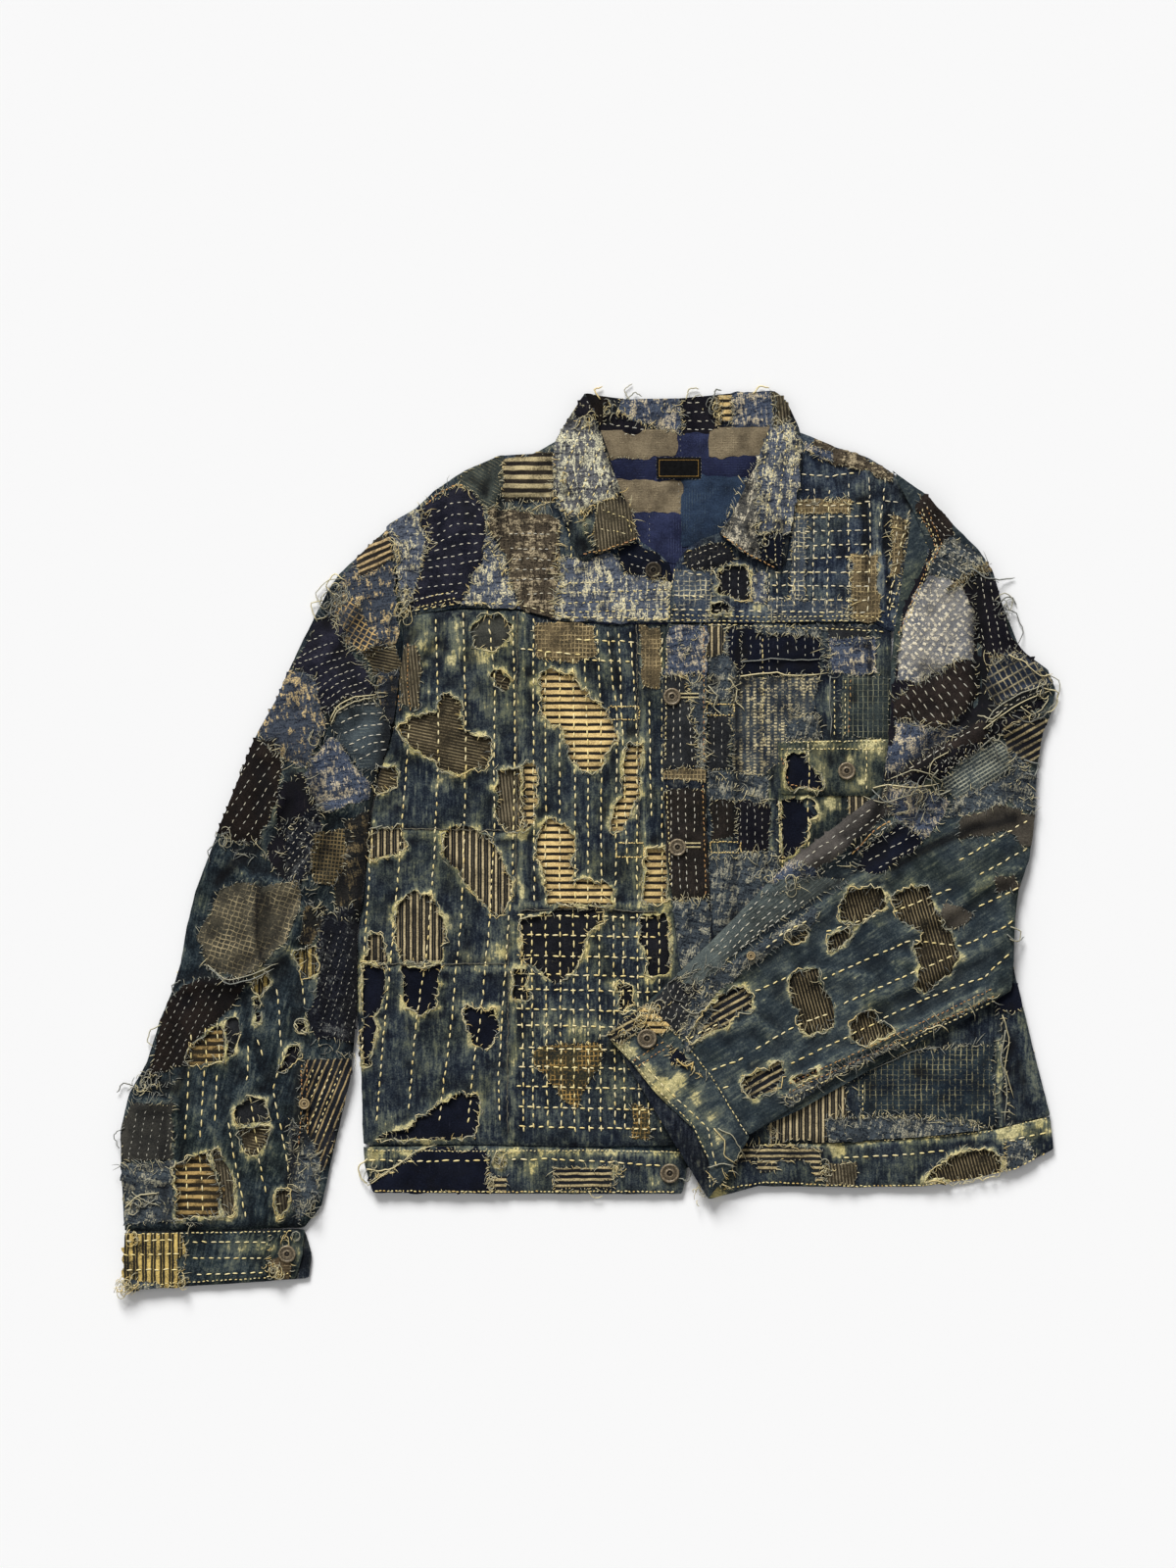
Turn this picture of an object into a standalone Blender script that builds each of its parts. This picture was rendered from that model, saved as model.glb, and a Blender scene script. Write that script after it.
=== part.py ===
"""A patched boro denim jacket, laid flat on its back with the left sleeve folded over the front.

Tables are in millimetres: +X to the wearer's left, +Y to the collar, +Z up, floor at Z = 0.
Each cloth piece is a shell on a grid of points. A grid runs through the sections of a table,
and each shell rests on the pieces named as lying under it.
"""

import math
from collections import namedtuple

import bpy
from mathutils import Vector
from mathutils.bvhtree import BVHTree

MM = 0.001
GAP = 0.3  # between pieces that are sewn edge to edge or lie on each other
WALL = 3.0  # patched denim: ground cloth, patches and backing
DOUBLE_WALL = 4.0  # a collar or band, sewn of two cloths
THIN_WALL = 1.2  # lining and label
REACH = 17.0  # how far round a point the cloth below is felt for
WIDE_REACH = 25.0  # the same for pieces on a coarser grid

Section = namedtuple("Section", "ax ay bx by")
Yoke = namedtuple("Yoke", "ax ay bx")
Fold = namedtuple("Fold", "x0 y0 x1 y1 half high")
Look = namedtuple("Look", "red green blue rough metal")

INDIGO = Look(0.045, 0.060, 0.085, 0.9, 0.0)
NAVY = Look(0.018, 0.020, 0.035, 0.9, 0.0)
PALE = Look(0.300, 0.290, 0.260, 0.9, 0.0)
BLACK = Look(0.010, 0.010, 0.010, 0.9, 0.0)
BRASS = Look(0.210, 0.190, 0.160, 0.4, 1.0)

# ---- cutting tables ----------------------------------------------------------------------

# Fronts: a = outer edge (armhole, then side seam), b = front edge, yoke seam down to the hem.
RIGHT_FRONT = [
    Section(-171, 211, 101, 200),
    Section(-173, 162, 101, 160),
    Section(-178, 120, 102, 118),
    Section(-187, 78, 102, 76),
    Section(-197, 30, 102, 30),
    Section(-204, -18, 101, -18),
    Section(-211, -104, 100, -104),
    Section(-211, -180, 97, -180),
    Section(-207, -234, 94, -234),
    Section(-203, -275, 93, -277),
]
LEFT_FRONT = [
    Section(278, 191, 73, 198),
    Section(274, 144, 68, 144),
    Section(278, 104, 67, 95),
    Section(302, 68, 67, 50),
    Section(346, 40, 68, 15),
    Section(360, 0, 70, -18),
    Section(382, -81, 76, -81),
    Section(396, -139, 85, -144),
    Section(410, -196, 94, -208),
    Section(420, -256, 101, -281),
]

# Front yokes: a = neck or shoulder edge, bx = place along the yoke seam, from the armhole in.
RIGHT_YOKE = [
    Yoke(-180, 291, -171),
    Yoke(-158, 306, -147),
    Yoke(-130, 329, -122),
    Yoke(-104, 344, -94),
    Yoke(-63, 355, -54),
    Yoke(-23, 362, -14),
    Yoke(-7, 324, 5),
    Yoke(6, 292, 27),
    Yoke(40, 274, 50),
    Yoke(75, 257, 75),
    Yoke(82, 234, 101),
]
LEFT_YOKE = [
    Yoke(297, 318, 278),
    Yoke(270, 343, 256),
    Yoke(240, 352, 232),
    Yoke(196, 364, 200),
    Yoke(171, 352, 171),
    Yoke(146, 318, 146),
    Yoke(122, 285, 122),
    Yoke(107, 277, 109),
    Yoke(92, 268, 96),
    Yoke(77, 250, 73),
]

# Back yoke, in the same columns, from the right armhole to the left.
BACK_YOKE = [
    Yoke(-180, 291, -171),
    Yoke(-158, 306, -147),
    Yoke(-130, 329, -122),
    Yoke(-104, 344, -94),
    Yoke(-63, 355, -54),
    Yoke(-23, 364, -14),
    Yoke(14, 371, 14),
    Yoke(83, 371, 83),
    Yoke(165, 379, 165),
    Yoke(196, 366, 200),
    Yoke(240, 352, 232),
    Yoke(270, 343, 256),
    Yoke(297, 318, 278),
]

# Hem bands: a = outer end, b = front end; the first row is the seam, the last the edge.
RIGHT_BAND = [Section(-203, -275.5, 93, -277.5), Section(-198, -320, 90, -323)]
LEFT_BAND = [Section(420, -256.5, 101, -281.5), Section(426, -284, 110, -328)]
BACK_BAND = [Section(-202, -275.5, 419, -256.5), Section(-196, -315, 424, -280)]

# Strips and pockets sewn on the left front; a = right end, b = left end.
PLACKET = [
    Section(71, 194, 110, 193),
    Section(70, 144, 110, 144),
    Section(69, 90, 109, 90),
    Section(69, 36, 110, 36),
    Section(72, -18, 112, -18),
    Section(78, -81, 118, -81),
    Section(87, -144, 127, -144),
    Section(96, -208, 136, -208),
    Section(103, -276, 142, -274),
]
POCKET = [
    Section(183, 60, 273, 60),
    Section(182, 15, 274, 15),
    Section(182, -35, 276, -35),
    Section(184, -84, 272, -84),
]
FLAP = [Section(178, 92, 275, 92), Section(179, 68, 275, 68), Section(181, 43, 273, 45)]

# Sleeves, armhole to cuff: a = outer fold, b = inner fold. The armhole comes from the body.
RIGHT_SLEEVE = [
    Section(-222, 250, -200, 12),
    Section(-250, 200, -207, -10),
    Section(-276, 150, -213, -35),
    Section(-303, 104, -214, -62),
    Section(-331, 36, -215, -95),
    Section(-353, -32, -216, -132),
    Section(-369, -90, -217, -170),
    Section(-392, -164, -219, -214),
    Section(-418, -230, -230, -257),
    Section(-429, -284, -242, -297),
    Section(-427, -328, -254, -331),
    Section(-422, -355, -260, -353),
]
LEFT_SLEEVE = [
    Section(313, 315, 281, 115),
    Section(340, 287, 281, 96),
    Section(364, 258, 280, 82),
    Section(380, 225, 278, 72),
    Section(397, 182, 276, 64),
    Section(428, 150, 274, 58),
    Section(416, 98, 270, 53),
    Section(410, 35, 264, 48),
    Section(398, -35, 256, 42),
    Section(388, -112, 242, 26),
    Section(346, -158, 212, 0),
    Section(297, -189, 176, -26),
    Section(243, -219, 126, -76),
    Section(194, -247, 88, -113),
    Section(148, -267, 54, -147),
]
RIGHT_CUFF = [
    Section(-422, -356, -260, -354),
    Section(-426, -382, -262, -379),
    Section(-426, -410, -266, -402),
]
RIGHT_CUFF_UNDER = [
    Section(-422, -356, -260, -354),
    Section(-426, -382, -253, -378),
    Section(-426, -410, -256, -400),
]
LEFT_CUFF = [
    Section(147, -268.5, 53, -148.5),
    Section(129, -298, 34, -160),
    Section(110, -327, 17, -173),
]

# Collar: the part behind the neck, then the leaves: a = roll over the neck, b = free edge.
COLLAR_BACK = [
    Section(2, 407, 12, 372),
    Section(36, 407, 38, 372),
    Section(84, 407, 83, 372),
    Section(126, 409, 128, 376),
    Section(168, 410, 160, 379.5),
]
RIGHT_LEAF = [
    Section(1, 410, -4, 411),
    Section(8, 392, -18, 391),
    Section(15, 368, -32, 362),
    Section(24, 340, -31, 334),
    Section(33, 313, -25, 307),
    Section(41, 292, -15, 282),
    Section(45, 280, -4, 259),
]
LEFT_LEAF = [
    Section(171, 411, 179, 408),
    Section(166, 388, 190, 390),
    Section(160, 366, 196, 372),
    Section(150, 342, 195, 342),
    Section(138, 318, 191, 310),
    Section(128, 297, 184, 278),
    Section(121, 283, 172, 250),
]
LINING = [
    Section(8, 370, 8, 210),
    Section(60, 370, 60, 212),
    Section(112, 371, 112, 212),
    Section(166, 374, 166, 210),
]
LABEL = [Section(64, 352, 64, 333), Section(103, 352, 103, 333)]

# ---- folds: a ridge along a line, with its half width and its height -----------------------

FRONT_FOLDS = [
    Fold(-65, 215, -68, -290, 13, 1.6),
    Fold(45, 215, 45, -290, 13, 1.6),
    Fold(-140, 150, -165, -200, 34, 1.8),
    Fold(-10, 90, 0, -200, 30, 1.3),
    Fold(150, 215, 150, -120, 20, 1.4),
    Fold(262, 200, 258, 70, 17, 2.0),
    Fold(345, -150, 330, -290, 34, 1.8),
    Fold(215, -190, 235, -300, 28, 1.5),
]
YOKE_FOLDS = [
    Fold(-120, 320, -90, 215, 26, 1.4),
    Fold(-40, 330, -30, 215, 24, 1.2),
    Fold(250, 340, 262, 215, 20, 2.0),
    Fold(210, 345, 214, 215, 18, 1.5),
]
RIGHT_SLEEVE_FOLDS = [
    Fold(-215, 215, -262, 70, 30, 2.6),
    Fold(-305, 62, -232, -10, 26, 2.4),
    Fold(-335, -50, -250, -84, 26, 2.2),
    Fold(-340, -140, -350, -325, 34, 2.2),
    Fold(-262, -150, -290, -300, 26, 1.6),
]
LEFT_SLEEVE_FOLDS = [
    Fold(322, 290, 372, 190, 26, 2.4),
    Fold(415, 135, 318, 92, 24, 3.0),
    Fold(380, 30, 240, -62, 30, 2.6),
    Fold(345, -80, 200, -175, 28, 2.4),
    Fold(290, -155, 165, -232, 24, 1.8),
]
COLLAR_ROLL = 4.0  # the leaves rise this much where they roll over the neck edge

# ---- buttons: place, diameter and the piece that each is fixed to --------------------------

Button = namedtuple("Button", "name x y size on")
BUTTONS = [
    Button("button_front_1", 77, 134, 16, "placket_left"),
    Button("button_front_2", 82, -4, 16, "placket_left"),
    Button("button_flap", 237, 66, 16, "pocket_flap"),
    Button("button_hem", 75, -303, 18, "hem_band_right"),
    Button("button_neck", 60, 250, 15, "front_yoke_right"),
    Button("button_cuff_right", -276, -377, 16, "cuff_right_top"),
    Button("button_cuff_left", 54, -179, 18, "cuff_left_top"),
    Button("button_sleeve_right", -260, -239, 10, "sleeve_right_top"),
    Button("button_sleeve_left", 149, -103, 8, "sleeve_left_top"),
]
# Profile of a tack button: share of the radius, height; from the foot to the sunk centre.
BUTTON_PROFILE = [(0.80, 0.0), (1.00, 0.9), (1.00, 1.9), (0.88, 2.8), (0.66, 2.6), (0.50, 1.7)]
BUTTON_SIDES = 16

pieces = {}


def clear_scene():
    for thing in list(bpy.data.objects):
        bpy.data.objects.remove(thing, do_unlink=True)


def material(name, look):
    made = bpy.data.materials.new(name)
    made.use_nodes = True
    shader = made.node_tree.nodes["Principled BSDF"]
    shader.inputs["Base Color"].default_value = (look.red, look.green, look.blue, 1.0)
    shader.inputs["Roughness"].default_value = look.rough
    shader.inputs["Metallic"].default_value = look.metal
    return made


def grid(sections, across, trim=0.0):
    """Points of a piece in rows: one row per section, from its a side to its b side."""
    rows = []
    for section in sections:
        a = Vector((section.ax, section.ay))
        b = Vector((section.bx, section.by))
        inset = (b - a).normalized() * trim
        a, b = a + inset, b - inset
        rows.append([a.lerp(b, step / across) for step in range(across + 1)])
    return rows


def yoke_grid(columns, seam):
    """Grid of a yoke whose lower edge lies along the first row of the panel below it."""
    sections = []
    for column in columns:
        share = (column.bx - seam.ax) / (seam.bx - seam.ax)
        sections.append(Section(column.ax, column.ay, column.bx,
                                seam.ay + share * (seam.by - seam.ay) + GAP))
    return grid(sections, 3)


def fold_height(folds, point):
    """Height that a table of folds adds at a point: each fold is a ridge with faded ends."""
    total = 0.0
    for fold in folds:
        start = Vector((fold.x0, fold.y0))
        run = Vector((fold.x1, fold.y1)) - start
        along = (point - start).dot(run) / run.length_squared
        away = (point - start - run * along).length
        if 0.0 < along < 1.0 and away < fold.half:
            end_fade = min(1.0, 5.0 * along, 5.0 * (1.0 - along))
            total += fold.high * end_fade * 0.5 * (1.0 + math.cos(math.pi * away / fold.half))
    return total


def top_below(point, under, reach):
    """Highest surface of the pieces under a point, felt for on three rings round it."""
    spots = [point]
    for ring in (0.33, 0.66, 1.0):
        for step in range(8):
            turn = math.tau * step / 8
            spots.append(point + Vector((math.cos(turn), math.sin(turn))) * reach * ring)
    highest = 0.0
    for name in under:
        for spot in spots:
            hit = pieces[name].ray_cast(Vector((spot.x, spot.y, 90.0)), Vector((0, 0, -1)))[0]
            if hit is not None:
                highest = max(highest, hit.z)
    return highest


def smooth_up(levels, passes):
    """Soften steps in a grid of levels without lowering any point."""
    for _ in range(passes):
        eased = []
        for i, row in enumerate(levels):
            eased_row = []
            for j, level in enumerate(row):
                near = [levels[m][n] for m, n in ((i - 1, j), (i + 1, j), (i, j - 1), (i, j + 1))
                        if 0 <= m < len(levels) and 0 <= n < len(row)]
                eased_row.append(max(level, (level + sum(near) / len(near)) / 2))
            eased.append(eased_row)
        levels = eased
    return levels


def rest_levels(rows, under=(), folds=(), reach=REACH, passes=0, least=0.0):
    """Underside height of each grid point: what lies below, a gap, and the folds."""
    levels = []
    for row in rows:
        felt = [top_below(p, under, reach) for p in row]
        levels.append([max(least, height + GAP) if height else least for height in felt])
    levels = smooth_up(levels, passes)
    return [[level + fold_height(folds, p) for level, p in zip(line, row)]
            for line, row in zip(levels, rows)]


def add_object(name, points, faces, look, smooth):
    mesh = bpy.data.meshes.new(name)
    mesh.from_pydata([Vector(p) * MM for p in points], [], faces)
    mesh.validate()
    mesh.materials.append(material(name, look))
    if smooth:
        mesh.shade_smooth()
        mesh.set_sharp_from_angle(angle=math.radians(40))
    made = bpy.data.objects.new(name, mesh)
    bpy.context.scene.collection.objects.link(made)
    pieces[name] = BVHTree.FromPolygons([Vector(p) for p in points], faces)
    return made


def shell(name, rows, levels, wall, look):
    """Closed shell on a grid: a top and an underside, a wall apart, and four edge walls."""
    tall, wide = len(rows), len(rows[0])
    points = []
    for rise in (wall, 0.0):
        for row, line in zip(rows, levels):
            points += [(p.x, p.y, level + rise) for p, level in zip(row, line)]
    lower = tall * wide
    faces = []
    for i in range(tall - 1):
        for j in range(wide - 1):
            a, b = i * wide + j, i * wide + j + 1
            c, d = b + wide, a + wide
            faces += [(a, b, c), (a, c, d)]
            faces += [(lower + c, lower + b, lower + a), (lower + d, lower + c, lower + a)]
    rim = [j for j in range(wide)]
    rim += [i * wide + wide - 1 for i in range(1, tall)]
    rim += [(tall - 1) * wide + j for j in range(wide - 2, -1, -1)]
    rim += [i * wide for i in range(tall - 2, 0, -1)]
    for k, a in enumerate(rim):
        b = rim[(k + 1) % len(rim)]
        faces.append((b, a, lower + a, lower + b))
    swept = sum((row[j + 1] - row[j]).cross(after[j] - row[j])
                for row, after in zip(rows, rows[1:]) for j in range(wide - 1))
    if swept < 0:
        faces = [tuple(reversed(face)) for face in faces]
    add_object(name, points, faces, look, True)


def body_side():
    """The back, the lining and the two fronts with their yokes and bands."""
    back_rows = [Section(right.ax, right.ay, left.ax, left.ay)
                 for right, left in zip(RIGHT_FRONT, LEFT_FRONT)]
    back = grid(back_rows, 2)
    yoke = yoke_grid(BACK_YOKE, back_rows[0])
    band = grid(BACK_BAND, 2)
    for name, rows in (("back_panel", back), ("back_yoke", yoke), ("back_hem_band", band)):
        shell(name, rows, rest_levels(rows), WALL, INDIGO)
    lining = grid(LINING, 3)
    shell("neck_lining", lining, rest_levels(lining, ["back_yoke"]), THIN_WALL, NAVY)
    label = grid(LABEL, 1)
    shell("neck_label", label, rest_levels(label, ["neck_lining"]), THIN_WALL, BLACK)

    base = WALL + GAP
    fronts = [  # name, grid, pieces beneath it, folds, softening passes, look
        ("front_right", grid(RIGHT_FRONT, 18), [], FRONT_FOLDS, 0, INDIGO),
        ("front_yoke_right", yoke_grid(RIGHT_YOKE, RIGHT_FRONT[0]), ["neck_lining"],
         YOKE_FOLDS, 1, PALE),
        ("hem_band_right", grid(RIGHT_BAND, 12), [], (), 0, INDIGO),
        ("front_left", grid(LEFT_FRONT, 18), ["front_right", "front_yoke_right"],
         FRONT_FOLDS, 2, INDIGO),
        ("front_yoke_left", yoke_grid(LEFT_YOKE, LEFT_FRONT[0]),
         ["front_yoke_right", "front_right", "neck_lining"], YOKE_FOLDS, 2, PALE),
        ("hem_band_left", grid(LEFT_BAND, 12), [], (), 0, INDIGO),
    ]
    for name, rows, beneath, folds, passes, look in fronts:
        levels = rest_levels(rows, beneath, folds, WIDE_REACH, passes, base)
        shell(name, rows, levels, WALL, look)


def front_details():
    """The button-hole strip, the pocket and its flap, each on what carries it."""
    strip = grid(PLACKET, 3)
    shell("placket_left", strip, rest_levels(strip, ["front_left", "front_right"], reach=12),
          2.0, BLACK)
    bag = grid(POCKET, 5)
    shell("chest_pocket", bag, rest_levels(bag, ["front_left"], reach=14, passes=1), 2.0, INDIGO)
    flap = grid(FLAP, 6)
    shell("pocket_flap", flap, rest_levels(flap, ["front_left", "chest_pocket"], reach=14, passes=1),
          2.5, INDIGO)


def halved(points):
    """The same run of points with one more half way between each two."""
    finer = [points[0]]
    for here, after in zip(points, points[1:]):
        finer += [(here + after) / 2, after]
    return finer


def more_rows(rows):
    """The same grid with one more row half way between each two."""
    columns = [halved(column) for column in zip(*rows)]
    return [list(row) for row in zip(*columns)]


def sleeve(side, armhole, table, below, folds):
    """Both layers of a sleeve on one grid that starts at the armhole's own points."""
    lengths = [0.0]
    for here, after in zip(armhole, armhole[1:]):
        lengths.append(lengths[-1] + (after - here).length)
    shares = [length / lengths[-1] for length in lengths]
    rows = [armhole]
    for section in table:
        a = Vector((section.ax, section.ay))
        b = Vector((section.bx, section.by))
        rows.append([a.lerp(b, share) for share in shares])
    if below:  # a sleeve that lies on other pieces has a finer grid to drape over them
        rows = more_rows([halved(row) for row in rows])
    levels = rest_levels(rows, below, reach=WIDE_REACH, passes=3 if below else 0)
    shell(f"sleeve_{side}_under", rows, levels, WALL, INDIGO)
    over = [[level + WALL + GAP + fold_height(folds, p) for level, p in zip(line, row)]
            for line, row in zip(levels, rows)]
    shell(f"sleeve_{side}_top", rows, over, WALL, INDIGO)


def armhole_points(yoke, front, rows_used, away):
    """The armhole edge from the shoulder down, moved clear of the body by the seam gap."""
    edge = yoke_grid(yoke[:1], front[0])[0]
    edge += [Vector((section.ax, section.ay)) for section in front[1:rows_used]]
    return [p + Vector((away, 0)) for p in edge]


def sleeves():
    right_edge = armhole_points(RIGHT_YOKE, RIGHT_FRONT, 5, -2 * GAP)
    sleeve("right", right_edge, RIGHT_SLEEVE, (), RIGHT_SLEEVE_FOLDS)
    body = ["back_panel", "back_yoke", "front_left", "front_yoke_left", "front_right",
            "placket_left", "chest_pocket", "pocket_flap"]
    left_edge = armhole_points(LEFT_YOKE, LEFT_FRONT, 3, 2 * GAP)
    sleeve("left", left_edge, LEFT_SLEEVE, body, LEFT_SLEEVE_FOLDS)


def cuffs():
    under = grid(RIGHT_CUFF_UNDER, 6)
    shell("cuff_right_under", under, rest_levels(under), WALL, INDIGO)
    over = grid(RIGHT_CUFF, 8)
    shell("cuff_right_top", over, rest_levels(over, ["cuff_right_under"]), WALL, INDIGO)
    below = ["front_right", "front_left", "placket_left", "hem_band_right", "hem_band_left"]
    rows = more_rows(grid(LEFT_CUFF, 8))
    levels = rest_levels(rows, below, reach=WIDE_REACH, passes=2)
    shell("cuff_left_under", rows, levels, WALL, INDIGO)
    levels = [[level + WALL + GAP for level in line] for line in levels]
    shell("cuff_left_top", rows, levels, WALL, INDIGO)


def collar():
    behind = grid(COLLAR_BACK, 2)
    shell("collar_back", behind, rest_levels(behind), DOUBLE_WALL, NAVY)
    below = ["back_yoke", "neck_lining", "front_yoke_right", "front_yoke_left", "collar_back"]
    for name, table in (("collar_leaf_right", RIGHT_LEAF), ("collar_leaf_left", LEFT_LEAF)):
        rows = grid(table, 4)
        levels = rest_levels(rows, below, reach=14, passes=2)
        rolls = [0.0, 1.0, 0.6, 0.2, 0.0]  # share of the roll at each point of a section
        levels = [[level + COLLAR_ROLL * roll for level, roll in zip(line, rolls)]
                  for line in levels]
        shell(name, rows, levels, WALL, PALE)


def button(spec):
    """A turned tack button with a raised rim, seated on its piece."""
    radius = spec.size / 2
    foot = top_below(Vector((spec.x, spec.y)), [spec.on], radius) + GAP
    rings = [(0.0, 0.0)] + BUTTON_PROFILE + [(0.0, 1.5)]
    points = [(spec.x, spec.y, foot)]
    for share, height in rings[1:-1]:
        for step in range(BUTTON_SIDES):
            turn = math.tau * step / BUTTON_SIDES
            points.append((spec.x + radius * share * math.cos(turn),
                           spec.y + radius * share * math.sin(turn), foot + height))
    points.append((spec.x, spec.y, foot + rings[-1][1]))
    faces = []
    count = len(rings) - 2
    for step in range(BUTTON_SIDES):
        after = (step + 1) % BUTTON_SIDES
        faces.append((0, 1 + after, 1 + step))
        for ring in range(count - 1):
            low, high = 1 + ring * BUTTON_SIDES, 1 + (ring + 1) * BUTTON_SIDES
            faces.append((low + step, low + after, high + after, high + step))
        top = 1 + (count - 1) * BUTTON_SIDES
        faces.append((top + step, top + after, len(points) - 1))
    add_object(spec.name, points, faces, BRASS, True)


clear_scene()
body_side()
front_details()
sleeves()
cuffs()
collar()
for row in BUTTONS:
    button(row)
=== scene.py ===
import math

import bpy
import numpy as np
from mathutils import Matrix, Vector
from mathutils.bvhtree import BVHTree


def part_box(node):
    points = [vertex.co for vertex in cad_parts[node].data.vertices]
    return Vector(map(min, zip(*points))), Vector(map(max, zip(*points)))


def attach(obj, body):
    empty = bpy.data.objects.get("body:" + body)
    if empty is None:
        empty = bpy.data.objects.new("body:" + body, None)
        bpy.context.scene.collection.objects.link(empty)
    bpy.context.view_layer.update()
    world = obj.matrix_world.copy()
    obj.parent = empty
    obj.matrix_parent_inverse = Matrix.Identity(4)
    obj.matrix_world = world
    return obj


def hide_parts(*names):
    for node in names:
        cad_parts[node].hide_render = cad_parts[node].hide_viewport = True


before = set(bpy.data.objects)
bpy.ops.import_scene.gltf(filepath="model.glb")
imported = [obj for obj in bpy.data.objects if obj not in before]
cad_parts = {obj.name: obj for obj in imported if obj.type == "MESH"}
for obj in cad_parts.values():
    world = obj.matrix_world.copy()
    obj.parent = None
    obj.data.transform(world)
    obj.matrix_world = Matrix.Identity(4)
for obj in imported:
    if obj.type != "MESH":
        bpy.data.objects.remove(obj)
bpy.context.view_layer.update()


# ==== The surface, the light and the camera ================================================
# The jacket lies face up on a pale matt table. Soft even light falls from beyond the collar, a
# weaker light from the wearer's right, and the camera looks straight down with a long lens.

def colour(red, green, blue):
    """A paint colour from its everyday 0-255 values, as linear light."""
    shares = [channel / 255 for channel in (red, green, blue)]
    return tuple(s / 12.92 if s < 0.04045 else ((s + 0.055) / 1.055) ** 2.4 for s in shares) + (1.0,)


bpy.ops.object.select_all(action="DESELECT")
bpy.ops.mesh.primitive_plane_add(size=30.0, location=(0, 0, -0.0004))
table = bpy.context.object
table.name = "table"
table_paint = bpy.data.materials.new("table_paint")
table_paint.use_nodes = True
table_shader = table_paint.node_tree.nodes["Principled BSDF"]
table_shader.inputs["Base Color"].default_value = colour(250, 250, 250)
table_shader.inputs["Roughness"].default_value = 1.0
table_shader.inputs["Specular IOR Level"].default_value = 0.0
table.data.materials.append(table_paint)

LAMPS = [  # name, shines from, softness in degrees, strength
    ("key_lamp", (-0.42, 1.5, 0.95), 24.0, 3.92),
    ("fill_lamp", (-1.2, -0.5, 1.4), 60.0, 0.26),
]
for name, place, soft, strength in LAMPS:
    bpy.ops.object.light_add(type="SUN", location=place)
    lamp = bpy.context.object
    lamp.name = name
    lamp.data.angle = math.radians(soft)
    lamp.data.energy = strength
    lamp.rotation_euler = Vector(place).to_track_quat("Z", "Y").to_euler()

sky = bpy.data.worlds.new("studio")
sky.use_nodes = True
sky.node_tree.nodes["Background"].inputs["Color"].default_value = colour(255, 255, 255)
sky.node_tree.nodes["Background"].inputs["Strength"].default_value = 0.28
bpy.context.scene.world = sky
bpy.context.scene.view_settings.view_transform = "Standard"

FRAME_LONG_SIDE = 1.44  # length of table seen down the picture
CAMERA_HEIGHT = 5.0
bpy.ops.object.camera_add(location=(0.0, 0.054, CAMERA_HEIGHT), rotation=(0, 0, 0))
camera = bpy.context.object
camera.data.sensor_width = 36.0
camera.data.lens = 36.0 * CAMERA_HEIGHT / FRAME_LONG_SIDE
camera.data.clip_end = 60.0
bpy.context.scene.camera = camera


# ==== The back ==============================================================================
# Back panel, back yoke and back hem band: indigo denim of a heavy twill, worn and washed out,
# three flat pieces that rest on the table with the backing cloth sewn to them.

MM = 0.001
THREAD_CELL = 3.0  # size of a mesh cell on cloth that shows from above, in millimetres


def scatter(seed):
    return np.random.RandomState(seed)


def rumple(x, y, size, seed):
    """Soft uneven relief between -1 and 1, with humps about `size` millimetres apart."""
    lattice = scatter(seed).uniform(-1, 1, (64, 64))
    u, v = np.asarray(x) / size + 512.3, np.asarray(y) / size + 512.7
    i, j = np.floor(u).astype(int), np.floor(v).astype(int)
    s, t = u - i, v - j
    s, t = s * s * (3 - 2 * s), t * t * (3 - 2 * t)
    i0, i1, j0, j1 = i % 64, (i + 1) % 64, j % 64, (j + 1) % 64
    low = lattice[i0, j0] * (1 - s) + lattice[i1, j0] * s
    high = lattice[i0, j1] * (1 - s) + lattice[i1, j1] * s
    return low * (1 - t) + high * t


def along_path(points, spacing, closed=False):
    """Points at an even spacing along a run of straight lines."""
    run = np.array(points, float)
    if closed:
        run = np.vstack([run, run[:1]])
    steps = np.hypot(*np.diff(run, axis=0).T)
    reach = np.concatenate([[0], np.cumsum(steps)])
    count = max(2, int(round(reach[-1] / spacing)) + 1)
    at = np.linspace(0, reach[-1], count)
    even = np.column_stack([np.interp(at, reach, run[:, 0]), np.interp(at, reach, run[:, 1])])
    return even[:-1] if closed else even


def normals_of(run):
    """Unit normals of a closed outline, to the right of its direction."""
    step = np.roll(run, -1, axis=0) - np.roll(run, 1, axis=0)
    step /= np.maximum(np.hypot(*step.T), 1e-9)[:, None]
    return np.column_stack([step[:, 1], -step[:, 0]])


def area_of(run):
    after = np.roll(run, -1, axis=0)
    return 0.5 * np.sum(run[:, 0] * after[:, 1] - after[:, 0] * run[:, 1])


def turned(angle):
    """The matrix that turns rows of places by an angle."""
    return np.array([[math.cos(angle), math.sin(angle)], [-math.sin(angle), math.cos(angle)]])


def torn(points, rag, seed):
    """A closed outline with a ragged edge, turning anticlockwise."""
    run = along_path(points, 2.5, closed=True)
    if area_of(run) < 0:
        run = run[::-1]
    push = rag * (0.7 * rumple(run[:, 0], run[:, 1], 9.0, seed)
                  + 0.8 * rumple(run[:, 0], run[:, 1], 4.4, seed + 1))
    return run + normals_of(run) * push[:, None]


def neighbours(field, **edge):
    """The four neighbours of every place of a grid."""
    padded = np.pad(field, 1, **edge)
    return np.stack([padded[:-2, 1:-1], padded[2:, 1:-1], padded[1:-1, :-2], padded[1:-1, 2:]])


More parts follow.
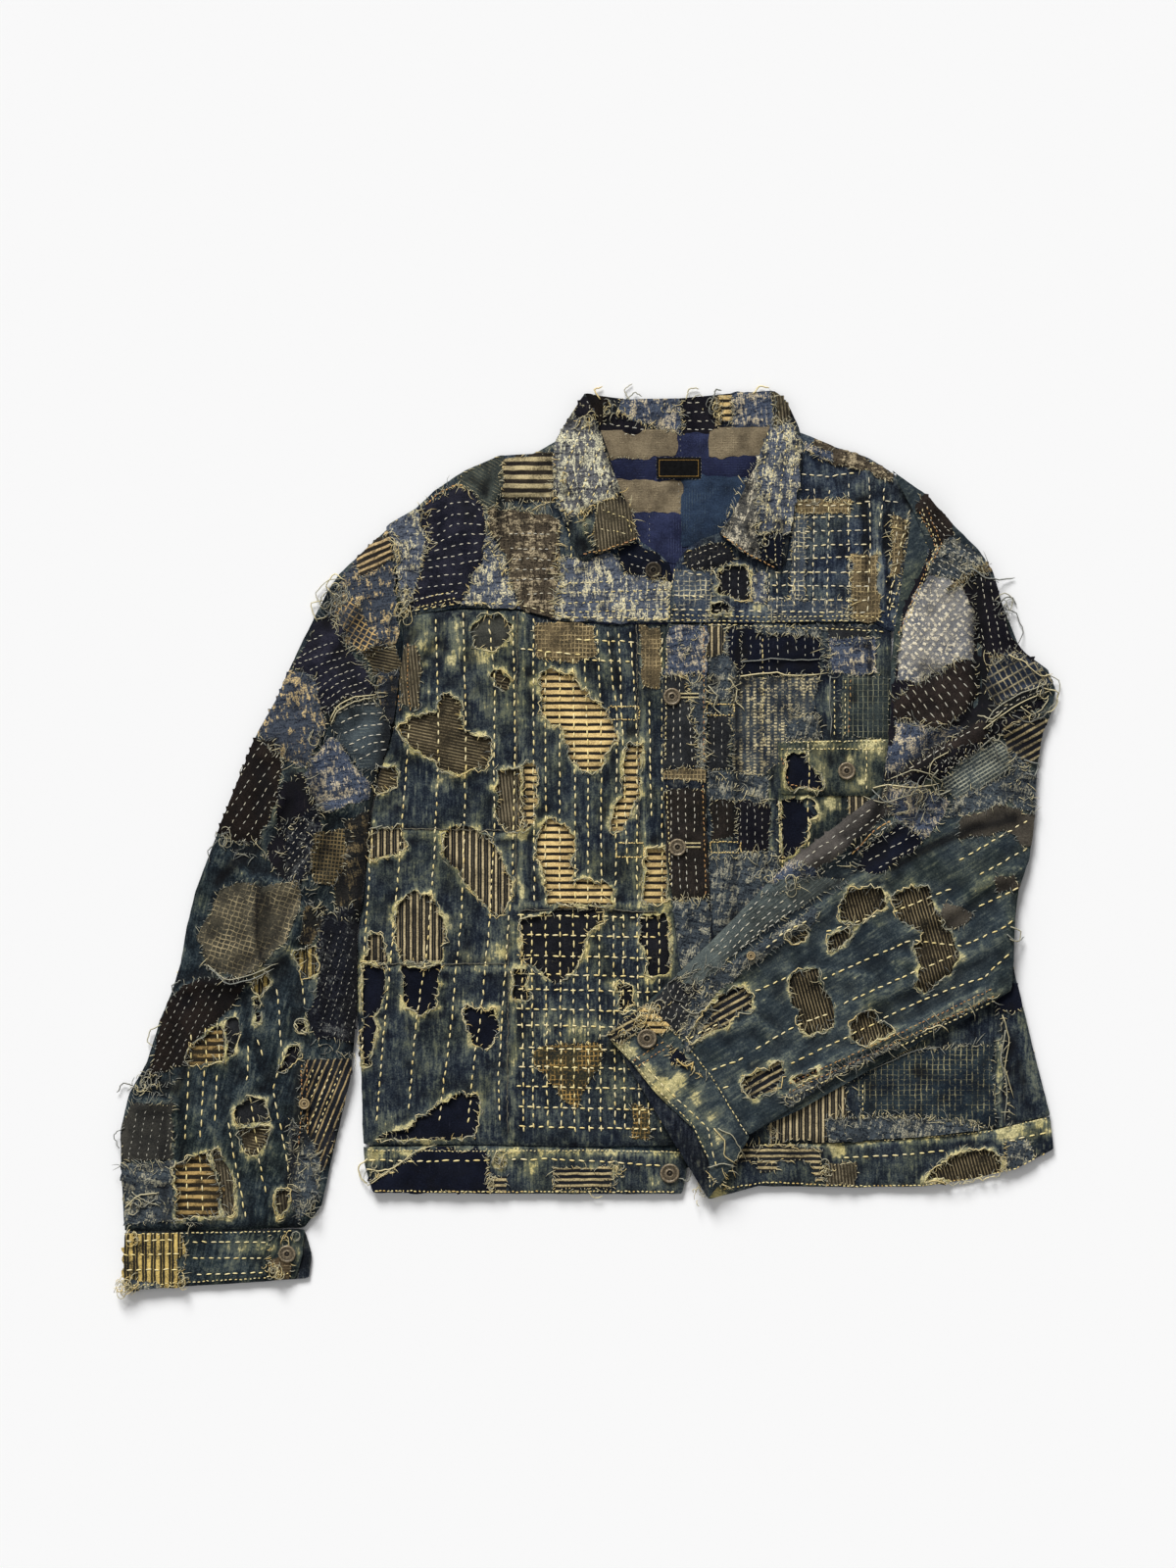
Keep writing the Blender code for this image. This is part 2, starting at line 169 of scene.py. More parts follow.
def inside(x, y, outline):
    """Which points lie inside an outline."""
    found = np.zeros(x.shape, bool)
    near = ((x > outline[:, 0].min()) & (x < outline[:, 0].max())
            & (y > outline[:, 1].min()) & (y < outline[:, 1].max()))
    px, py = x[near], y[near]
    hit = np.zeros(px.shape, bool)
    for (x0, y0), (x1, y1) in zip(outline, np.roll(outline, -1, axis=0)):
        if y0 != y1:
            crosses = (y0 > py) != (y1 > py)
            hit ^= crosses & (px < (x1 - x0) * (py - y0) / (y1 - y0) + x0)
    found[near] = hit
    return found


def nearest_on(x, y, run, closed=True):
    """Distance to a run of straight lines and the nearest point on it, for each point."""
    best = np.full(x.shape, 1e9)
    nx, ny = np.zeros(x.shape), np.zeros(x.shape)
    ends = np.roll(run, -1, axis=0) if closed else run[1:]
    for (x0, y0), (x1, y1) in zip(run, ends):
        dx, dy = x1 - x0, y1 - y0
        share = np.clip(((x - x0) * dx + (y - y0) * dy) / max(dx * dx + dy * dy, 1e-9), 0, 1)
        cx, cy = x0 + share * dx, y0 + share * dy
        away = np.hypot(x - cx, y - cy)
        closer = away < best
        best = np.where(closer, away, best)
        nx, ny = np.where(closer, cx, nx), np.where(closer, cy, ny)
    return best, nx, ny


class Lay:
    """How one cloth lies: heights on an even grid, in millimetres, read from its solid."""

    MARGIN = 30.0  # how far the grid goes past the solid
    COARSE = 6.0  # step of the places where the solid is read

    def __init__(self, node, step=THREAD_CELL):
        low, high = (np.array(corner[:2]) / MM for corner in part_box(node))
        low, high = low - self.MARGIN, high + self.MARGIN
        self.step = step
        self.rim, self.hollow_shade = 3.6, 0.88  # how far torn edges are bleached, how dark the painted shade in the low places is
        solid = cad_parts[node].data
        tree = BVHTree.FromPolygons([v.co for v in solid.vertices], [p.vertices for p in solid.polygons])
        xs, ys = (np.arange(low[k], high[k] + self.COARSE, self.COARSE) for k in (0, 1))
        found = np.full((len(xs), len(ys)), np.nan)
        for i, x in enumerate(xs):
            for j, y in enumerate(ys):
                hit = tree.ray_cast(Vector((x * MM, y * MM, 0.2)), Vector((0, 0, -1)))[0]
                if hit is not None:
                    found[i, j] = hit.z / MM
        while np.isnan(found).any():  # past its edge, the cloth keeps the nearest height
            near = neighbours(found, constant_values=np.nan)
            known = ~np.isnan(near)
            mean = np.where(known, near, 0).sum(0) / np.maximum(known.sum(0), 1)
            found = np.where(np.isnan(found) & known.any(0), mean, found)
        for _ in range(3):
            found = (neighbours(found, mode="edge").sum(0) + 4 * found) / 8
        self.x, self.y = (np.arange(low[k], high[k] + step, step) for k in (0, 1))
        self.gx, self.gy = np.meshgrid(self.x, self.y, indexing="ij")
        u = np.clip((self.gx - xs[0]) / self.COARSE, 0, len(xs) - 1.001)
        v = np.clip((self.gy - ys[0]) / self.COARSE, 0, len(ys) - 1.001)
        self.skin = self.blend(found, u, v)
        self.top = self.skin.copy()
        # fade holds bleach and wear; the other two fields hold painted shade for the low places, the folds
        # and the window rims
        self.fade, self.painted_shade, self.dirt_and_shade = np.zeros((3, *self.skin.shape))

    @staticmethod
    def blend(field, u, v):
        """A grid's value between its places."""
        i, j = u.astype(int), v.astype(int)
        s, t = u - i, v - j
        return ((field[i, j] * (1 - s) + field[i + 1, j] * s) * (1 - t)
                + (field[i, j + 1] * (1 - s) + field[i + 1, j + 1] * s) * t)

    def at(self, x, y, field="top"):
        """The height of a field, or its wear, at any place."""
        u = np.clip((np.asarray(x) - self.x[0]) / self.step, 0, len(self.x) - 1.001)
        v = np.clip((np.asarray(y) - self.y[0]) / self.step, 0, len(self.y) - 1.001)
        return self.blend(getattr(self, field), u, v)

    def near(self, run, reach):
        """Grid places within reach of a run of points, as a mask."""
        low, high = run.min(0) - reach, run.max(0) + reach
        return ((self.gx > low[0]) & (self.gx < high[0]) & (self.gy > low[1]) & (self.gy < high[1]))

    def beside(self, points, reach):
        """Grid places near an open line: distance to it, side of it (+1 left) and share along it."""
        run = np.array(points, float)
        near = self.near(run, reach)
        x, y = self.gx[near], self.gy[near]
        best, side, along = np.full(x.shape, 1e9), np.ones(x.shape), np.zeros(x.shape)
        start = 0.0
        for (x0, y0), (x1, y1) in zip(run, run[1:]):
            dx, dy = x1 - x0, y1 - y0
            size = math.hypot(dx, dy)
            share = np.clip(((x - x0) * dx + (y - y0) * dy) / size ** 2, 0, 1)
            away = np.hypot(x - x0 - share * dx, y - y0 - share * dy)
            closer = away < best
            best = np.where(closer, away, best)
            side = np.where(closer, np.sign(dx * (y - y0) - dy * (x - x0)), side)
            along = np.where(closer, start + share * size, along)
            start += size
        return near, best, side, along / start

    def pucker(self, *waves):
        """Soft unevenness: height, size of the humps and seed."""
        for height, size, seed in waves:
            self.skin += height * rumple(self.gx, self.gy, size, seed)

    def crease(self, *folds, scale=1.0):
        """Folds: line, height, width on its steep left and its gentle right; faded at the ends."""
        for points, height, steep, gentle in folds:
            near, away, side, share = self.beside(points, 3 * max(steep, gentle))
            width = np.where(side > 0, steep, gentle)
            ends = np.clip(np.minimum(share, 1 - share) * 5, 0, 1)
            self.skin[near] += scale * height * np.exp(-(away / width) ** 2) * ends * ends * (3 - 2 * ends)

    def seam(self, *lines, band=9.0):
        """Felled seams: a groove along each line and a raised, rubbed band on its left."""
        for points in lines:
            near, away, side, share = self.beside(points, 2.5 * band)
            on_band = (side > 0) * np.clip((band - away) / 2.5, 0, 1)
            self.skin[near] += 0.7 * on_band - 0.9 * np.exp(-(away / 1.6) ** 2)
            self.fade[near] = np.maximum(self.fade[near], 0.3 * np.clip(on_band * 1.2, 0, 1))

    def blot(self, *places):
        """Bleached places: centre, size and strength."""
        for x, y, size, strength in places:
            away = np.hypot(self.gx - x, self.gy - y)
            self.fade = np.maximum(self.fade, strength * np.exp(-(away / size) ** 2))

    def paint_fold_shade(self, *lines):
        """Painted shade along the bottom of folds: line and reach."""
        for points, reach in lines:
            near, away = self.beside(points, 2.5 * reach)[:2]
            self.dirt_and_shade[near] = np.maximum(self.dirt_and_shade[near], np.exp(-(away / reach) ** 2))

    def wear_and_shade(self):
        """Rubbed pale on the high places as wear, and painted shade in the low ones and along the painted
        folds.
        """
        soft = self.skin
        for _ in range(10):
            soft = neighbours(soft, mode="edge").sum(0) / 4
        proud = np.clip((self.skin - soft) / 0.7, -1, 1)
        self.fade = self.fade + 0.3 * proud
        # painted shade: the lower a place lies below its surroundings, the darker
        self.painted_shade = np.maximum(np.clip(-proud, 0, 1) * self.hollow_shade, self.dirt_and_shade)


def cut_cloth(name, outline, lay, thick, cell=THREAD_CELL, holes=(), lift=0.0, field="skin",
              painted_shade="painted_shade", within=None, roll=0.0):
    """One cloth: an even grid cut to its outline and holes, laid on its heights, given a wall."""
    low, high = outline.min(0) - cell, outline.max(0) + cell
    wide, tall = high - low
    across, down = max(2, int(math.ceil(wide / cell))), max(2, int(math.ceil(tall / cell)))
    bpy.ops.object.select_all(action="DESELECT")
    bpy.ops.mesh.primitive_grid_add(x_subdivisions=across, y_subdivisions=down, size=1.0)
    piece = bpy.context.object
    piece.name = name
    mesh = piece.data
    mesh.name = name
    co = np.zeros(len(mesh.vertices) * 3)
    mesh.vertices.foreach_get("co", co)
    co = co.reshape(-1, 3)
    x, y = low[0] + (co[:, 0] + 0.5) * wide, low[1] + (co[:, 1] + 0.5) * tall
    corners = np.zeros(len(mesh.loops), int)
    mesh.loops.foreach_get("vertex_index", corners)
    corners = corners.reshape(-1, 4)
    cx, cy = x[corners].mean(1), y[corners].mean(1)
    kept = inside(cx, cy, outline)
    if within is not None:
        kept &= inside(cx, cy, within)
    for hole in holes:
        kept &= ~inside(cx, cy, hole)
    uses_kept, uses_cut = np.zeros(len(x), bool), np.zeros(len(x), bool)
    uses_kept[corners[kept].ravel()] = True
    uses_cut[corners[~kept].ravel()] = True
    edge = np.nonzero(uses_kept & uses_cut)[0]
    best, nx, ny = nearest_on(x[edge], y[edge], outline)
    for hole in [*holes, *([] if within is None else [within])]:
        close = ((x[edge] > hole[:, 0].min() - cell) & (x[edge] < hole[:, 0].max() + cell)
                 & (y[edge] > hole[:, 1].min() - cell) & (y[edge] < hole[:, 1].max() + cell))
        away, hx, hy = nearest_on(x[edge][close], y[edge][close], hole)
        better = away < best[close]
        best[close] = np.where(better, away, best[close])
        nx[close] = np.where(better, hx, nx[close])
        ny[close] = np.where(better, hy, ny[close])
    snap = best < cell
    x[edge[snap]], y[edge[snap]] = nx[snap], ny[snap]
    z = lay.at(x, y, field) + lift
    if roll > 0:  # the last few millimetres bend down to the edge
        away = np.full(len(x), 1e9)
        away[uses_kept] = nearest_on(x[uses_kept], y[uses_kept], outline)[0]
        z -= roll * (1 - np.clip(away / 6.0, 0, 1)) ** 2
    z = np.maximum(z, thick)  # nothing sinks into the table
    mesh.vertices.foreach_set("co", (np.column_stack([x, y, z]) * MM).ravel())
    # fade carries bleach and wear; the second attribute carries painted shade
    for worn, source in (("fade", "fade"), ("painted_shade", painted_shade)):
        values = np.clip(lay.at(x, y, source), -1, 2).astype(np.float32)
        mesh.attributes.new(worn, "FLOAT", "POINT").data.foreach_set("value", values)
    bpy.ops.object.mode_set(mode="EDIT")
    bpy.ops.mesh.select_mode(type="FACE")
    bpy.ops.mesh.select_all(action="DESELECT")
    bpy.ops.object.mode_set(mode="OBJECT")
    mesh.polygons.foreach_set("select", ~kept)
    bpy.ops.object.mode_set(mode="EDIT")
    bpy.ops.mesh.delete(type="FACE")
    bpy.ops.object.mode_set(mode="OBJECT")
    wall = piece.modifiers.new("wall", "SOLIDIFY")
    wall.thickness = thick * MM
    wall.offset = -1.0
    wall.use_rim = True
    bpy.ops.object.modifier_apply(modifier=wall.name)
    bpy.ops.object.shade_smooth_by_angle(angle=math.radians(50))
    return piece


# near-black that both the dirt and the painted shade mix towards
DIRT_AND_SHADE_COLOUR = (0.006, 0.006, 0.007, 1.0)


class Finish:
    """The shader graph of one material, built a node at a time."""

    def __init__(self, name, rough=0.95):
        self.material = bpy.data.materials.new(name)
        self.material.use_nodes = True
        self.tree = self.material.node_tree
        self.shader = self.tree.nodes["Principled BSDF"]
        self.shader.inputs["Roughness"].default_value = rough
        self.shader.inputs["Specular IOR Level"].default_value = 0.12

    def put(self, kind, *inputs, out=0, **settings):
        node = self.tree.nodes.new(kind)
        for key, value in settings.items():
            setattr(node, key, value)
        for socket, value in zip(node.inputs, inputs):
            if isinstance(value, bpy.types.NodeSocket):
                self.tree.links.new(value, socket)
            elif value is not None:
                socket.default_value = value
        return node.outputs[out]

    def place(self, turn=0.0, squeeze=(1.0, 1.0)):
        """Place on the cloth in millimetres, turned so that x runs across the threads."""
        spot = self.put("ShaderNodeTexCoord", out=3)
        scale = (squeeze[0] / MM, squeeze[1] / MM, 1 / MM)
        turned = self.put("ShaderNodeMapping", spot, None, (0, 0, -math.radians(turn)), (1, 1, 1))
        return self.put("ShaderNodeMapping", turned, None, None, scale)

    def maths(self, how, *values):
        return self.put("ShaderNodeMath", *values, operation=how)

    def noise(self, place, size, detail=2.0, rough=0.5):
        return self.put("ShaderNodeTexNoise", place, None, 1.0 / size, detail, rough)

    def ramp(self, value, stops):
        socket = self.put("ShaderNodeValToRGB", value)
        bands = socket.node.color_ramp
        while len(bands.elements) < len(stops):
            bands.elements.new(0.5)
        for band, (position, paint) in zip(bands.elements, stops):
            band.position = position
            band.color = colour(*paint)
        return socket

    def mix(self, share, under, over, how="MIX"):
        return self.put("ShaderNodeMixRGB", share, under, over, blend_type=how)

    def step(self, value, low, high, to_low=0.0, to_high=1.0):
        return self.put("ShaderNodeMapRange", value, low, high, to_low, to_high,
                        interpolation_type="SMOOTHSTEP")

    def attribute(self, name):
        return self.put("ShaderNodeAttribute", out=2, attribute_name=name)

    def soiled_and_shaded(self, paint, dirt_and_shade):
        """Painted shade in the low places, read from the mesh attribute, and dirt here and there all over."""
        spread = self.step(self.noise(self.place(), 26.0, 4.0, 0.65), 0.5, 0.72)
        share = self.maths("MULTIPLY_ADD", spread, dirt_and_shade, self.attribute("painted_shade"))
        return self.mix(self.maths("MINIMUM", share, 0.85), paint, DIRT_AND_SHADE_COLOUR)

    def finish(self, paint, height=None, depth=0.4):
        self.tree.links.new(paint, self.shader.inputs["Base Color"])
        if height is not None:
            bump = self.tree.nodes.new("ShaderNodeBump")
            bump.inputs["Strength"].default_value = 0.8
            bump.inputs["Distance"].default_value = depth * MM
            self.tree.links.new(height, bump.inputs["Height"])
            self.tree.links.new(bump.outputs[0], self.shader.inputs["Normal"])
        return self.material


def denim(name, deep, mid, worn, pale, turn=0.0, dirt_and_shade=0.4):
    """Washed indigo twill: soft clouds, streaks along the warp, bleached where `fade` is high."""
    f = Finish(name)
    place = f.place(turn)
    clouds = f.noise(place, 30.0, 5.0, 0.66)
    blots = f.noise(place, 7.0, 4.0, 0.7)
    streaks = f.noise(f.place(turn, (1 / 2.6, 1 / 22.0)), 1.0, 3.0, 0.6)
    grain = f.noise(place, 1.5, 2.0, 0.7)
    tone = f.maths("MULTIPLY_ADD", clouds, 0.34, f.maths("MULTIPLY", streaks, 0.26))
    tone = f.maths("MULTIPLY_ADD", blots, 0.14, tone)
    tone = f.maths("MULTIPLY_ADD", grain, 0.26, tone)
    fade = f.attribute("fade")
    tone = f.maths("MULTIPLY_ADD", fade, 0.1, tone)
    paint = f.ramp(tone, [(0.4, deep), (0.475, mid), (0.54, worn), (0.63, pale)])
    ragged = f.maths("MULTIPLY_ADD", f.maths("SUBTRACT", blots, 0.5), 1.9, fade)
    ragged = f.maths("MULTIPLY_ADD", f.maths("SUBTRACT", streaks, 0.5), 2.0, ragged)
    bleach = f.ramp(f.maths("MULTIPLY_ADD", blots, 0.5, f.maths("MULTIPLY", grain, 0.5)),
                    [(0.38, (128, 128, 94)), (0.6, (246, 232, 172))])
    paint = f.mix(f.maths("MULTIPLY", f.step(ragged, 0.15, 0.6), 0.55), paint, colour(*pale))
    paint = f.mix(f.maths("MULTIPLY", f.step(ragged, 0.62, 1.05), 0.9), paint, bleach)
    yellowed = f.step(f.noise(place, 55.0, 3.0, 0.6), 0.44, 0.62, 0.0, 0.75)
    paint = f.mix(yellowed, paint, colour(252, 247, 221), "MULTIPLY")
    twill = f.put("ShaderNodeTexWave", place, 1 / 1.1, 0.6, 1.0, 1.0, wave_type="BANDS",
                  bands_direction="DIAGONAL")
    height = f.maths("MULTIPLY_ADD", blots, 1.6, f.maths("ADD", grain, f.maths("MULTIPLY", twill, 0.3)))
    return f.finish(f.soiled_and_shaded(paint, dirt_and_shade), height, 0.7)


DENIM = denim("worn_denim", (17, 23, 35), (37, 45, 56), (69, 78, 82), (120, 125, 108))
DARK_DENIM = denim("dark_denim", (12, 15, 24), (27, 32, 43), (52, 58, 66),
                   (100, 102, 96))


def stripes(f, along, pitch, share, soft=0.14):
    """Even bars across a coordinate: 1 on a bar and 0 between."""
    part = f.maths("FRACT", f.maths("DIVIDE", along, pitch))
    away = f.maths("MULTIPLY", f.maths("ABSOLUTE", f.maths("SUBTRACT", part, 0.5)), 2.0)
    return f.step(away, 1.0 - share - soft, 1.0 - share + soft)


def woven(name, dark, light, line, warp=None, weft=None, crossed=False, turn=0.0, wander=1.0,
          cloud=24.0, wear=0.3, twin=0.0, worn=None, dirt_and_shade=0.4):
    """Hand-woven cotton: a mottled ground and bars one or both ways, partly worn off."""
    f = Finish(name)
    place = f.place(turn)
    grain = f.noise(place, 1.3, 2.0, 0.7)
    tired = f.noise(place, 17.0, 3.0, 0.6)
    ground = f.ramp(f.maths("MULTIPLY_ADD", f.noise(place, cloud, 4.0, 0.6), 0.55,
                            f.maths("MULTIPLY", grain, 0.45)), [(0.4, dark), (0.6, light)])
    parts = f.put("ShaderNodeSeparateXYZ", place)
    lines = None
    for axis, bars in ((0, warp), (1, weft)):
        if bars:
            drift = f.noise(place, 8.0 + 3.0 * axis, 2.0)
            along = f.maths("MULTIPLY_ADD", drift, 2.0 * wander, parts.node.outputs[axis])
            made = stripes(f, along, *bars)
            if twin:  # a finer line between two bars
                finer = stripes(f, f.maths("ADD", along, bars[0] / 2), bars[0], twin, 0.1)
                made = f.maths("MULTIPLY_ADD", finer, 0.7, made)
            lines = made if lines is None else f.maths("MULTIPLY" if crossed else "MAXIMUM", lines, made)
    if crossed:  # a broken check: the crossings and odd slubs between them are light
        lines = f.maths("MAXIMUM", lines, f.step(f.noise(place, 4.2, 3.0, 0.7), 0.53, 0.62))
    hold = f.maths("MULTIPLY_ADD", tired, 0.5, f.maths("MULTIPLY", f.noise(place, 4.0, 3.0, 0.75), 0.5))
    lines = f.maths("MULTIPLY", lines, f.step(hold, wear + 0.02, wear + 0.2))
    thread = f.ramp(f.maths("MULTIPLY_ADD", tired, 0.5, f.maths("MULTIPLY", grain, 0.5)),
                    [(0.36, worn or light), (0.56, line)])
    paint = f.soiled_and_shaded(f.mix(lines, ground, thread), dirt_and_shade)
    return f.finish(paint, f.maths("ADD", lines, grain), 0.6)


FABRICS = {
    "ribbed": woven("ribbed_cotton", (34, 31, 24), (68, 60, 46), (138, 124, 94),
                    warp=(2.8, 0.42), turn=78, wander=0.5, wear=0.34),
    "ribbed_up": woven("ribbed_cotton_up", (40, 36, 28), (72, 66, 52),
                       (132, 120, 96), warp=(3.0, 0.5), turn=6, wander=0.5),
    "bar": woven("barred_cotton", (20, 20, 22), (50, 45, 38), (248, 216, 148),
                 weft=(6.6, 0.58), wander=0.5, wear=0.14, worn=(170, 142, 96)),
    "gold_bar": woven("gold_barred_cotton", (22, 22, 22), (58, 50, 36),
                      (190, 158, 100), weft=(7.2, 0.46), wander=0.9, wear=0.34,
                      worn=(118, 98, 62)),
    "column": woven("column_striped_cotton", (15, 16, 21), (38, 38, 38),
                    (216, 196, 152), warp=(6.0, 0.32), wander=0.4, wear=0.18, twin=0.04,
                    worn=(126, 114, 88)),
    "navy": woven("deep_navy_cotton", (8, 11, 22), (20, 24, 38), (40, 42, 56),
                  warp=(9.0, 0.1), wear=0.5),
    "ink": woven("ink_cotton", (14, 15, 20), (34, 35, 40), (76, 74, 66),
                 warp=(4.0, 0.2), weft=(4.0, 0.2), wear=0.5),
    "gauze": woven("tan_gauze", (62, 56, 44), (122, 106, 78), (184, 162, 118),
                   warp=(3.4, 0.28), weft=(4.0, 0.26), wander=1.6, wear=0.38),
    "amber_gauze": woven("amber_gauze", (26, 33, 36), (74, 68, 46), (204, 164, 94),
                         warp=(3.6, 0.26), weft=(4.4, 0.22), wander=1.8, wear=0.38),
    "bar_thin": woven("thin_barred_cotton", (18, 21, 27), (42, 43, 44), (208, 188, 140),
                      weft=(5.4, 0.42), wander=1.1, wear=0.22),
    "faded": woven("faded_cotton", (44, 52, 58), (82, 92, 96), (128, 136, 130),
                   weft=(3.2, 0.26), wander=1.2, wear=0.44),
    "brown": woven("brown_cotton", (26, 23, 20), (50, 44, 40), (96, 84, 70),
                   warp=(3.4, 0.22), wear=0.5),
}


def rag(name, deep, ground, slub, turn=0.0, share=0.5, dirt_and_shade=0.4):
    """Loose rag weave: slubby pale weft broken up over faded blue, more of it here than there."""
    f = Finish(name)
    place = f.place(turn)
    down = f.noise(f.place(turn, (1 / 2.3, 1 / 9.0)), 1.0, 3.0, 0.62)
    over = f.noise(f.place(turn, (1 / 8.0, 1 / 2.2)), 1.0, 3.0, 0.62)
    patchy = f.noise(place, 15.0, 3.0, 0.6)
    grain = f.noise(place, 1.4, 2.0, 0.75)
    base = f.ramp(f.maths("MULTIPLY_ADD", grain, 0.5, f.maths("MULTIPLY", over, 0.5)),
                  [(0.4, deep), (0.52, ground)])
    slubs = f.maths("MULTIPLY_ADD", patchy, 0.9, f.maths("MULTIPLY_ADD", over, 0.35, down))
    parts = f.put("ShaderNodeSeparateXYZ", place)
    for axis in (0, 1):  # the clumps gather loosely where bars of the old check cross
        beat = f.maths("MULTIPLY", parts.node.outputs[axis], math.tau / 11.0)
        beat = f.maths("MULTIPLY_ADD", over, 5.0, beat)
        slubs = f.maths("MULTIPLY_ADD", f.maths("SINE", beat), 0.04, slubs)
    pale = f.step(slubs, 1.19 - 0.1 * share, 1.29 - 0.1 * share)
    thread = f.ramp(grain, [(0.4, ground), (0.56, slub)])
    height = f.maths("MULTIPLY_ADD", slubs, 2.0, grain)
    return f.finish(f.soiled_and_shaded(f.mix(f.maths("MULTIPLY", pale, 0.9), base, thread), dirt_and_shade), height, 0.9)


def widened(outline, grow):
    return outline + normals_of(outline) * grow


def joined(name, pieces):
    """Several pieces made into one."""
    bpy.ops.object.select_all(action="DESELECT")
    for piece in pieces:
        piece.select_set(True)
    bpy.context.view_layer.objects.active = pieces[0]
    if len(pieces) > 1:
        bpy.ops.object.join()
    pieces[0].name = name
    return pieces[0]


def open_windows(lay, windows, seed):
    """Torn windows in a cloth: its rims lift and bleach, the cloth below them lies lower, and a shadow is
    painted on it just inside each rim.
    """
    lay.flat = lay.skin - 1.8
    lay.pit = np.zeros(lay.skin.shape)
    holes = []
    sunk = np.zeros(lay.skin.shape, bool)
    for k, (fabric, points) in enumerate(windows):
        hole = torn(points, 2.6, seed + 7 * k)
        near = lay.near(hole, 16.0)
        x, y = lay.gx[near], lay.gy[near]
        away = nearest_on(x, y, hole)[0]
        within = inside(x, y, hole)
        patchy = np.clip(0.5 + 1.15 * rumple(x, y, 12.0, seed + k), 0, 1.5)
        rim = np.where(within, 0.8, np.exp(-away / (lay.rim * (0.35 + patchy))) * (0.55 + 0.8 * patchy))
        lay.fade[near] = np.maximum(lay.fade[near], rim)
        lay.skin[near] += 1.5 * np.exp(-(away / 3.2) ** 2) * np.clip(patchy, 0.2, 1.2)
        # painted shadow on the cloth below, darkest just inside the rim
        lay.pit[near] = np.where(within, np.exp(-away / 2.6) * 0.8, lay.pit[near])
        sunk[near] |= within
        holes.append(hole)
    # wear on the high places, painted shade in the low ones
    lay.wear_and_shade()
    lay.top = np.where(sunk, lay.flat, lay.skin)
    return holes


def sew_patches(name, lay, holes, windows, overlays, seed, outline, slits=()):
    """The backing seen through each window and the scraps sewn on top, joined as one piece."""
    made = []
    for k, (hole, (fabric, _)) in enumerate(zip(holes, windows)):
        # each backing takes the painted shadow inside its window's rim
        scrap = cut_cloth(f"{name}_backing_{k}", widened(hole, 4.0), lay, 0.8, 3.3, field="flat",
                          painted_shade="pit", within=outline)
        scrap.data.materials.append(FABRICS[fabric])
        made.append(scrap)
    edges = []
    for k, (fabric, points) in enumerate(overlays):
        edge = torn(points, 2.2, seed + 500 + 7 * k)
        near = lay.near(edge, 6.0)
        x, y = lay.gx[near], lay.gy[near]
        within = inside(x, y, edge)
        away = nearest_on(x, y, edge)[0]
        cover = np.clip(np.where(within, away, 0) / 4.0, 0, 1)
        rise = 0.55 + 0.5 * cover + 0.35 * rumple(x, y, 9.0, seed + k)
        lay.top[near] = np.where(within, lay.top[near] + np.maximum(rise, 0.2), lay.top[near])
        scrap = cut_cloth(f"{name}_scrap_{k}", edge, lay, 0.7, 3.2, field="top", lift=0.15, within=outline)
        scrap.data.materials.append(FABRICS[fabric])
        made.append(scrap)
        edges.append(edge)
    for k, (x, y, size, turn) in enumerate(slits):  # a button-hole: a dark slit between its stitches
        slit = np.array([(-0.5, 0), (-0.4, -0.06), (0.4, -0.06), (0.5, 0), (0.4, 0.06), (-0.4, 0.06)]) * size
        slit = slit @ turned(turn) + (x, y)
        slit = cut_cloth(f"{name}_slit_{k}", slit, lay, 0.6, 1.0, field="top", lift=0.35)
        slit.data.materials.append(FABRICS["navy"])
        made.append(slit)
    return joined(name + "_patches", made), edges


def stitch_rows(lay, runs, length, gap, seed, within=None, wobble=0.35):
    """Places of running stitches: middle, direction and length, lying on the top cloth."""
    random = scatter(seed)
    rows = []
    for run in runs:
        path = along_path(run, 1.0)
        reach = np.concatenate([[0], np.cumsum(np.hypot(*np.diff(path, axis=0).T))])
        at = random.uniform(0, gap)
        while at + length < reach[-1]:
            size = length * random.uniform(0.8, 1.15)
            ends = np.array([[np.interp(s, reach, path[:, 0]), np.interp(s, reach, path[:, 1])]
                             for s in (at, at + size)]) + random.normal(0, wobble, (2, 2))
            rows.append(np.concatenate([ends[0], ends[1]]))
            at += size + gap * random.uniform(0.7, 1.35)
    if not rows:
        return np.zeros((0, 6))
    rows = np.array(rows)
    if within is not None:
        middle = (rows[:, :2] + rows[:, 2:4]) / 2
        rows = rows[inside(middle[:, 0], middle[:, 1], within)]
    z0, z1 = lay.at(rows[:, 0], rows[:, 1]), lay.at(rows[:, 2], rows[:, 3])
    zm = lay.at((rows[:, 0] + rows[:, 2]) / 2, (rows[:, 1] + rows[:, 3]) / 2)
    lift = np.maximum(zm - (z0 + z1) / 2, 0)
    return np.column_stack([rows[:, :2], z0 + lift, rows[:, 2:4], z1 + lift])


def hatch(outline, turn, pitch):
    """Parallel lines a pitch apart across an outline."""
    centre = outline.mean(0)
    reach = np.hypot(*(outline - centre).T).max()
    way = np.array([math.cos(math.radians(turn)), math.sin(math.radians(turn))])
    side = np.array([-way[1], way[0]])
    steps = np.arange(-reach, reach, pitch)
    return [[centre + side * s - way * reach, centre + side * s + way * reach] for s in steps]


bpy.ops.object.select_all(action="DESELECT")
bpy.ops.mesh.primitive_uv_sphere_add(segments=5, ring_count=4, radius=0.5)
one_stitch = bpy.context.object
bpy.ops.object.mode_set(mode="EDIT")
bpy.ops.mesh.select_all(action="SELECT")
bpy.ops.transform.rotate(value=math.pi / 2, orient_axis="Y", center_override=(0, 0, 0))
bpy.ops.mesh.quads_convert_to_tris()
bpy.ops.object.mode_set(mode="OBJECT")
STITCH_POINTS = np.array([v.co for v in one_stitch.data.vertices])
STITCH_FACES = np.array([p.vertices for p in one_stitch.data.polygons])
bpy.data.objects.remove(one_stitch)


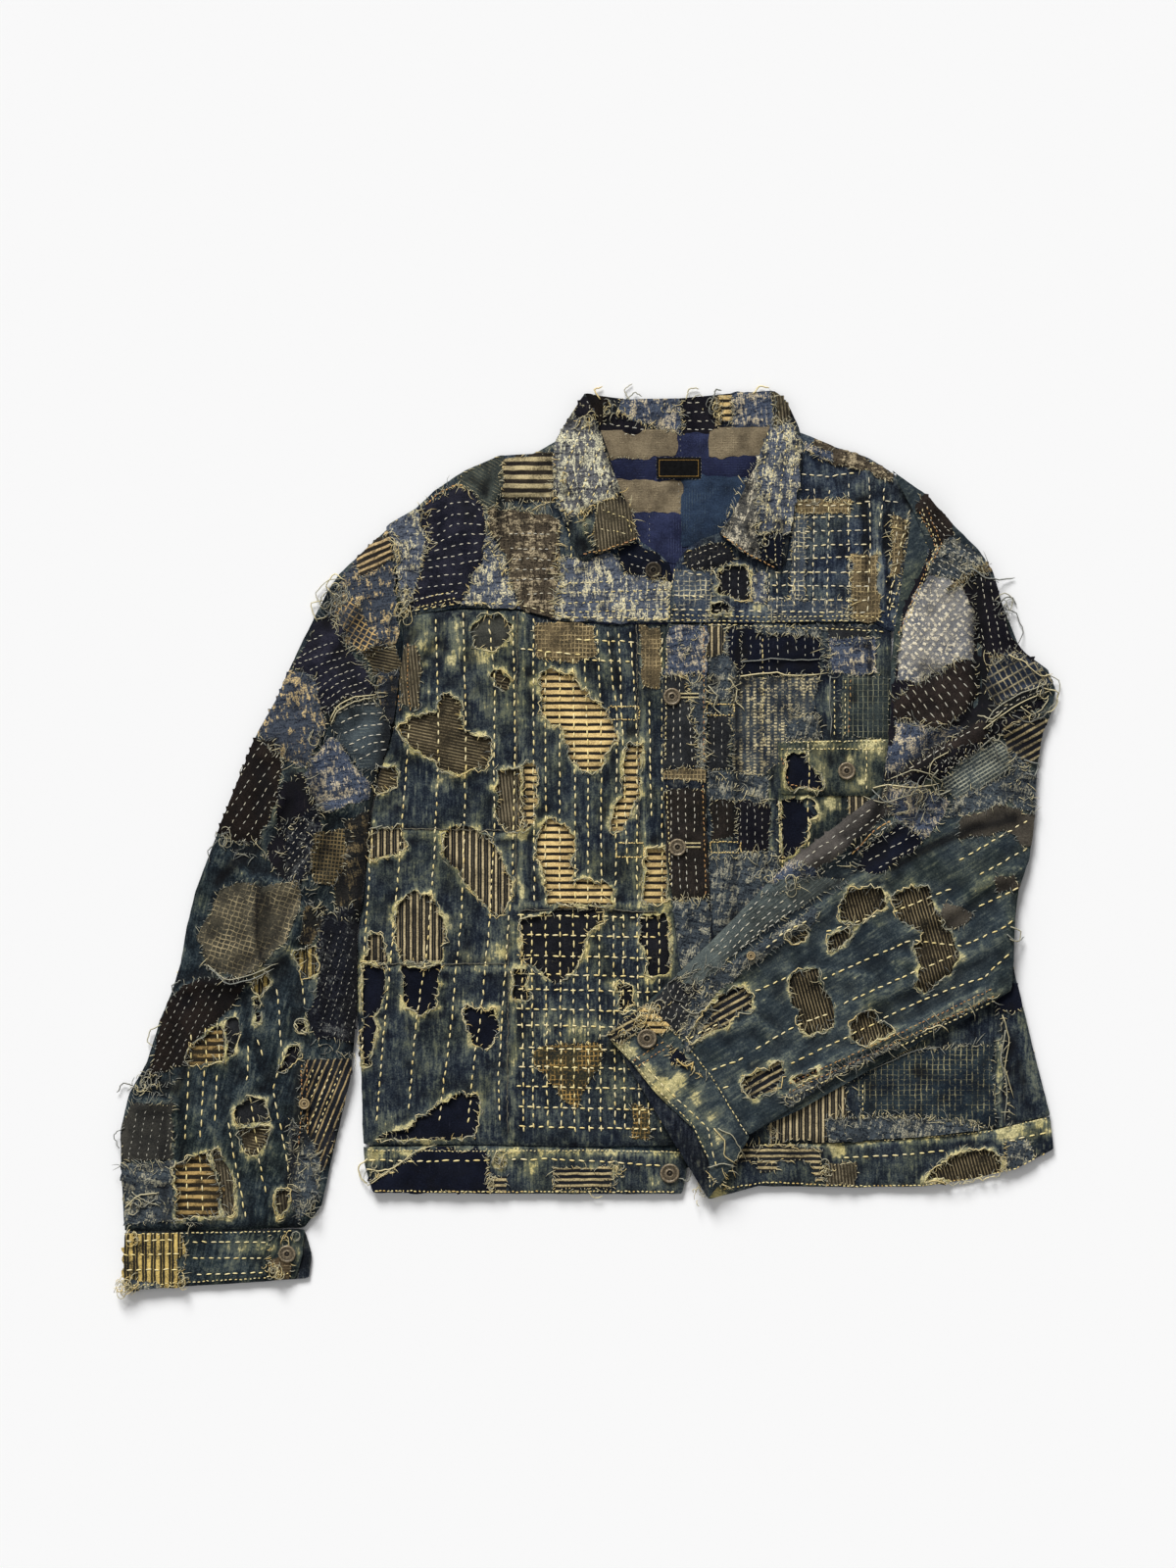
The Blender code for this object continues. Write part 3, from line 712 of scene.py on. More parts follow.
def solid_from(name, points, faces, material, tint=None):
    """A mesh piece from arrays of points in millimetres and triangles or quads."""
    mesh = bpy.data.meshes.new(name)
    mesh.vertices.add(len(points))
    mesh.vertices.foreach_set("co", (points * MM).ravel())
    size = faces.shape[1]
    mesh.loops.add(faces.size)
    mesh.loops.foreach_set("vertex_index", faces.ravel())
    mesh.polygons.add(len(faces))
    mesh.polygons.foreach_set("loop_start", np.arange(0, faces.size, size))
    mesh.update(calc_edges=True)
    mesh.validate()
    mesh.materials.append(material)
    if tint is not None:
        mesh.attributes.new("tint", "FLOAT", "POINT").data.foreach_set("value", tint.astype(np.float32))
    mesh.shade_smooth()
    piece = bpy.data.objects.new(name, mesh)
    bpy.context.scene.collection.objects.link(piece)
    return piece


def thread_stitches(name, rows, tints):
    """One small spindle of thread copied to every stitch of the rows."""
    a, b = rows[:, :3], rows[:, 3:6]
    wide = rows[:, 6] * np.where(tints < 0.3, 0.88, 1.08)  # grey and white threads are the finer ones
    way = b - a
    size = np.linalg.norm(way, axis=1)
    way = way / size[:, None]
    side = np.column_stack([-way[:, 1], way[:, 0], np.zeros(len(way))])
    side /= np.linalg.norm(side, axis=1)[:, None]
    up = np.cross(way, side)
    p = STITCH_POINTS
    points = ((a + b)[:, None] / 2 + p[None, :, 0:1] * (way * size[:, None])[:, None]
              + p[None, :, 1:2] * (wide[:, None] * side)[:, None]
              + (p[None, :, 2:3] * wide[:, None, None] * 0.75 + 0.25) * up[:, None])
    count = len(p)
    faces = STITCH_FACES[None] + (np.arange(len(rows)) * count)[:, None, None]
    return solid_from(name, points.reshape(-1, 3), faces.reshape(-1, 3), THREAD, np.repeat(tints, count))


def fray(lay, outline, way, every, reach, seed, closed=True):
    """Loose yarn ends along a torn edge: each starts in the cloth and curls out over the rim."""
    random = scatter(seed)
    starts = along_path(outline, every, closed=closed)
    normals = normals_of(starts) * (way if way else random.choice([-1, 1], (len(starts), 1)))
    starts = starts + random.normal(0, 0.6, starts.shape) - normals * 1.0
    count = len(starts)
    angle = np.arctan2(normals[:, 1], normals[:, 0]) + random.uniform(-1.2, 1.2, count)
    bend = random.uniform(-1.6, 1.6, count)
    length = reach * (0.3 + 1.1 * random.uniform(0, 1, count) ** 2)
    points = [starts]
    for step in range(3):
        turn = angle + bend * (step + 0.5) / 3
        points.append(points[-1] + np.column_stack([np.cos(turn), np.sin(turn)]) * (length / 3)[:, None])
    flat = np.stack(points, 1)
    z = lay.at(flat[:, :, 0], flat[:, :, 1]) + 0.25
    hump = np.array([0.0, 1.0, 1.1, 0.35]) * random.uniform(0.1, 1.1, count)[:, None]
    z = np.maximum(z, z[:, :1] - 0.6) + hump
    return np.dstack([flat, z])


def bind(lay, outline, spread, seed, closed=True, keep=1.0):
    """Heavier yarns that lie along a torn edge and wander to either side of it."""
    random = scatter(seed)
    path = along_path(outline, 3.2, closed)
    path = np.vstack([path, path[:8]]) if closed else path
    normals = normals_of(path)
    strands = []
    at = 0
    while at + 7 < len(path):
        part = path[at:at + 7] + normals[at:at + 7] * random.normal(0, spread, (7, 1))
        part = part + random.normal(0, 0.5, (7, 2))
        z = lay.at(part[:, 0], part[:, 1]) + random.uniform(0.3, 1.0)
        if random.uniform(0, 1) < keep:
            strands.append(np.column_stack([part, np.maximum(z, z.max() - 0.9)]))
        at += random.randint(4, 7)
    return np.array(strands)


def tuft(lay, x, y, spread, count, seed):
    """A tangle of long yarns pulled out of the cloth, in loose curls about one place."""
    random = scatter(seed)
    centre = np.array([x, y]) + random.normal(0, spread * 0.5, (count, 2))
    turn = random.uniform(0, math.tau, (count, 1))
    turn = turn + np.linspace(0, 1, 9) * random.uniform(-4.5, 4.5, (count, 1))
    reach = random.uniform(0.25, 0.8, (count, 1)) * spread * (1 + 0.4 * np.sin(turn * 1.7))
    px, py = centre[:, :1] + reach * np.cos(turn), centre[:, 1:] + reach * np.sin(turn)
    hump = np.sin(np.linspace(0, math.pi, 9)) * random.uniform(0.5, 3.5, (count, 1))
    return np.dstack([px, py, lay.at(px, py) + 0.4 + hump])


def stray(lay, outline, paths, seed):
    """Long pulled yarns laid along given paths: up on the cloth, and down to the table past its edge."""
    random = scatter(seed)
    strands = []
    for points in paths:
        run = along_path(points, 0.6)
        for _ in range(12):
            run[1:-1] = (run[:-2] + 2 * run[1:-1] + run[2:]) / 4
        run = run[np.linspace(0, len(run) - 1, 12).round().astype(int)] + random.normal(0, 0.35, (12, 2))
        over = inside(run[:, 0], run[:, 1], outline)
        beyond = np.where(over, 0, nearest_on(run[:, 0], run[:, 1], outline)[0])
        z = lay.at(run[:, 0], run[:, 1]) * np.exp(-beyond / 7.0) + 0.9
        strands.append(np.column_stack([run, np.maximum(z, 0.9) + np.abs(random.normal(0, 0.3, 12))]))
    return np.array(strands)


def yarn_mesh(name, bundles, material):
    """Thin three-sided tubes along every strand, tapered to their loose ends."""
    points, faces, tints = [], [], []
    base = 0
    for strands, radius, low_tint, high_tint, seed in bundles:
        if not len(strands):
            continue
        count, rings = strands.shape[:2]
        random = scatter(seed)
        way = np.gradient(strands, axis=1)
        way /= np.maximum(np.linalg.norm(way, axis=2, keepdims=True), 1e-9)
        side = np.dstack([-way[:, :, 1], way[:, :, 0], np.zeros((count, rings))])
        side /= np.maximum(np.linalg.norm(side, axis=2, keepdims=True), 1e-9)
        up = np.cross(way, side)
        thick = radius * random.uniform(0.75, 1.25, (count, 1)) * np.interp(
            np.arange(rings), [0, rings - 2, rings - 1], [1.0, 0.85, 0.35])[None]
        ring = []
        for corner in range(3):
            turn = math.tau * corner / 3 + math.pi / 2
            ring.append(strands + (math.cos(turn) * side + math.sin(turn) * up) * thick[:, :, None])
        tube = np.stack(ring, 2)
        points.append(tube.reshape(-1, 3))
        index = base + np.arange(count * rings * 3).reshape(count, rings, 3)
        a, b = index[:, :-1], np.roll(index, -1, axis=2)[:, :-1]
        c, d = np.roll(index, -1, axis=2)[:, 1:], index[:, 1:]
        faces.append(np.stack([a, b, c], -1).reshape(-1, 3))
        faces.append(np.stack([a, c, d], -1).reshape(-1, 3))
        faces.append(index[:, 0, ::-1].reshape(-1, 3))
        faces.append(index[:, -1].reshape(-1, 3))
        tints.append(np.repeat(random.uniform(low_tint, high_tint, count), rings * 3))
        base += count * rings * 3
    return solid_from(name, np.concatenate(points), np.concatenate(faces), material,
                      np.concatenate(tints))


def thread_finish(name, stops):
    """Cotton thread whose colour varies from one length to the next."""
    f = Finish(name, 0.85)
    grain = f.noise(f.place(), 0.8, 2.0)
    paint = f.ramp(f.attribute("tint"), stops)
    return f.finish(f.mix(0.25, paint, f.ramp(grain, [(0.3, (100, 90, 68)), (0.7, (255, 244, 208))])))


THREAD = thread_finish("sewing_thread", [
    (0.0, (104, 108, 112)), (0.15, (206, 204, 194)), (0.35, (244, 230, 188)),
    (0.6, (255, 234, 158)), (0.8, (216, 174, 84)), (1.0, (170, 98, 42))])
YARN = thread_finish("frayed_yarn", [
    (0.0, (30, 37, 46)), (0.22, (66, 78, 90)), (0.42, (122, 130, 132)),
    (0.62, (182, 176, 148)), (0.82, (240, 224, 172)), (1.0, (232, 198, 112))])
LAID = {}  # how each finished panel lies
GREY, WHITE, CREAM, ORANGE = (0.0, 0.12), (0.12, 0.24), (0.4, 0.68), (0.86, 1.0)


def finish_sheet(node, cloth, extras):
    """Hangs a cloth and the pieces sewn to it on the root body, and hides the solid they replace."""
    for part in [cloth, *extras]:
        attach(part, "root")
    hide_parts(node)


def sew_panel(node, outline, paint, lay, windows=(), scraps=(), rows=(), hatches=(), seed=0,
              thick=1.4, roll=1.5, rag=0.3, fringe=(), tufts=(), yarn=(0.35, 1.0),
              cell=THREAD_CELL, fray_reach=6.0, slits=(), strays=(),
              seams=(), frayed=True):
    """One cut piece with everything sewn to it: windows and their backing, scraps, thread, frays."""
    outline = np.array(outline, float)
    holes = open_windows(lay, windows, seed)
    ragged = torn(outline, rag, seed + 90)
    cloth = cut_cloth(node + "_cloth", ragged, lay, thick, cell, holes=holes, roll=roll)
    cloth.data.materials.append(paint)
    extras, edges = [], []
    if windows or scraps:
        patches, edges = sew_patches(node, lay, holes, windows, scraps, seed, ragged, slits)
        extras.append(patches)
    sewn, tints = [], []
    for k, (lines, tint, length, gap, wide) in enumerate(rows):
        made = stitch_rows(lay, lines, length, gap, seed + 11 * k, outline)
        sewn.append(np.column_stack([made, np.full(len(made), wide)]))
        tints.append(scatter(seed + k).uniform(*tint, len(made)))
    for k, (points, turn, pitch, tint, length, gap, wide) in enumerate(hatches):
        patch = np.array(points, float)
        made = stitch_rows(lay, hatch(patch, turn, pitch), length, gap, seed + 13 * k + 5, patch)
        made = made[inside(made[:, 0], made[:, 1], outline)]
        sewn.append(np.column_stack([made, np.full(len(made), wide)]))
        tints.append(scatter(seed + k + 50).uniform(*tint, len(made)))
    for x, y, size, turn in slits:  # a button-hole is whipped all round with short close stitches
        steps = np.linspace(-0.46, 0.46, 16) * size
        for side in (-1, 1):
            ends = [np.column_stack([steps, np.full(16, side * reach)]) @ turned(turn) + (x, y)
                    for reach in (0.9, 2.6)]
            heights = [lay.at(end[:, 0], end[:, 1]) + 0.9 for end in ends]
            sewn.append(np.column_stack([ends[0], heights[0], ends[1], heights[1], np.full(16, 0.8)]))
            tints.append(np.full(16, 0.5))
    if sewn:
        extras.append(thread_stitches(node + "_stitches", np.concatenate(sewn), np.concatenate(tints)))
    frays, cords = [], []
    for k, hole in enumerate(holes):
        frays.append(fray(lay, hole, -1, 3.0, fray_reach, seed + 300 + k))
        cords.append(bind(lay, widened(hole, 1.0), 1.1, seed + 400 + k, keep=0.75))
    for k, edge in enumerate(edges if frayed else ()):
        loose = fray(lay, edge, 1, 3.6, fray_reach * 0.8, seed + 500 + k)
        frays.append(loose[inside(loose[:, -1, 0], loose[:, -1, 1], ragged)])
    for k, line in enumerate(fringe):
        frays.append(fray(lay, along_path(line, 2.0), 0, 2.3, fray_reach * 1.5, seed + 600 + k, closed=False))
    curls = [tuft(lay, *place, seed + 800 + k) for k, place in enumerate(tufts)]
    pulled = [stray(lay, ragged, strays, seed + 900)] if strays else []
    sunk = [bind(lay, line, 0.12, seed + 950 + k, closed=False) for k, line in enumerate(seams)]
    bundles = [(np.concatenate(made), radius, *tint, seed + 7 + k) for k, (made, radius, tint) in enumerate(
        ((frays, 0.36, yarn), (cords, 0.6, (0.46, 0.96)), (curls, 0.42, yarn), (pulled, 0.72, yarn),
         (sunk, 0.55, (-0.2, 0.02)))) if made]
    if bundles:
        extras.append(yarn_mesh(node + "_frays", bundles, YARN))
    finish_sheet(node, cloth, extras)
    LAID[node] = lay


def plan_outline(node):
    """The outline of a flat piece seen from above, from the upward faces of its solid."""
    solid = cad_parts[node].data
    keys = [(round(v.co.x / MM, 2), round(v.co.y / MM, 2)) for v in solid.vertices]
    used = {}
    for face in solid.polygons:
        if face.normal.z > 0.05:
            ring = [keys[k] for k in face.vertices]
            for a, b in zip(ring, ring[1:] + ring[:1]):
                if a != b:
                    used[a, b] = used.get((a, b), 0) + 1
    onward = {}
    for a, b in used:
        if (b, a) not in used:
            onward.setdefault(a, []).append(b)
    best = []
    while onward:
        here = start = next(iter(onward))
        loop = []
        while here in onward:
            loop.append(here)
            after = onward[here].pop()
            if not onward[here]:
                del onward[here]
            here = after
            if here == start:
                break
        if len(loop) > 2 and abs(area_of(np.array(loop))) > abs(area_of(np.array(best)) if len(best) else 0):
            best = loop
    outline = np.array(best)
    return outline if area_of(outline) > 0 else outline[::-1]


def hidden_sheet(node, paint, lay, thick, cloths, seed, inset=0.6,
                 pitch=38.0, cell=8.0, patch=62.0, outline=None):
    """A piece seen mostly from below: plain above, with scraps and rows sewn to its outer side."""
    if outline is None:
        outline = plan_outline(node)
    outline = widened(along_path(outline, 6.0, closed=True), -inset)
    cloth = cut_cloth(node + "_cloth", outline, lay, thick, cell)
    cloth.data.materials.append(paint)
    random = scatter(seed)
    low, high = outline.min(0), outline.max(0)
    lay.below = np.maximum(lay.skin - thick, 0.45)
    # wear on the high places, painted shade in the low ones
    lay.wear_and_shade()
    extras, made = [], []
    for x in np.arange(low[0] + patch * 0.3, high[0], patch):
        for y in np.arange(low[1] + patch * 0.3, high[1], patch * 0.9):
            wide, tall = random.uniform(0.16, 0.44, 2) * patch
            turn = random.uniform(-0.3, 0.3)
            place = np.array([x, y]) + random.uniform(-0.2, 0.2, 2) * patch
            corners = np.array([(-wide, -tall), (wide, -tall), (wide, tall), (-wide, tall)])
            corners = corners @ turned(turn) + random.uniform(-3, 3, (4, 2)) + place
            edge = along_path(corners, 4.0, closed=True)
            if random.uniform() < 0.8 and inside(edge[:, 0], edge[:, 1], outline).all():
                scrap = cut_cloth(f"{node}_scrap_{len(made)}", edge, lay, 0.6, 5.0, lift=0.15, field="below")
                scrap.data.materials.append(FABRICS[cloths[random.randint(len(cloths))]])
                made.append(scrap)
    if made:
        extras.append(joined(node + "_patches", made))
    lines = [[(low[0] + 3, y), (high[0] - 3, y)] for y in np.arange(low[1] + 7, high[1], pitch)]
    sewn = stitch_rows(lay, lines, 5.5, 4.0, seed, outline)
    for ends in (sewn[:, :3], sewn[:, 3:]):
        ends[:, 2] = lay.at(ends[:, 0], ends[:, 1], "below") - 0.3
    extras.append(thread_stitches(node + "_stitches", np.column_stack([sewn, np.full(len(sewn), 0.9)]),
                                  random.uniform(0.4, 0.68, len(sewn))))
    finish_sheet(node, cloth, extras)


CLOTHS = ["ribbed", "bar", "navy", "ink", "column", "gauze", "brown", "ribbed_up", "navy"]
BACK_DENIM = denim("back_denim", (15, 22, 33), (32, 44, 56), (56, 68, 74), (100, 104, 90))
for node, flat, seed in (("back_panel", (0.64, 0.48), 4400), ("back_yoke", (0.48, 0.21), 4500),
                         ("back_hem_band", (0.63, 0.055), 4600)):
    hidden_sheet(node, BACK_DENIM, Lay(node, 5.0), 2.6, CLOTHS, seed)


# ==== Right front ===========================================================================
# The wearer's right front: worn denim with torn windows, backed with scraps of old striped and
# ribbed cotton, and quilted by hand in long rows of thick cream running stitch.

RIGHT_FRONT = np.array([(-170, 208), (-117, 214), (-64, 213), (-22, 202), (29, 201), (101, 200), (102, 90),
    (100, -104), (93, -277), (0, -279), (-98, -277), (-206, -277), (-207, -256), (-208, -205), (-212, -152),
    (-211, -86), (-202, -15), (-198, 27), (-191, 63), (-178, 104), (-175, 130), (-169, 180)], float)
FABRICS["grey_green"] = woven("grey_green", (46, 48, 46), (82, 82, 74), (100, 98, 86), warp=(2.8, 0.25),
    wear=0.48)
RIGHT_FRONT_WINDOWS = [
    ("ribbed", [(-173, 106), (-163, 116), (-139, 119), (-138, 131), (-127, 138), (-117, 127), (-116, 104),
            (-89, 96), (-87, 81), (-94, 68), (-135, 63), (-140, 76), (-160, 84)]),
    ("grey_green", [(-106, 200), (-98, 208), (-78, 210), (-70, 200), (-74, 186), (-88, 176), (-106, 180)]),
    ("ribbed", [(-89, 154), (-79, 159), (-72, 149), (-75, 139), (-85, 144)]),
    ("ribbed", [(-192, 70), (-177, 70), (-174, 50), (-194, 46)]),
    ("bar", [(-44, 152), (-34, 158), (-14, 154), (-6, 141), (12, 124), (24, 106), (28, 94), (16, 81),
            (9, 68), (-6, 65), (-19, 84), (-23, 104), (-41, 116)]),
    ("bar", [(35, 90), (50, 90), (46, 40), (32, 12), (22, 9), (20, 22), (32, 46)]),
    ("ribbed_up", [(-85, 67), (-63, 70), (-59, 15), (-74, 9), (-83, 25)]),
    ("bar", [(-60, 70), (-49, 72), (-48, 40), (-52, 15), (-60, 10)]),
    ("bar", [(-44, 14), (-33, 22), (-18, 16), (-13, 4), (-15, -33), (20, -39), (22, -58), (-36, -58),
            (-39, -33), (-48, -15)]),
    ("bar", [(54, -5), (72, -5), (72, -56), (52, -56)]),
    ("column", [(-199, 14), (-171, 14), (-167, -4), (-181, -12), (-201, -15)]),
    ("column", [(-131, 6), (-121, 19), (-92, 6), (-78, -15), (-69, -41), (-75, -65), (-90, -65),
            (-115, -33), (-131, -15)]),
    ("column",
        [(-177, -60), (-163, -44), (-144, -50), (-132, -70), (-132, -109), (-171, -109), (-177, -86)]),
    ("navy", [(-170, -113), (-135, -113), (-140, -152), (-155, -157), (-169, -144)]),
    ("column", [(-201, -81), (-187, -86), (-185, -109), (-206, -109)]),
    ("navy", [(-207, -113), (-186, -113), (-185, -134), (-194, -158), (-200, -203), (-207, -205)]),
    ("navy",
        [(-110, -149), (-86, -152), (-81, -163), (-85, -184), (-92, -188), (-107, -182), (-112, -166)]),
    ("navy",
        [(-192, -271), (-163, -258), (-121, -231), (-104, -231), (-98, -239), (-104, -270), (-141, -273)]),
    ("ink", [(-62, -70), (-25, -60), (14, -60), (15, -73), (-2, -81), (-4, -103), (-10, -115), (-31, -131),
            (-36, -123), (-59, -107)]),
    ("ink", [(46, -65), (72, -65), (74, -123), (57, -123), (49, -92)]),
    ("ink", [(-69, -115), (-56, -117), (-55, -142), (-67, -144)]),
    ("ink", [(27, -129), (43, -130), (43, -150), (29, -152)])]
RIGHT_FRONT_SCRAPS = [
    ("ribbed_up", [(-176, 181), (-158, 183), (-152, 153), (-155, 123), (-173, 126)]),
    ("gauze", [(-50, 203), (5, 199), (8, 172), (-14, 163), (-47, 170)]),
    ("gauze", [(48, 198), (66, 198), (66, 140), (50, 144)]),
    ("amber_gauze", [(-50, -190), (-28, -183), (14, -184), (11, -208), (1, -219), (-11, -245), (-22, -236),
            (-49, -204)]),
    ("amber_gauze", [(40, -240), (58, -244), (57, -273), (42, -272)])]
# line of each felled seam, drawn with its raised band on the left
RIGHT_FRONT_SEAMS = [[(-65, 212), (-65, 93), (-66, -29), (-66, -60)], [(-73, -75), (-74, -270)],
    [(-64, 11), (-120, 12), (-207, 14)], [(-74, -111), (-140, -111), (-208, -112)],
    [(45, 200), (46, 60), (49, -60)], [(-62, -62), (0, -61), (76, -64)]]
lay = Lay("front_right")
lay.pucker((0.7, 26.0, 41), (0.35, 9.0, 42))
lay.crease(([(-150, 214), (-146, 190), (-160, 165)], 2.6, 4, 9),
    ([(-122, 214), (-118, 180), (-126, 150)], 2.2, 4, 9),
    ([(12, 196), (18, 160), (30, 120), (34, 60)], 2.0, 3, 8),
    ([(30, 190), (40, 150), (42, 100)], 2.0, 3, 7), ([(-178, 96), (-140, 88), (-120, 60)], 1.8, 5, 10))
lay.seam(*RIGHT_FRONT_SEAMS)
lay.blot((-50, 146, 7, 1.0), (-47, 140, 5, 0.9), (-100, 176, 16, 0.9), (-70, 186, 12, 0.8),
    (-60, -45, 7, 1.1), (60, -40, 8, 1.0), (-80, -100, 12, 1.0), (-92, -106, 8, 1.0), (-110, -104, 8, 0.9),
    (-40, -168, 14, 0.7), (-10, -170, 14, 0.7), (10, -168, 10, 0.7), (-180, -262, 12, 0.7),
    (-200, 20, 9, 0.8), (-133, 56, 10, 0.7), (-142, 178, 7, 1.2), (-126, 170, 7, 1.1), (-160, 170, 5, 1.0),
    (-150, 140, 6, 0.9), (-112, 168, 6, 1.0), (-98, 170, 6, 1.1), (-152, 166, 5, 0.8), (-118, 192, 24, 0.5),
    (-92, 132, 20, 0.45), (-156, 186, 16, 0.5), (-140, 120, 14, 0.5), (-178, 40, 14, 0.4))
RIGHT_FRONT_ROWS = [
    [(-140, 207), (-138, 147), (-137, 69), (-143, -42), (-149, -109), (-157, -158), (-165, -246)],
    [(-115, 213), (-113, 166), (-112, 88), (-113, 30), (-116, -68), (-120, -104), (-125, -162),
        (-132, -215), (-137, -262)], [(-92, 213), (-88, 175), (-86, 157), (-86, 11), (-90, -68),
            (-95, -123), (-99, -166), (-104, -194), (-110, -259)],
    [(-163, 118), (-168, 50), (-174, -29), (-187, -172), (-194, -256)],
    [(-198, 14), (-203, -67), (-207, -123), (-207, -201)],
    [(-69, 211), (-67, 93), (-69, -29), (-73, -74), (-79, -162), (-82, -211), (-81, -259)],
    [(-50, 209), (-50, 60), (-49, -60)], [(-39, 176), (-39, -58)], [(-26, 172), (-26, -58)],
    [(-14, 170), (-12, 60), (-12, -58)], [(-3, 170), (0, 80), (0, -58)], [(8, 196), (12, 120), (12, -58)],
    [(18, 194), (27, 110), (25, -58)], [(28, 194), (31, 120), (36, -20)], [(39, 194), (45, 100), (45, -58)],
    [(56, 130), (58, 20)], [(68, 190), (68, -60)], [(-62, 178), (-5, 172)], [(-12, 187), (44, 184)],
    [(-5, 168), (44, 166)]]
RIGHT_FRONT_ROWS += [[(x, -64), (x + 2, -266)] for x in (-61, -52, -39, -26, -14, -1, 10, 23, 32, 45, 54, 65)]
RIGHT_FRONT_ROWS += [[(-66, y), (66, y - 3)]
                     for y in (-66, -84, -103, -120, -134, -152, -167, -188, -205, -223, -242, -260)]
TACKS = []  # small boxes of close gold thread that hold the pleats down
for x0, x1, y0, y1 in ((19, 47, 113, 125), (26, 51, -13, 0)):
    TACKS += [[(x0, y0), (x1, y0)], [(x1, y0), (x1, y1)], [(x1, y1), (x0, y1)], [(x0, y1), (x0, y0)]]
sew_panel("front_right", RIGHT_FRONT, DENIM, lay, RIGHT_FRONT_WINDOWS, RIGHT_FRONT_SCRAPS,
    [(RIGHT_FRONT_ROWS, CREAM, 5.4, 3.0, 1.6), (TACKS, (0.66, 0.78), 2.0, 0.3, 1.2),
        ([[(-174, 182), (-176, 150), (-172, 118)], [(-165, 184), (-166, 150), (-163, 120)]], ORANGE, 2.6,
            1.4, 0.9)], seed=100, seams=RIGHT_FRONT_SEAMS)


# ==== Right front yoke ======================================================================
# The shoulder piece of the right front: navy quilted in white, brown ribbed cotton and loose
# cream-and-blue rag weave, each with its torn edge left to fray over the next.

FABRICS.update({
    "scramble": rag("rag_weave", (38, 44, 58), (98, 105, 118), (255, 242, 194), 0, 0.72),
    "scramble_blue": rag("blue_rag_weave", (27, 34, 50), (82, 91, 108), (232, 214, 176), 8, 0.5),
    "sashiko": woven("quilted_navy", (18, 19, 30), (44, 44, 56), (56, 54, 62), warp=(5.0, 0.1), wear=0.5,
        cloud=14.0),
    "speckled": rag("speckled_tweed", (34, 30, 26), (88, 78, 64), (204, 186, 150), 90, 0.5, 0.05),
    "brown_rib": woven("brown_rib", (44, 36, 26), (92, 78, 58), (150, 130, 98), weft=(2.6, 0.4), wander=0.5,
        wear=0.4),
    "bar_cream": woven("cream_barred_cotton", (26, 24, 24), (66, 58, 48), (214, 196, 150), weft=(8.2, 0.5),
        wander=0.9, wear=0.22),
    "dark_twill": woven("dark_twill", (30, 36, 38), (74, 80, 74), (132, 128, 104), warp=(3.0, 0.3), turn=60,
        wear=0.42, dirt_and_shade=0.2)})
lay = Lay("front_yoke_right")
lay.pucker((0.8, 24.0, 51), (0.4, 8.0, 52))
lay.crease(([(-121, 330), (-106, 324), (-95, 310), (-92, 284)], 2.4, 4, 8),
    ([(-79, 355), (-80, 331), (-89, 308), (-90, 270)], 2.2, 4, 7),
    ([(-79, 310), (-54, 305), (-32, 308)], 1.6, 4, 6))
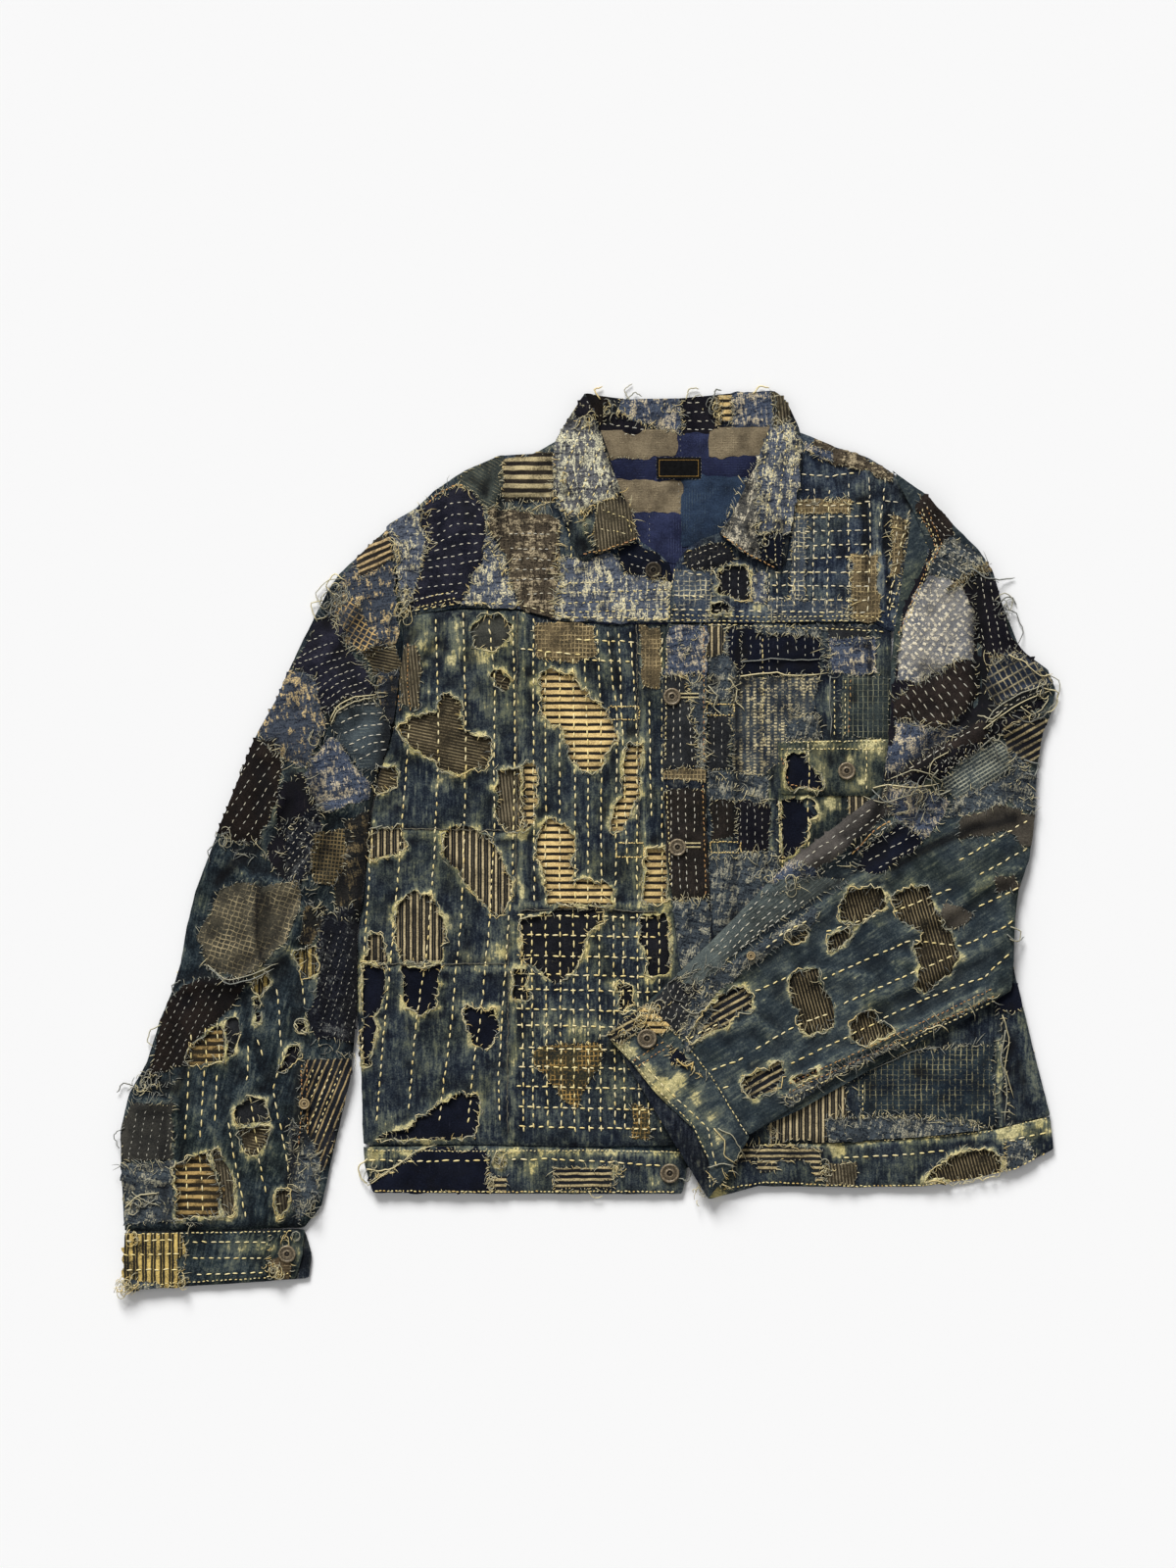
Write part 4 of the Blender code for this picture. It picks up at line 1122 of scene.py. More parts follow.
sew_panel("front_yoke_right", [(-170, 208), (-173, 234), (-178, 270), (-185, 290), (-180, 294), (-158, 307),
        (-140, 324), (-114, 341), (-82, 355), (-50, 357), (-32, 367), (-14, 378), (2, 351), (11, 306),
        (32, 277), (46, 278), (64, 266), (75, 255), (76, 241), (83, 216), (101, 202), (29, 202), (-22, 203),
        (-64, 215), (-117, 216)],
    denim("yoke_denim", (20, 28, 42), (44, 56, 72), (84, 94, 98), (140, 138, 118)), lay,
    scraps=[
        ("scramble", [(-186, 287), (-180, 294), (-161, 304), (-152, 305), (-153, 293), (-146, 281),
                (-149, 268), (-155, 246), (-163, 220), (-174, 212), (-176, 249), (-178, 275)]),
        ("sashiko", [(-154, 307), (-121, 325), (-106, 323), (-96, 310), (-94, 279), (-97, 264), (-98, 251),
                (-108, 246), (-110, 233), (-117, 220), (-164, 214), (-161, 226), (-155, 246), (-148, 266),
                (-149, 275), (-147, 281), (-154, 293)]),
        ("scramble", [(-94, 286), (-88, 279), (-76, 260), (-71, 240), (-62, 215), (-95, 217), (-117, 218),
                (-108, 233), (-106, 249), (-97, 256)]),
        ("speckled", [(-90, 309), (-76, 304), (-34, 302), (-25, 295), (-27, 275), (-25, 249), (-29, 221),
                (-31, 205), (-45, 207), (-62, 215), (-71, 240), (-76, 264), (-90, 286)]),
        ("dark_twill", [(-121, 330), (-106, 345), (-80, 355), (-76, 350), (-80, 332), (-83, 313),
                (-88, 308), (-96, 310), (-106, 323), (-117, 329)]),
        ("bar_cream", [(-77, 351), (-50, 357), (-31, 358), (-30, 313), (-78, 313), (-80, 324)]),
        ("scramble", [(-29, 260), (0, 263), (26, 266), (31, 248), (56, 246), (76, 240), (81, 218),
                (95, 203), (29, 203), (4, 203), (-31, 206), (-30, 231), (-25, 251)]),
        ("navy", [(26, 270), (45, 276), (63, 266), (76, 254), (75, 241), (45, 245), (33, 249)])],
    rows=[([[(-158, 222), (-137, 228), (-119, 231)], [(-158, 215), (-137, 221), (-119, 225)],
        [(-93, 276), (-81, 256), (-79, 243)]], CREAM, 2.8, 1.6, 1.0),
        ([[(-149, 310), (-136, 321), (-121, 328), (-113, 328)]], ORANGE, 3.2, 0.5, 1.4),
        ([[(-167, 212), (-117, 220), (-64, 219), (-22, 207), (29, 206), (90, 205)],
            [(-16, 304), (-15, 256)]], CREAM, 4.5, 3.0, 1.1), ([[(-74, 283), (-50, 284), (-31, 282)],
                [(-72, 270), (-50, 269), (-31, 270)], [(-72, 260), (-50, 261), (-29, 258)],
                [(-68, 251), (-50, 250), (-31, 252)], [(-67, 241), (-31, 242)], [(-58, 228), (-32, 229)]],
                WHITE, 3.8, 2.4, 1.1),
        ([[(36, 265), (65, 256)], [(38, 256), (68, 247)]], WHITE, 3.0, 3.0, 1.0),
        ([[(-148, 297), (-126, 311), (-108, 313), (-98, 304)],
            [(-146, 287), (-124, 301), (-108, 302), (-97, 297)],
            [(-144, 277), (-124, 292), (-108, 293), (-96, 291)], [(-141, 274), (-121, 283), (-96, 283)],
            [(-143, 267), (-117, 274), (-96, 275)], [(-148, 259), (-117, 264), (-99, 267)],
            [(-149, 252), (-119, 256), (-99, 259)], [(-155, 243), (-126, 246), (-112, 247)],
            [(-157, 233), (-135, 236), (-113, 238)], [(-162, 223), (-139, 227), (-119, 229)]], WHITE, 3.6,
            3.4, 1.2)],
    hatches=[([(-27, 243), (90, 234), (90, 203), (-27, 205)], 2, 9, CREAM, 3.0, 3.0, 1.0)],
    fringe=[[(-153, 310), (-136, 322), (-119, 328), (-108, 321)], [(-178, 284), (-175, 252), (-170, 214)],
        [(-90, 306), (-93, 288)], [(-155, 309), (-148, 297), (-144, 283), (-149, 268)],
        [(-22, 265), (-23, 243), (-28, 218)], [(-78, 313), (-63, 306), (-47, 305), (-32, 310)],
        [(-94, 284), (-86, 268), (-77, 252), (-72, 234)], [(-26, 292), (-28, 270), (-26, 243), (-31, 214)],
        [(54, 243), (72, 237), (75, 223)], [(-149, 284), (-147, 270), (-153, 252)]],
    tufts=[(-170, 212, 9, 26), (-168, 230, 7, 12), (-172, 268, 8, 14), (-16, 312, 7, 12)], yarn=(0.4, 0.95),
    seed=700, fray_reach=7.0)


# ==== Left front yoke =======================================================================
# The shoulder piece of the left front: navy denim quilted in squares with cream thread, strips
# of tan gauze by the armhole, and a small torn window over black cotton by the neck.

FABRICS["pale_grid"] = woven("pale_grid", (36, 46, 62), (88, 97, 106), (228, 217, 178), warp=(5.0, 0.2),
    weft=(4.4, 0.18), wander=1.9, wear=0.42)
BLUE_DENIM = denim("blue_denim", (18, 24, 40), (40, 49, 66), (74, 85, 98), (126, 133, 130))
lay = Lay("front_yoke_left")
lay.pucker((0.7, 22.0, 61), (0.4, 8.0, 62))
lay.crease(([(269, 324), (267, 288), (270, 234), (269, 205)], 2.6, 3, 8),
    ([(289, 306), (284, 270), (279, 234)], 2.4, 4, 7), ([(245, 315), (247, 270), (245, 212)], 1.2, 4, 9))
lay.seam([(198, 359), (226, 346), (257, 340), (283, 328), (299, 307)], band=7)
lay.blot((157, 216, 7, 1.1), (95, 232, 9, 0.6), (100, 214, 9, 0.7), (262, 260, 10, 0.6), (290, 236, 8, 0.7))
left_yoke_columns = [[(173, 248), (174, 209)], [(166, 249), (166, 209)], [(190, 310), (189, 209)],
    [(208, 326), (206, 209)], [(222, 324), (220, 270), (219, 209)], [(239, 331), (239, 209)],
    [(258, 337), (259, 270), (256, 209)], [(273, 337), (267, 288)],
    [(295, 306), (286, 270), (277, 225), (274, 209)], [(284, 302), (281, 270)]]
left_yoke_rows = [[(196, 338), (221, 336), (248, 340)], [(191, 324), (209, 324)],
    [(190, 310), (225, 309), (261, 313)], [(190, 298), (261, 300)], [(190, 285), (261, 287)],
    [(190, 272), (259, 274)], [(180, 260), (261, 263)], [(171, 248), (261, 248)], [(167, 236), (261, 235)],
    [(167, 224), (261, 222)], [(167, 212), (261, 211)], [(270, 314), (292, 312)], [(272, 301), (284, 300)],
    [(277, 230), (293, 225)], [(275, 218), (288, 214)], [(78, 227), (110, 225)], [(77, 214), (162, 212)],
    [(90, 247), (110, 245)]]
sew_panel("front_yoke_left", [(73, 202), (75, 220), (77, 243), (81, 256), (89, 269), (103, 278), (120, 284),
        (135, 306), (146, 306), (167, 358), (191, 378), (225, 364), (258, 353), (284, 336), (303, 306),
        (319, 270), (313, 257), (293, 215), (284, 193), (275, 195), (263, 202), (212, 203), (165, 202)],
    BLUE_DENIM, lay,
    windows=[
        ("ink", [(118, 248), (130, 255), (146, 252), (148, 223), (135, 223), (120, 231)]),
        ("ink", [(112, 219), (129, 221), (130, 210), (112, 210)])],
    scraps=[
        ("pale_grid", [(81, 250), (115, 252), (113, 234), (110, 203), (76, 203)]),
        ("pale_grid", [(166, 223), (241, 223), (241, 203), (166, 203)]),
        ("pale_grid", [(187, 304), (200, 304), (199, 223), (186, 223)]),
        ("ink", [(87, 265), (104, 274), (124, 277), (137, 261), (115, 252), (95, 247)]),
        ("scramble", [(148, 248), (164, 248), (164, 221), (151, 221)]),
        ("gauze", [(241, 265), (265, 265), (267, 203), (241, 203)]),
        ("gauze", [(190, 314), (241, 314), (239, 302), (190, 303)]),
        ("gauze", [(280, 299), (294, 295), (290, 248), (277, 243)]),
        ("pale_grid", [(293, 304), (313, 270), (306, 241), (293, 214), (284, 229), (290, 270)]),
        ("speckled", [(209, 370), (243, 357), (283, 338), (277, 331), (252, 342), (226, 346), (203, 358)]),
        ("scramble_blue", [(196, 369), (225, 358), (225, 347), (200, 360)])],
    rows=[(left_yoke_columns + left_yoke_rows, (0.22, 0.5), 5.0, 2.6, 1.35),
        ([[(81, 256), (76, 234), (74, 205)], [(74, 209), (162, 207), (261, 208), (274, 200)],
            [(74, 204), (162, 203), (259, 204)]], CREAM, 3.0, 2.0, 1.0),
        ([[(311, 261), (292, 220), (282, 194)]], ORANGE, 3.0, 1.6, 1.1),
        ([[(315, 256), (297, 214), (285, 191)]], CREAM, 3.4, 2.0, 1.1),
        ([[(90, 261), (124, 274)], [(94, 254), (130, 268)], [(101, 259), (103, 247)],
            [(112, 265), (113, 250)]], WHITE, 2.6, 2.8, 0.9)],
    hatches=[([(273, 243), (286, 241), (293, 225), (283, 200), (273, 205)], 70, 6, CREAM, 3.0, 2.4, 1.1),
        ([(120, 252), (147, 252), (147, 223), (122, 223)], 90, 8, WHITE, 2.8, 3.0, 1.0)],
    fringe=[[(241, 265), (241, 234), (241, 205)], [(190, 313), (216, 313), (241, 312)],
        [(278, 297), (277, 248)]], yarn=(0.45, 0.95), seed=900)


# ==== Left front ============================================================================
# The wearer's left front, mostly under the folded sleeve: strips of ticking, navy, blue rag and
# charcoal cloth over denim at the chest, and a dark check with a blue rag strip at the hem.

FABRICS.update({
    "ticking": woven("ticking", (36, 44, 56), (80, 86, 88), (228, 212, 166), warp=(6.4, 0.42),
        weft=(2.9, 0.62), crossed=True, wander=0.7, wear=0.36),
    "slate_check": woven("slate_check", (30, 38, 44), (64, 72, 70), (148, 148, 120), warp=(4.6, 0.18),
        weft=(5.4, 0.05), wander=0.8, wear=0.34),
    "charcoal": woven("charcoal_wool", (26, 27, 30), (52, 54, 56), (74, 72, 68), warp=(3.2, 0.25),
        wear=0.5),
    "frayed_blue": rag("frayed_blue_rag", (20, 26, 34), (72, 80, 86), (186, 180, 154), -12, 0.3),
    "green_check": woven("green_check", (20, 28, 38), (50, 62, 68), (188, 180, 136), warp=(5.2, 0.15),
        weft=(4.6, 0.06), wander=1.2, wear=0.4),
    "night": woven("black_quilt", (12, 12, 20), (30, 28, 34), (54, 48, 48), warp=(5.5, 0.2), wear=0.5)})
LEFT_FRONT = [(73, 201), (69, 180), (68, 144), (68, 90), (69, 36), (72, -18), (76, -54), (81, -90),
    (87, -144), (93, -198), (95, -234), (97, -281), (171, -275), (220, -275), (300, -270), (374, -262),
    (424, -250), (416, -219), (406, -179), (393, -126), (378, -63), (360, 9), (346, 40), (306, 63),
    (281, 90), (278, 144), (278, 193), (263, 201), (212, 202), (165, 201)]
lay = Lay("front_left")
lay.pucker((0.7, 24.0, 71), (0.45, 8.5, 72))
lay.crease(([(130, 198), (130, 144), (130, 63), (128, -18)], 2.4, 3, 9),
    ([(264, 194), (265, 144), (268, 99)], 2.2, 9, 3), ([(221, 153), (221, 94)], 1.6, 3, 3),
    ([(376, -171), (378, -216), (371, -261)], 2.0, 4, 9),
    ([(398, -144), (405, -198), (416, -243)], 1.6, 4, 7), ([(252, -220), (252, -256)], 1.6, 3, 6))
lay.seam([(160, 198), (160, 108), (165, -36)], [(374, -180), (376, -266)], band=7)
lay.crease(([(143, 170), (171, 168), (191, 172), (214, 170)], 1.5, 2.2, 2.2),
    ([(141, 156), (171, 155), (211, 157)], 1.5, 2.2, 2.2))
left_front_dashes = [[(133, 198), (131, 155)], [(141, 194), (141, 155)], [(149, 191), (149, 171)],
    [(158, 191), (158, 155)], [(166, 191), (166, 155)], [(174, 194), (174, 155)], [(183, 191), (183, 171)],
    [(191, 193), (191, 171)], [(199, 191), (199, 171)], [(207, 187), (207, 169)], [(115, 112), (116, 72)],
    [(123, 112), (123, 72)], [(118, 36), (119, 7)], [(127, 36), (128, 5)], [(140, 36), (140, -4)],
    [(146, 34), (146, -5)], [(153, 34), (153, -5)], [(160, 31), (160, -5)]]
sew_panel("front_left", LEFT_FRONT, DENIM, lay,
    scraps=[
        ("frayed_blue", [(106, 198), (140, 198), (141, 144), (137, 130), (110, 130)]),
        ("column", [(108, 200), (125, 200), (125, 173), (108, 171)]),
        ("navy", [(126, 198), (214, 196), (214, 169), (212, 153), (140, 153), (130, 173)]),
        ("frayed_blue", [(151, 200), (216, 200), (212, 187), (200, 191), (180, 193), (153, 191)]),
        ("ticking", [(133, 153), (211, 154), (207, 130), (212, 90), (180, 83), (164, 63), (148, 59),
                (133, 65), (131, 112)]),
        ("frayed_blue", [(182, 110), (212, 119), (214, 97), (182, 95)]),
        ("slate_check", [(233, 153), (277, 153), (277, 95), (233, 97)]),
        ("charcoal", [(220, 200), (256, 198), (257, 184), (221, 184)]),
        ("scramble_blue", [(221, 187), (263, 189), (266, 155), (223, 155)]),
        ("charcoal", [(109, 116), (130, 116), (129, 67), (110, 67)]),
        ("frayed_blue", [(110, 68), (137, 65), (166, 61), (166, 32), (140, 38), (112, 38)]),
        ("brown", [(112, 40), (135, 40), (134, 4), (112, 4)]),
        ("night", [(135, 40), (166, 34), (166, -7), (137, -7)]),
        ("frayed_blue", [(110, -9), (171, -7), (176, -40), (144, -90), (110, -90)]),
        ("green_check", [(245, -219), (266, -202), (292, -189), (371, -185), (374, -261), (363, -259),
                (333, -253), (266, -250), (252, -253)]),
        ("column", [(166, -236), (202, -223), (236, -223), (238, -273), (167, -273)]),
        ("frayed_blue", [(219, -253), (270, -251), (324, -254), (371, -263), (372, -275), (219, -275)]),
        ("navy", [(374, -126), (401, -130), (403, -153), (376, -157)])],
    rows=[(left_front_dashes, (0.04, 0.2), 3.2, 3.4, 0.85), ([[(109, 127), (134, 127)],
            [(109, 117), (134, 117)], [(109, 127), (109, 117)], [(134, 127), (134, 117)],
            [(112, 1), (140, 1)], [(112, -9), (140, -9)], [(112, 1), (112, -9)], [(140, 1), (140, -9)]],
            (0.66, 0.78), 2.2, 0.4, 1.2),
        ([[(110, 200), (180, 198), (274, 194)], [(160, 189), (161, 90)]], CREAM, 3.0, 2.0, 1.0),
        ([[(236, 151), (236, 97)], [(226, 151), (226, 97)], [(252, -220), (252, -254)]], CREAM, 3.0, 2.4,
            1.1), ([[(239, 99), (241, 151)]], ORANGE, 3.0, 2.4, 0.9)],
    fringe=[[(153, 194), (180, 191), (207, 189)], [(106, 153), (122, 144), (137, 133)],
        [(180, 124), (193, 119), (191, 110)], [(214, 189), (218, 162), (214, 155)],
        [(110, 63), (135, 54), (162, 36)], [(110, -14), (144, -14), (171, -11)],
        [(252, -207), (288, -193), (360, -185)], [(219, -253), (288, -251), (369, -261)],
        [(378, -162), (383, -216), (387, -261)], [(167, -236), (171, -270)], [(222, 180), (221, 153)]],
    yarn=(0.3, 0.85), seed=1200, fray_reach=7.0,
    strays=[[(140, 166), (171, 169), (191, 167), (216, 169)],
        [(140, 153), (171, 156), (191, 153), (214, 155)], [(223, 153), (221, 130), (224, 112), (222, 97)],
        [(110, 144), (119, 135), (115, 124), (124, 117)], [(128, 151), (137, 142), (135, 130), (144, 121)],
        [(380, -158), (387, -180), (382, -207), (391, -234)],
        [(383, -171), (378, -198), (385, -225), (382, -257)],
        [(245, -214), (270, -203), (297, -191), (324, -187)]])


# ==== Button placket ========================================================================
# The doubled strip down the left front edge that carries the metal buttons: charcoal and
# brown-black quilt ends pieced along it, faced with loose blue and cream rag at the top.

lay = Lay("placket_left")
lay.pucker((0.45, 12.0, 81), (0.3, 6.0, 82))
lay.crease(([(70, 58), (90, 57), (106, 58)], 1.3, 3, 5))
sew_panel("placket_left", [(74, 200), (68, 144), (68, 90), (70, 36), (73, -18), (82, -90), (88, -144),
        (94, -198), (98, -281), (137, -277), (130, -216), (124, -153), (115, -90), (110, -18), (108, 36),
        (108, 90), (109, 144), (111, 200)], DARK_DENIM, lay,
    scraps=[
        ("scramble_blue", [(75, 200), (110, 200), (110, 151), (90, 155), (70, 153)]),
        ("charcoal", [(69, 155), (90, 153), (94, 126), (101, 90), (101, 68), (69, 68)]),
        ("frayed_blue", [(90, 153), (109, 153), (109, 68), (101, 68), (101, 90), (94, 126)]),
        ("gauze", [(69, 68), (108, 68), (108, 58), (69, 58)]),
        ("brown", [(69, 50), (108, 50), (110, -50), (74, -52)]),
        ("frayed_blue", [(75, -52), (110, -51), (114, -112), (81, -117)]),
        ("night", [(81, -117), (114, -112), (120, -180), (88, -184)])],
    rows=[([[(78, 144), (78, 72)], [(84, 148), (85, 72)], [(92, 126), (96, 72)], [(76, 49), (77, -47)],
        [(82, 49), (83, 9)], [(89, 49), (91, -47)], [(97, 49), (98, 9)], [(83, -11), (85, -47)],
        [(98, -13), (100, -47)], [(90, -126), (95, -176)], [(101, -126), (106, -176)]], WHITE, 3.6, 3.2,
        1.1), ([[(72, 198), (71, 72)], [(72, 54), (76, -45)]], CREAM, 2.6, 2.0, 1.0),
        ([[(105, 54), (108, -47)], [(106, 198), (106, 72)]], ORANGE, 2.8, 2.0, 1.0)],
    fringe=[[(90, 153), (95, 117), (103, 72)], [(70, 153), (90, 155), (108, 153)], [(76, -52), (110, -51)],
        [(108, 144), (108, 72)], [(81, 189), (90, 171), (101, 198)]], yarn=(0.35, 0.95), seed=1500,
    fray_reach=6.0, slits=[(93, 135, 17, 0), (95, -2, 17, 0)])


# ==== Chest pocket and flap =================================================================
# A patch pocket of rubbed olive denim with a torn window over navy, and its buttoned flap with
# a yellowed binding along the top edge. Both are sewn flat to the left front.

OLIVE_DENIM = denim("olive_denim", (21, 27, 32), (46, 54, 55), (78, 85, 76), (124, 122, 92))
lay = Lay("chest_pocket")
lay.pucker((0.6, 16.0, 91))
lay.blot((223, 37, 6, 2.0), (176, 20, 7, 0.8))
sew_panel("chest_pocket", [(174, 50), (272, 50), (273, -36), (272, -90), (178, -90)], OLIVE_DENIM,
    lay,
    windows=[("navy",
        [(176, 40), (185, 41), (208, 40), (212, 26), (202, 20), (200, -1), (186, -13), (177, -16)])],
    scraps=[("column", [(238, 49), (256, 49), (256, 25), (238, 22)])],
    rows=[([[(202, 49), (202, -18)]], CREAM, 5.0, 2.6, 1.4),
        ([[(175, 38), (176, -36)], [(177, 38), (179, -36)]], CREAM, 3.2, 1.6, 1.1),
        ([[(170, 49), (171, -18)]], ORANGE, 2.6, 1.4, 1.0)], seed=1600)
lay = Lay("pocket_flap")
lay.pucker((0.5, 14.0, 93))
lay.crease(([(185, 85), (207, 76), (221, 68)], 1.4, 2.5, 3))
lay.blot((212, 92, 14, 1.0), (262, 92, 16, 1.1), (252, 58, 9, 1.0), (240, 76, 7, 0.8), (216, 64, 8, 0.8))
sew_panel("pocket_flap", [(174, 92), (225, 94), (277, 95), (275, 63), (272, 43), (225, 43), (177, 45)],
    OLIVE_DENIM, lay,
    windows=[("navy", [(179, 79), (188, 82), (200, 81), (202, 71), (214, 62), (214, 50), (187, 49),
            (179, 55), (182, 65)])],
    rows=[
        ([[(176, 92), (225, 93), (275, 94)], [(176, 86), (225, 86), (274, 86)]], (0.3, 0.7), 2.4, 1.4, 1.0),
        ([[(202, 92), (203, 49)], [(255, 92), (255, 49)]], CREAM, 4.0, 2.4, 1.3),
        ([[(177, 79), (184, 54), (216, 48)], [(165, 90), (166, 54)]], ORANGE, 2.6, 1.6, 1.0)], seed=1700)


# ==== Right sleeve ==========================================================================
# A one-piece sleeve hanging free from the armhole, flattened in two layers: quilted navy and
# brown, blue rag, tan check gauze and ribbed scraps over denim, bunched at the elbow.

FABRICS.update({
    "check_gauze": woven("check_gauze", (56, 55, 48), (96, 90, 74), (176, 160, 124), warp=(4.7, 0.18),
        weft=(4.5, 0.22), turn=-18, wander=2.4, wear=0.38, dirt_and_shade=0.25),
    "rising_bar": woven("rising_bars", (24, 22, 23), (58, 52, 46), (222, 192, 140), weft=(5.6, 0.4),
        turn=24, wander=1.2, wear=0.26),
    "flecked": rag("gold_flecked_rag", (27, 32, 43), (74, 81, 92), (234, 204, 144), 8, 0.35),
    "gold_grid": woven("gold_grid", (30, 35, 45), (68, 74, 82), (226, 188, 120), warp=(5.4, 0.24),
        weft=(4.6, 0.22), turn=-30, wander=1.6, wear=0.3),
    "gold_column": woven("gold_striped_cotton", (19, 21, 25), (48, 46, 38), (222, 192, 114),
        warp=(8.2, 0.42), wander=0.8, wear=0.26, twin=0.08),
    "brown_quilt": woven("brown_quilt", (17, 14, 12), (38, 31, 27), (58, 48, 40), warp=(3.0, 0.25),
        turn=-25, wear=0.5),
    "slant_column": woven("slanted_stripe", (15, 18, 25), (38, 40, 45), (186, 162, 116), warp=(5.6, 0.26),
        turn=-22, wander=0.7, wear=0.32),
    "tan_check": woven("small_tan_check", (22, 26, 26), (60, 56, 44), (146, 126, 86), warp=(3.3, 0.3),
        weft=(3.6, 0.3), turn=-6, wander=0.8, wear=0.3),
    "tweed": rag("brown_tweed", (14, 18, 21), (46, 44, 40), (138, 120, 84), 10, 0.4),
    "dark_tweed": rag("black_tweed", (9, 11, 17), (27, 29, 37), (96, 98, 96), 60, 0.2),
    "grey_cotton": woven("grey_brown_cotton", (42, 42, 40), (70, 68, 62), (92, 88, 80), warp=(2.6, 0.25),
        turn=10, wear=0.46)})
RIGHT_SLEEVE = [(-181, 291), (-177, 270), (-174, 234), (-170, 210), (-170, 180), (-176, 130), (-179, 104),
    (-192, 63), (-199, 27), (-203, -15), (-212, -86), (-212, -152), (-215, -187), (-218, -216),
    (-226, -250), (-238, -303), (-244, -332), (-260, -353), (-342, -356), (-425, -356), (-428, -309),
    (-429, -264), (-421, -230), (-405, -202), (-394, -166), (-382, -137), (-374, -111), (-368, -76),
    (-360, -44), (-339, 12), (-320, 60), (-305, 98), (-284, 135), (-272, 164), (-257, 195), (-240, 229),
    (-229, 246), (-199, 274)]
SLEEVE_DENIM = denim("sleeve_denim", (13, 19, 26), (31, 41, 48), (59, 70, 75), (106, 112, 100), turn=-14,
    dirt_and_shade=0.26)
right_sleeve_lay = lay = Lay("sleeve_right_top")
# narrower bleached rims, and lighter painted shade in the low places
lay.rim, lay.hollow_shade = 2.5, 0.6
lay.pucker((1.1, 30.0, 101), (0.6, 11.0, 102))
lay.crease(([(-205, 234), (-225, 198), (-250, 153)], 2.4, 4, 10),
    ([(-182, 198), (-205, 169), (-194, 140)], 2.2, 4, 8),
    ([(-238, 113), (-223, 133), (-194, 133)], 2.0, 3, 8),
    ([(-279, 79), (-261, 63), (-254, 31), (-202, 40)], 3.6, 4, 12),
    ([(-304, 94), (-284, 76), (-277, 43), (-299, 2)], 3.0, 4, 10),
    ([(-243, 25), (-254, -22), (-274, -40)], 2.6, 4, 9),
    ([(-340, -2), (-310, -34), (-270, -38), (-225, -27)], 3.0, 5, 12),
    ([(-301, -40), (-304, -76), (-299, -112)], 2.6, 3, 8),
    ([(-356, -119), (-320, -126), (-279, -92), (-259, -40)], 3.2, 4, 12),
    ([(-243, -68), (-250, -126), (-248, -176)], 2.2, 4, 8),
    ([(-382, -140), (-355, -126), (-304, -128)], 2.4, 4, 8),
    ([(-259, -200), (-263, -243), (-266, -288)], 2.2, 3, 6),
    ([(-418, -239), (-382, -236), (-373, -209)], 2.4, 4, 8),
    ([(-378, -214), (-378, -288), (-376, -346)], 1.8, 3, 6),
    ([(-425, -297), (-405, -306), (-380, -302)], 2.4, 4, 8),
    ([(-315, -180), (-304, -216), (-324, -243)], 1.8, 4, 9),
    ([(-220, 0), (-209, -36), (-214, -72)], 2.2, 5, 8), scale=1.5)
# painted shade along the bottom of the deep folds and along the edge that lies by the body
lay.paint_fold_shade(([(-178, 144), (-182, 90), (-194, 27), (-203, -36), (-209, -108), (-212, -180)], 13),
    ([(-270, 63), (-259, 49), (-243, 27)], 5), ([(-304, -4), (-324, -18), (-340, -36)], 6),
    ([(-356, -122), (-328, -130), (-304, -124), (-279, -108)], 5),
    ([(-405, -216), (-378, -227), (-369, -207)], 5),
    ([(-301, -38), (-304, -72), (-302, -95), (-297, -112)], 3),
    ([(-238, 112), (-223, 130), (-194, 130)], 4), ([(-265, -207), (-266, -261), (-274, -315)], 5))
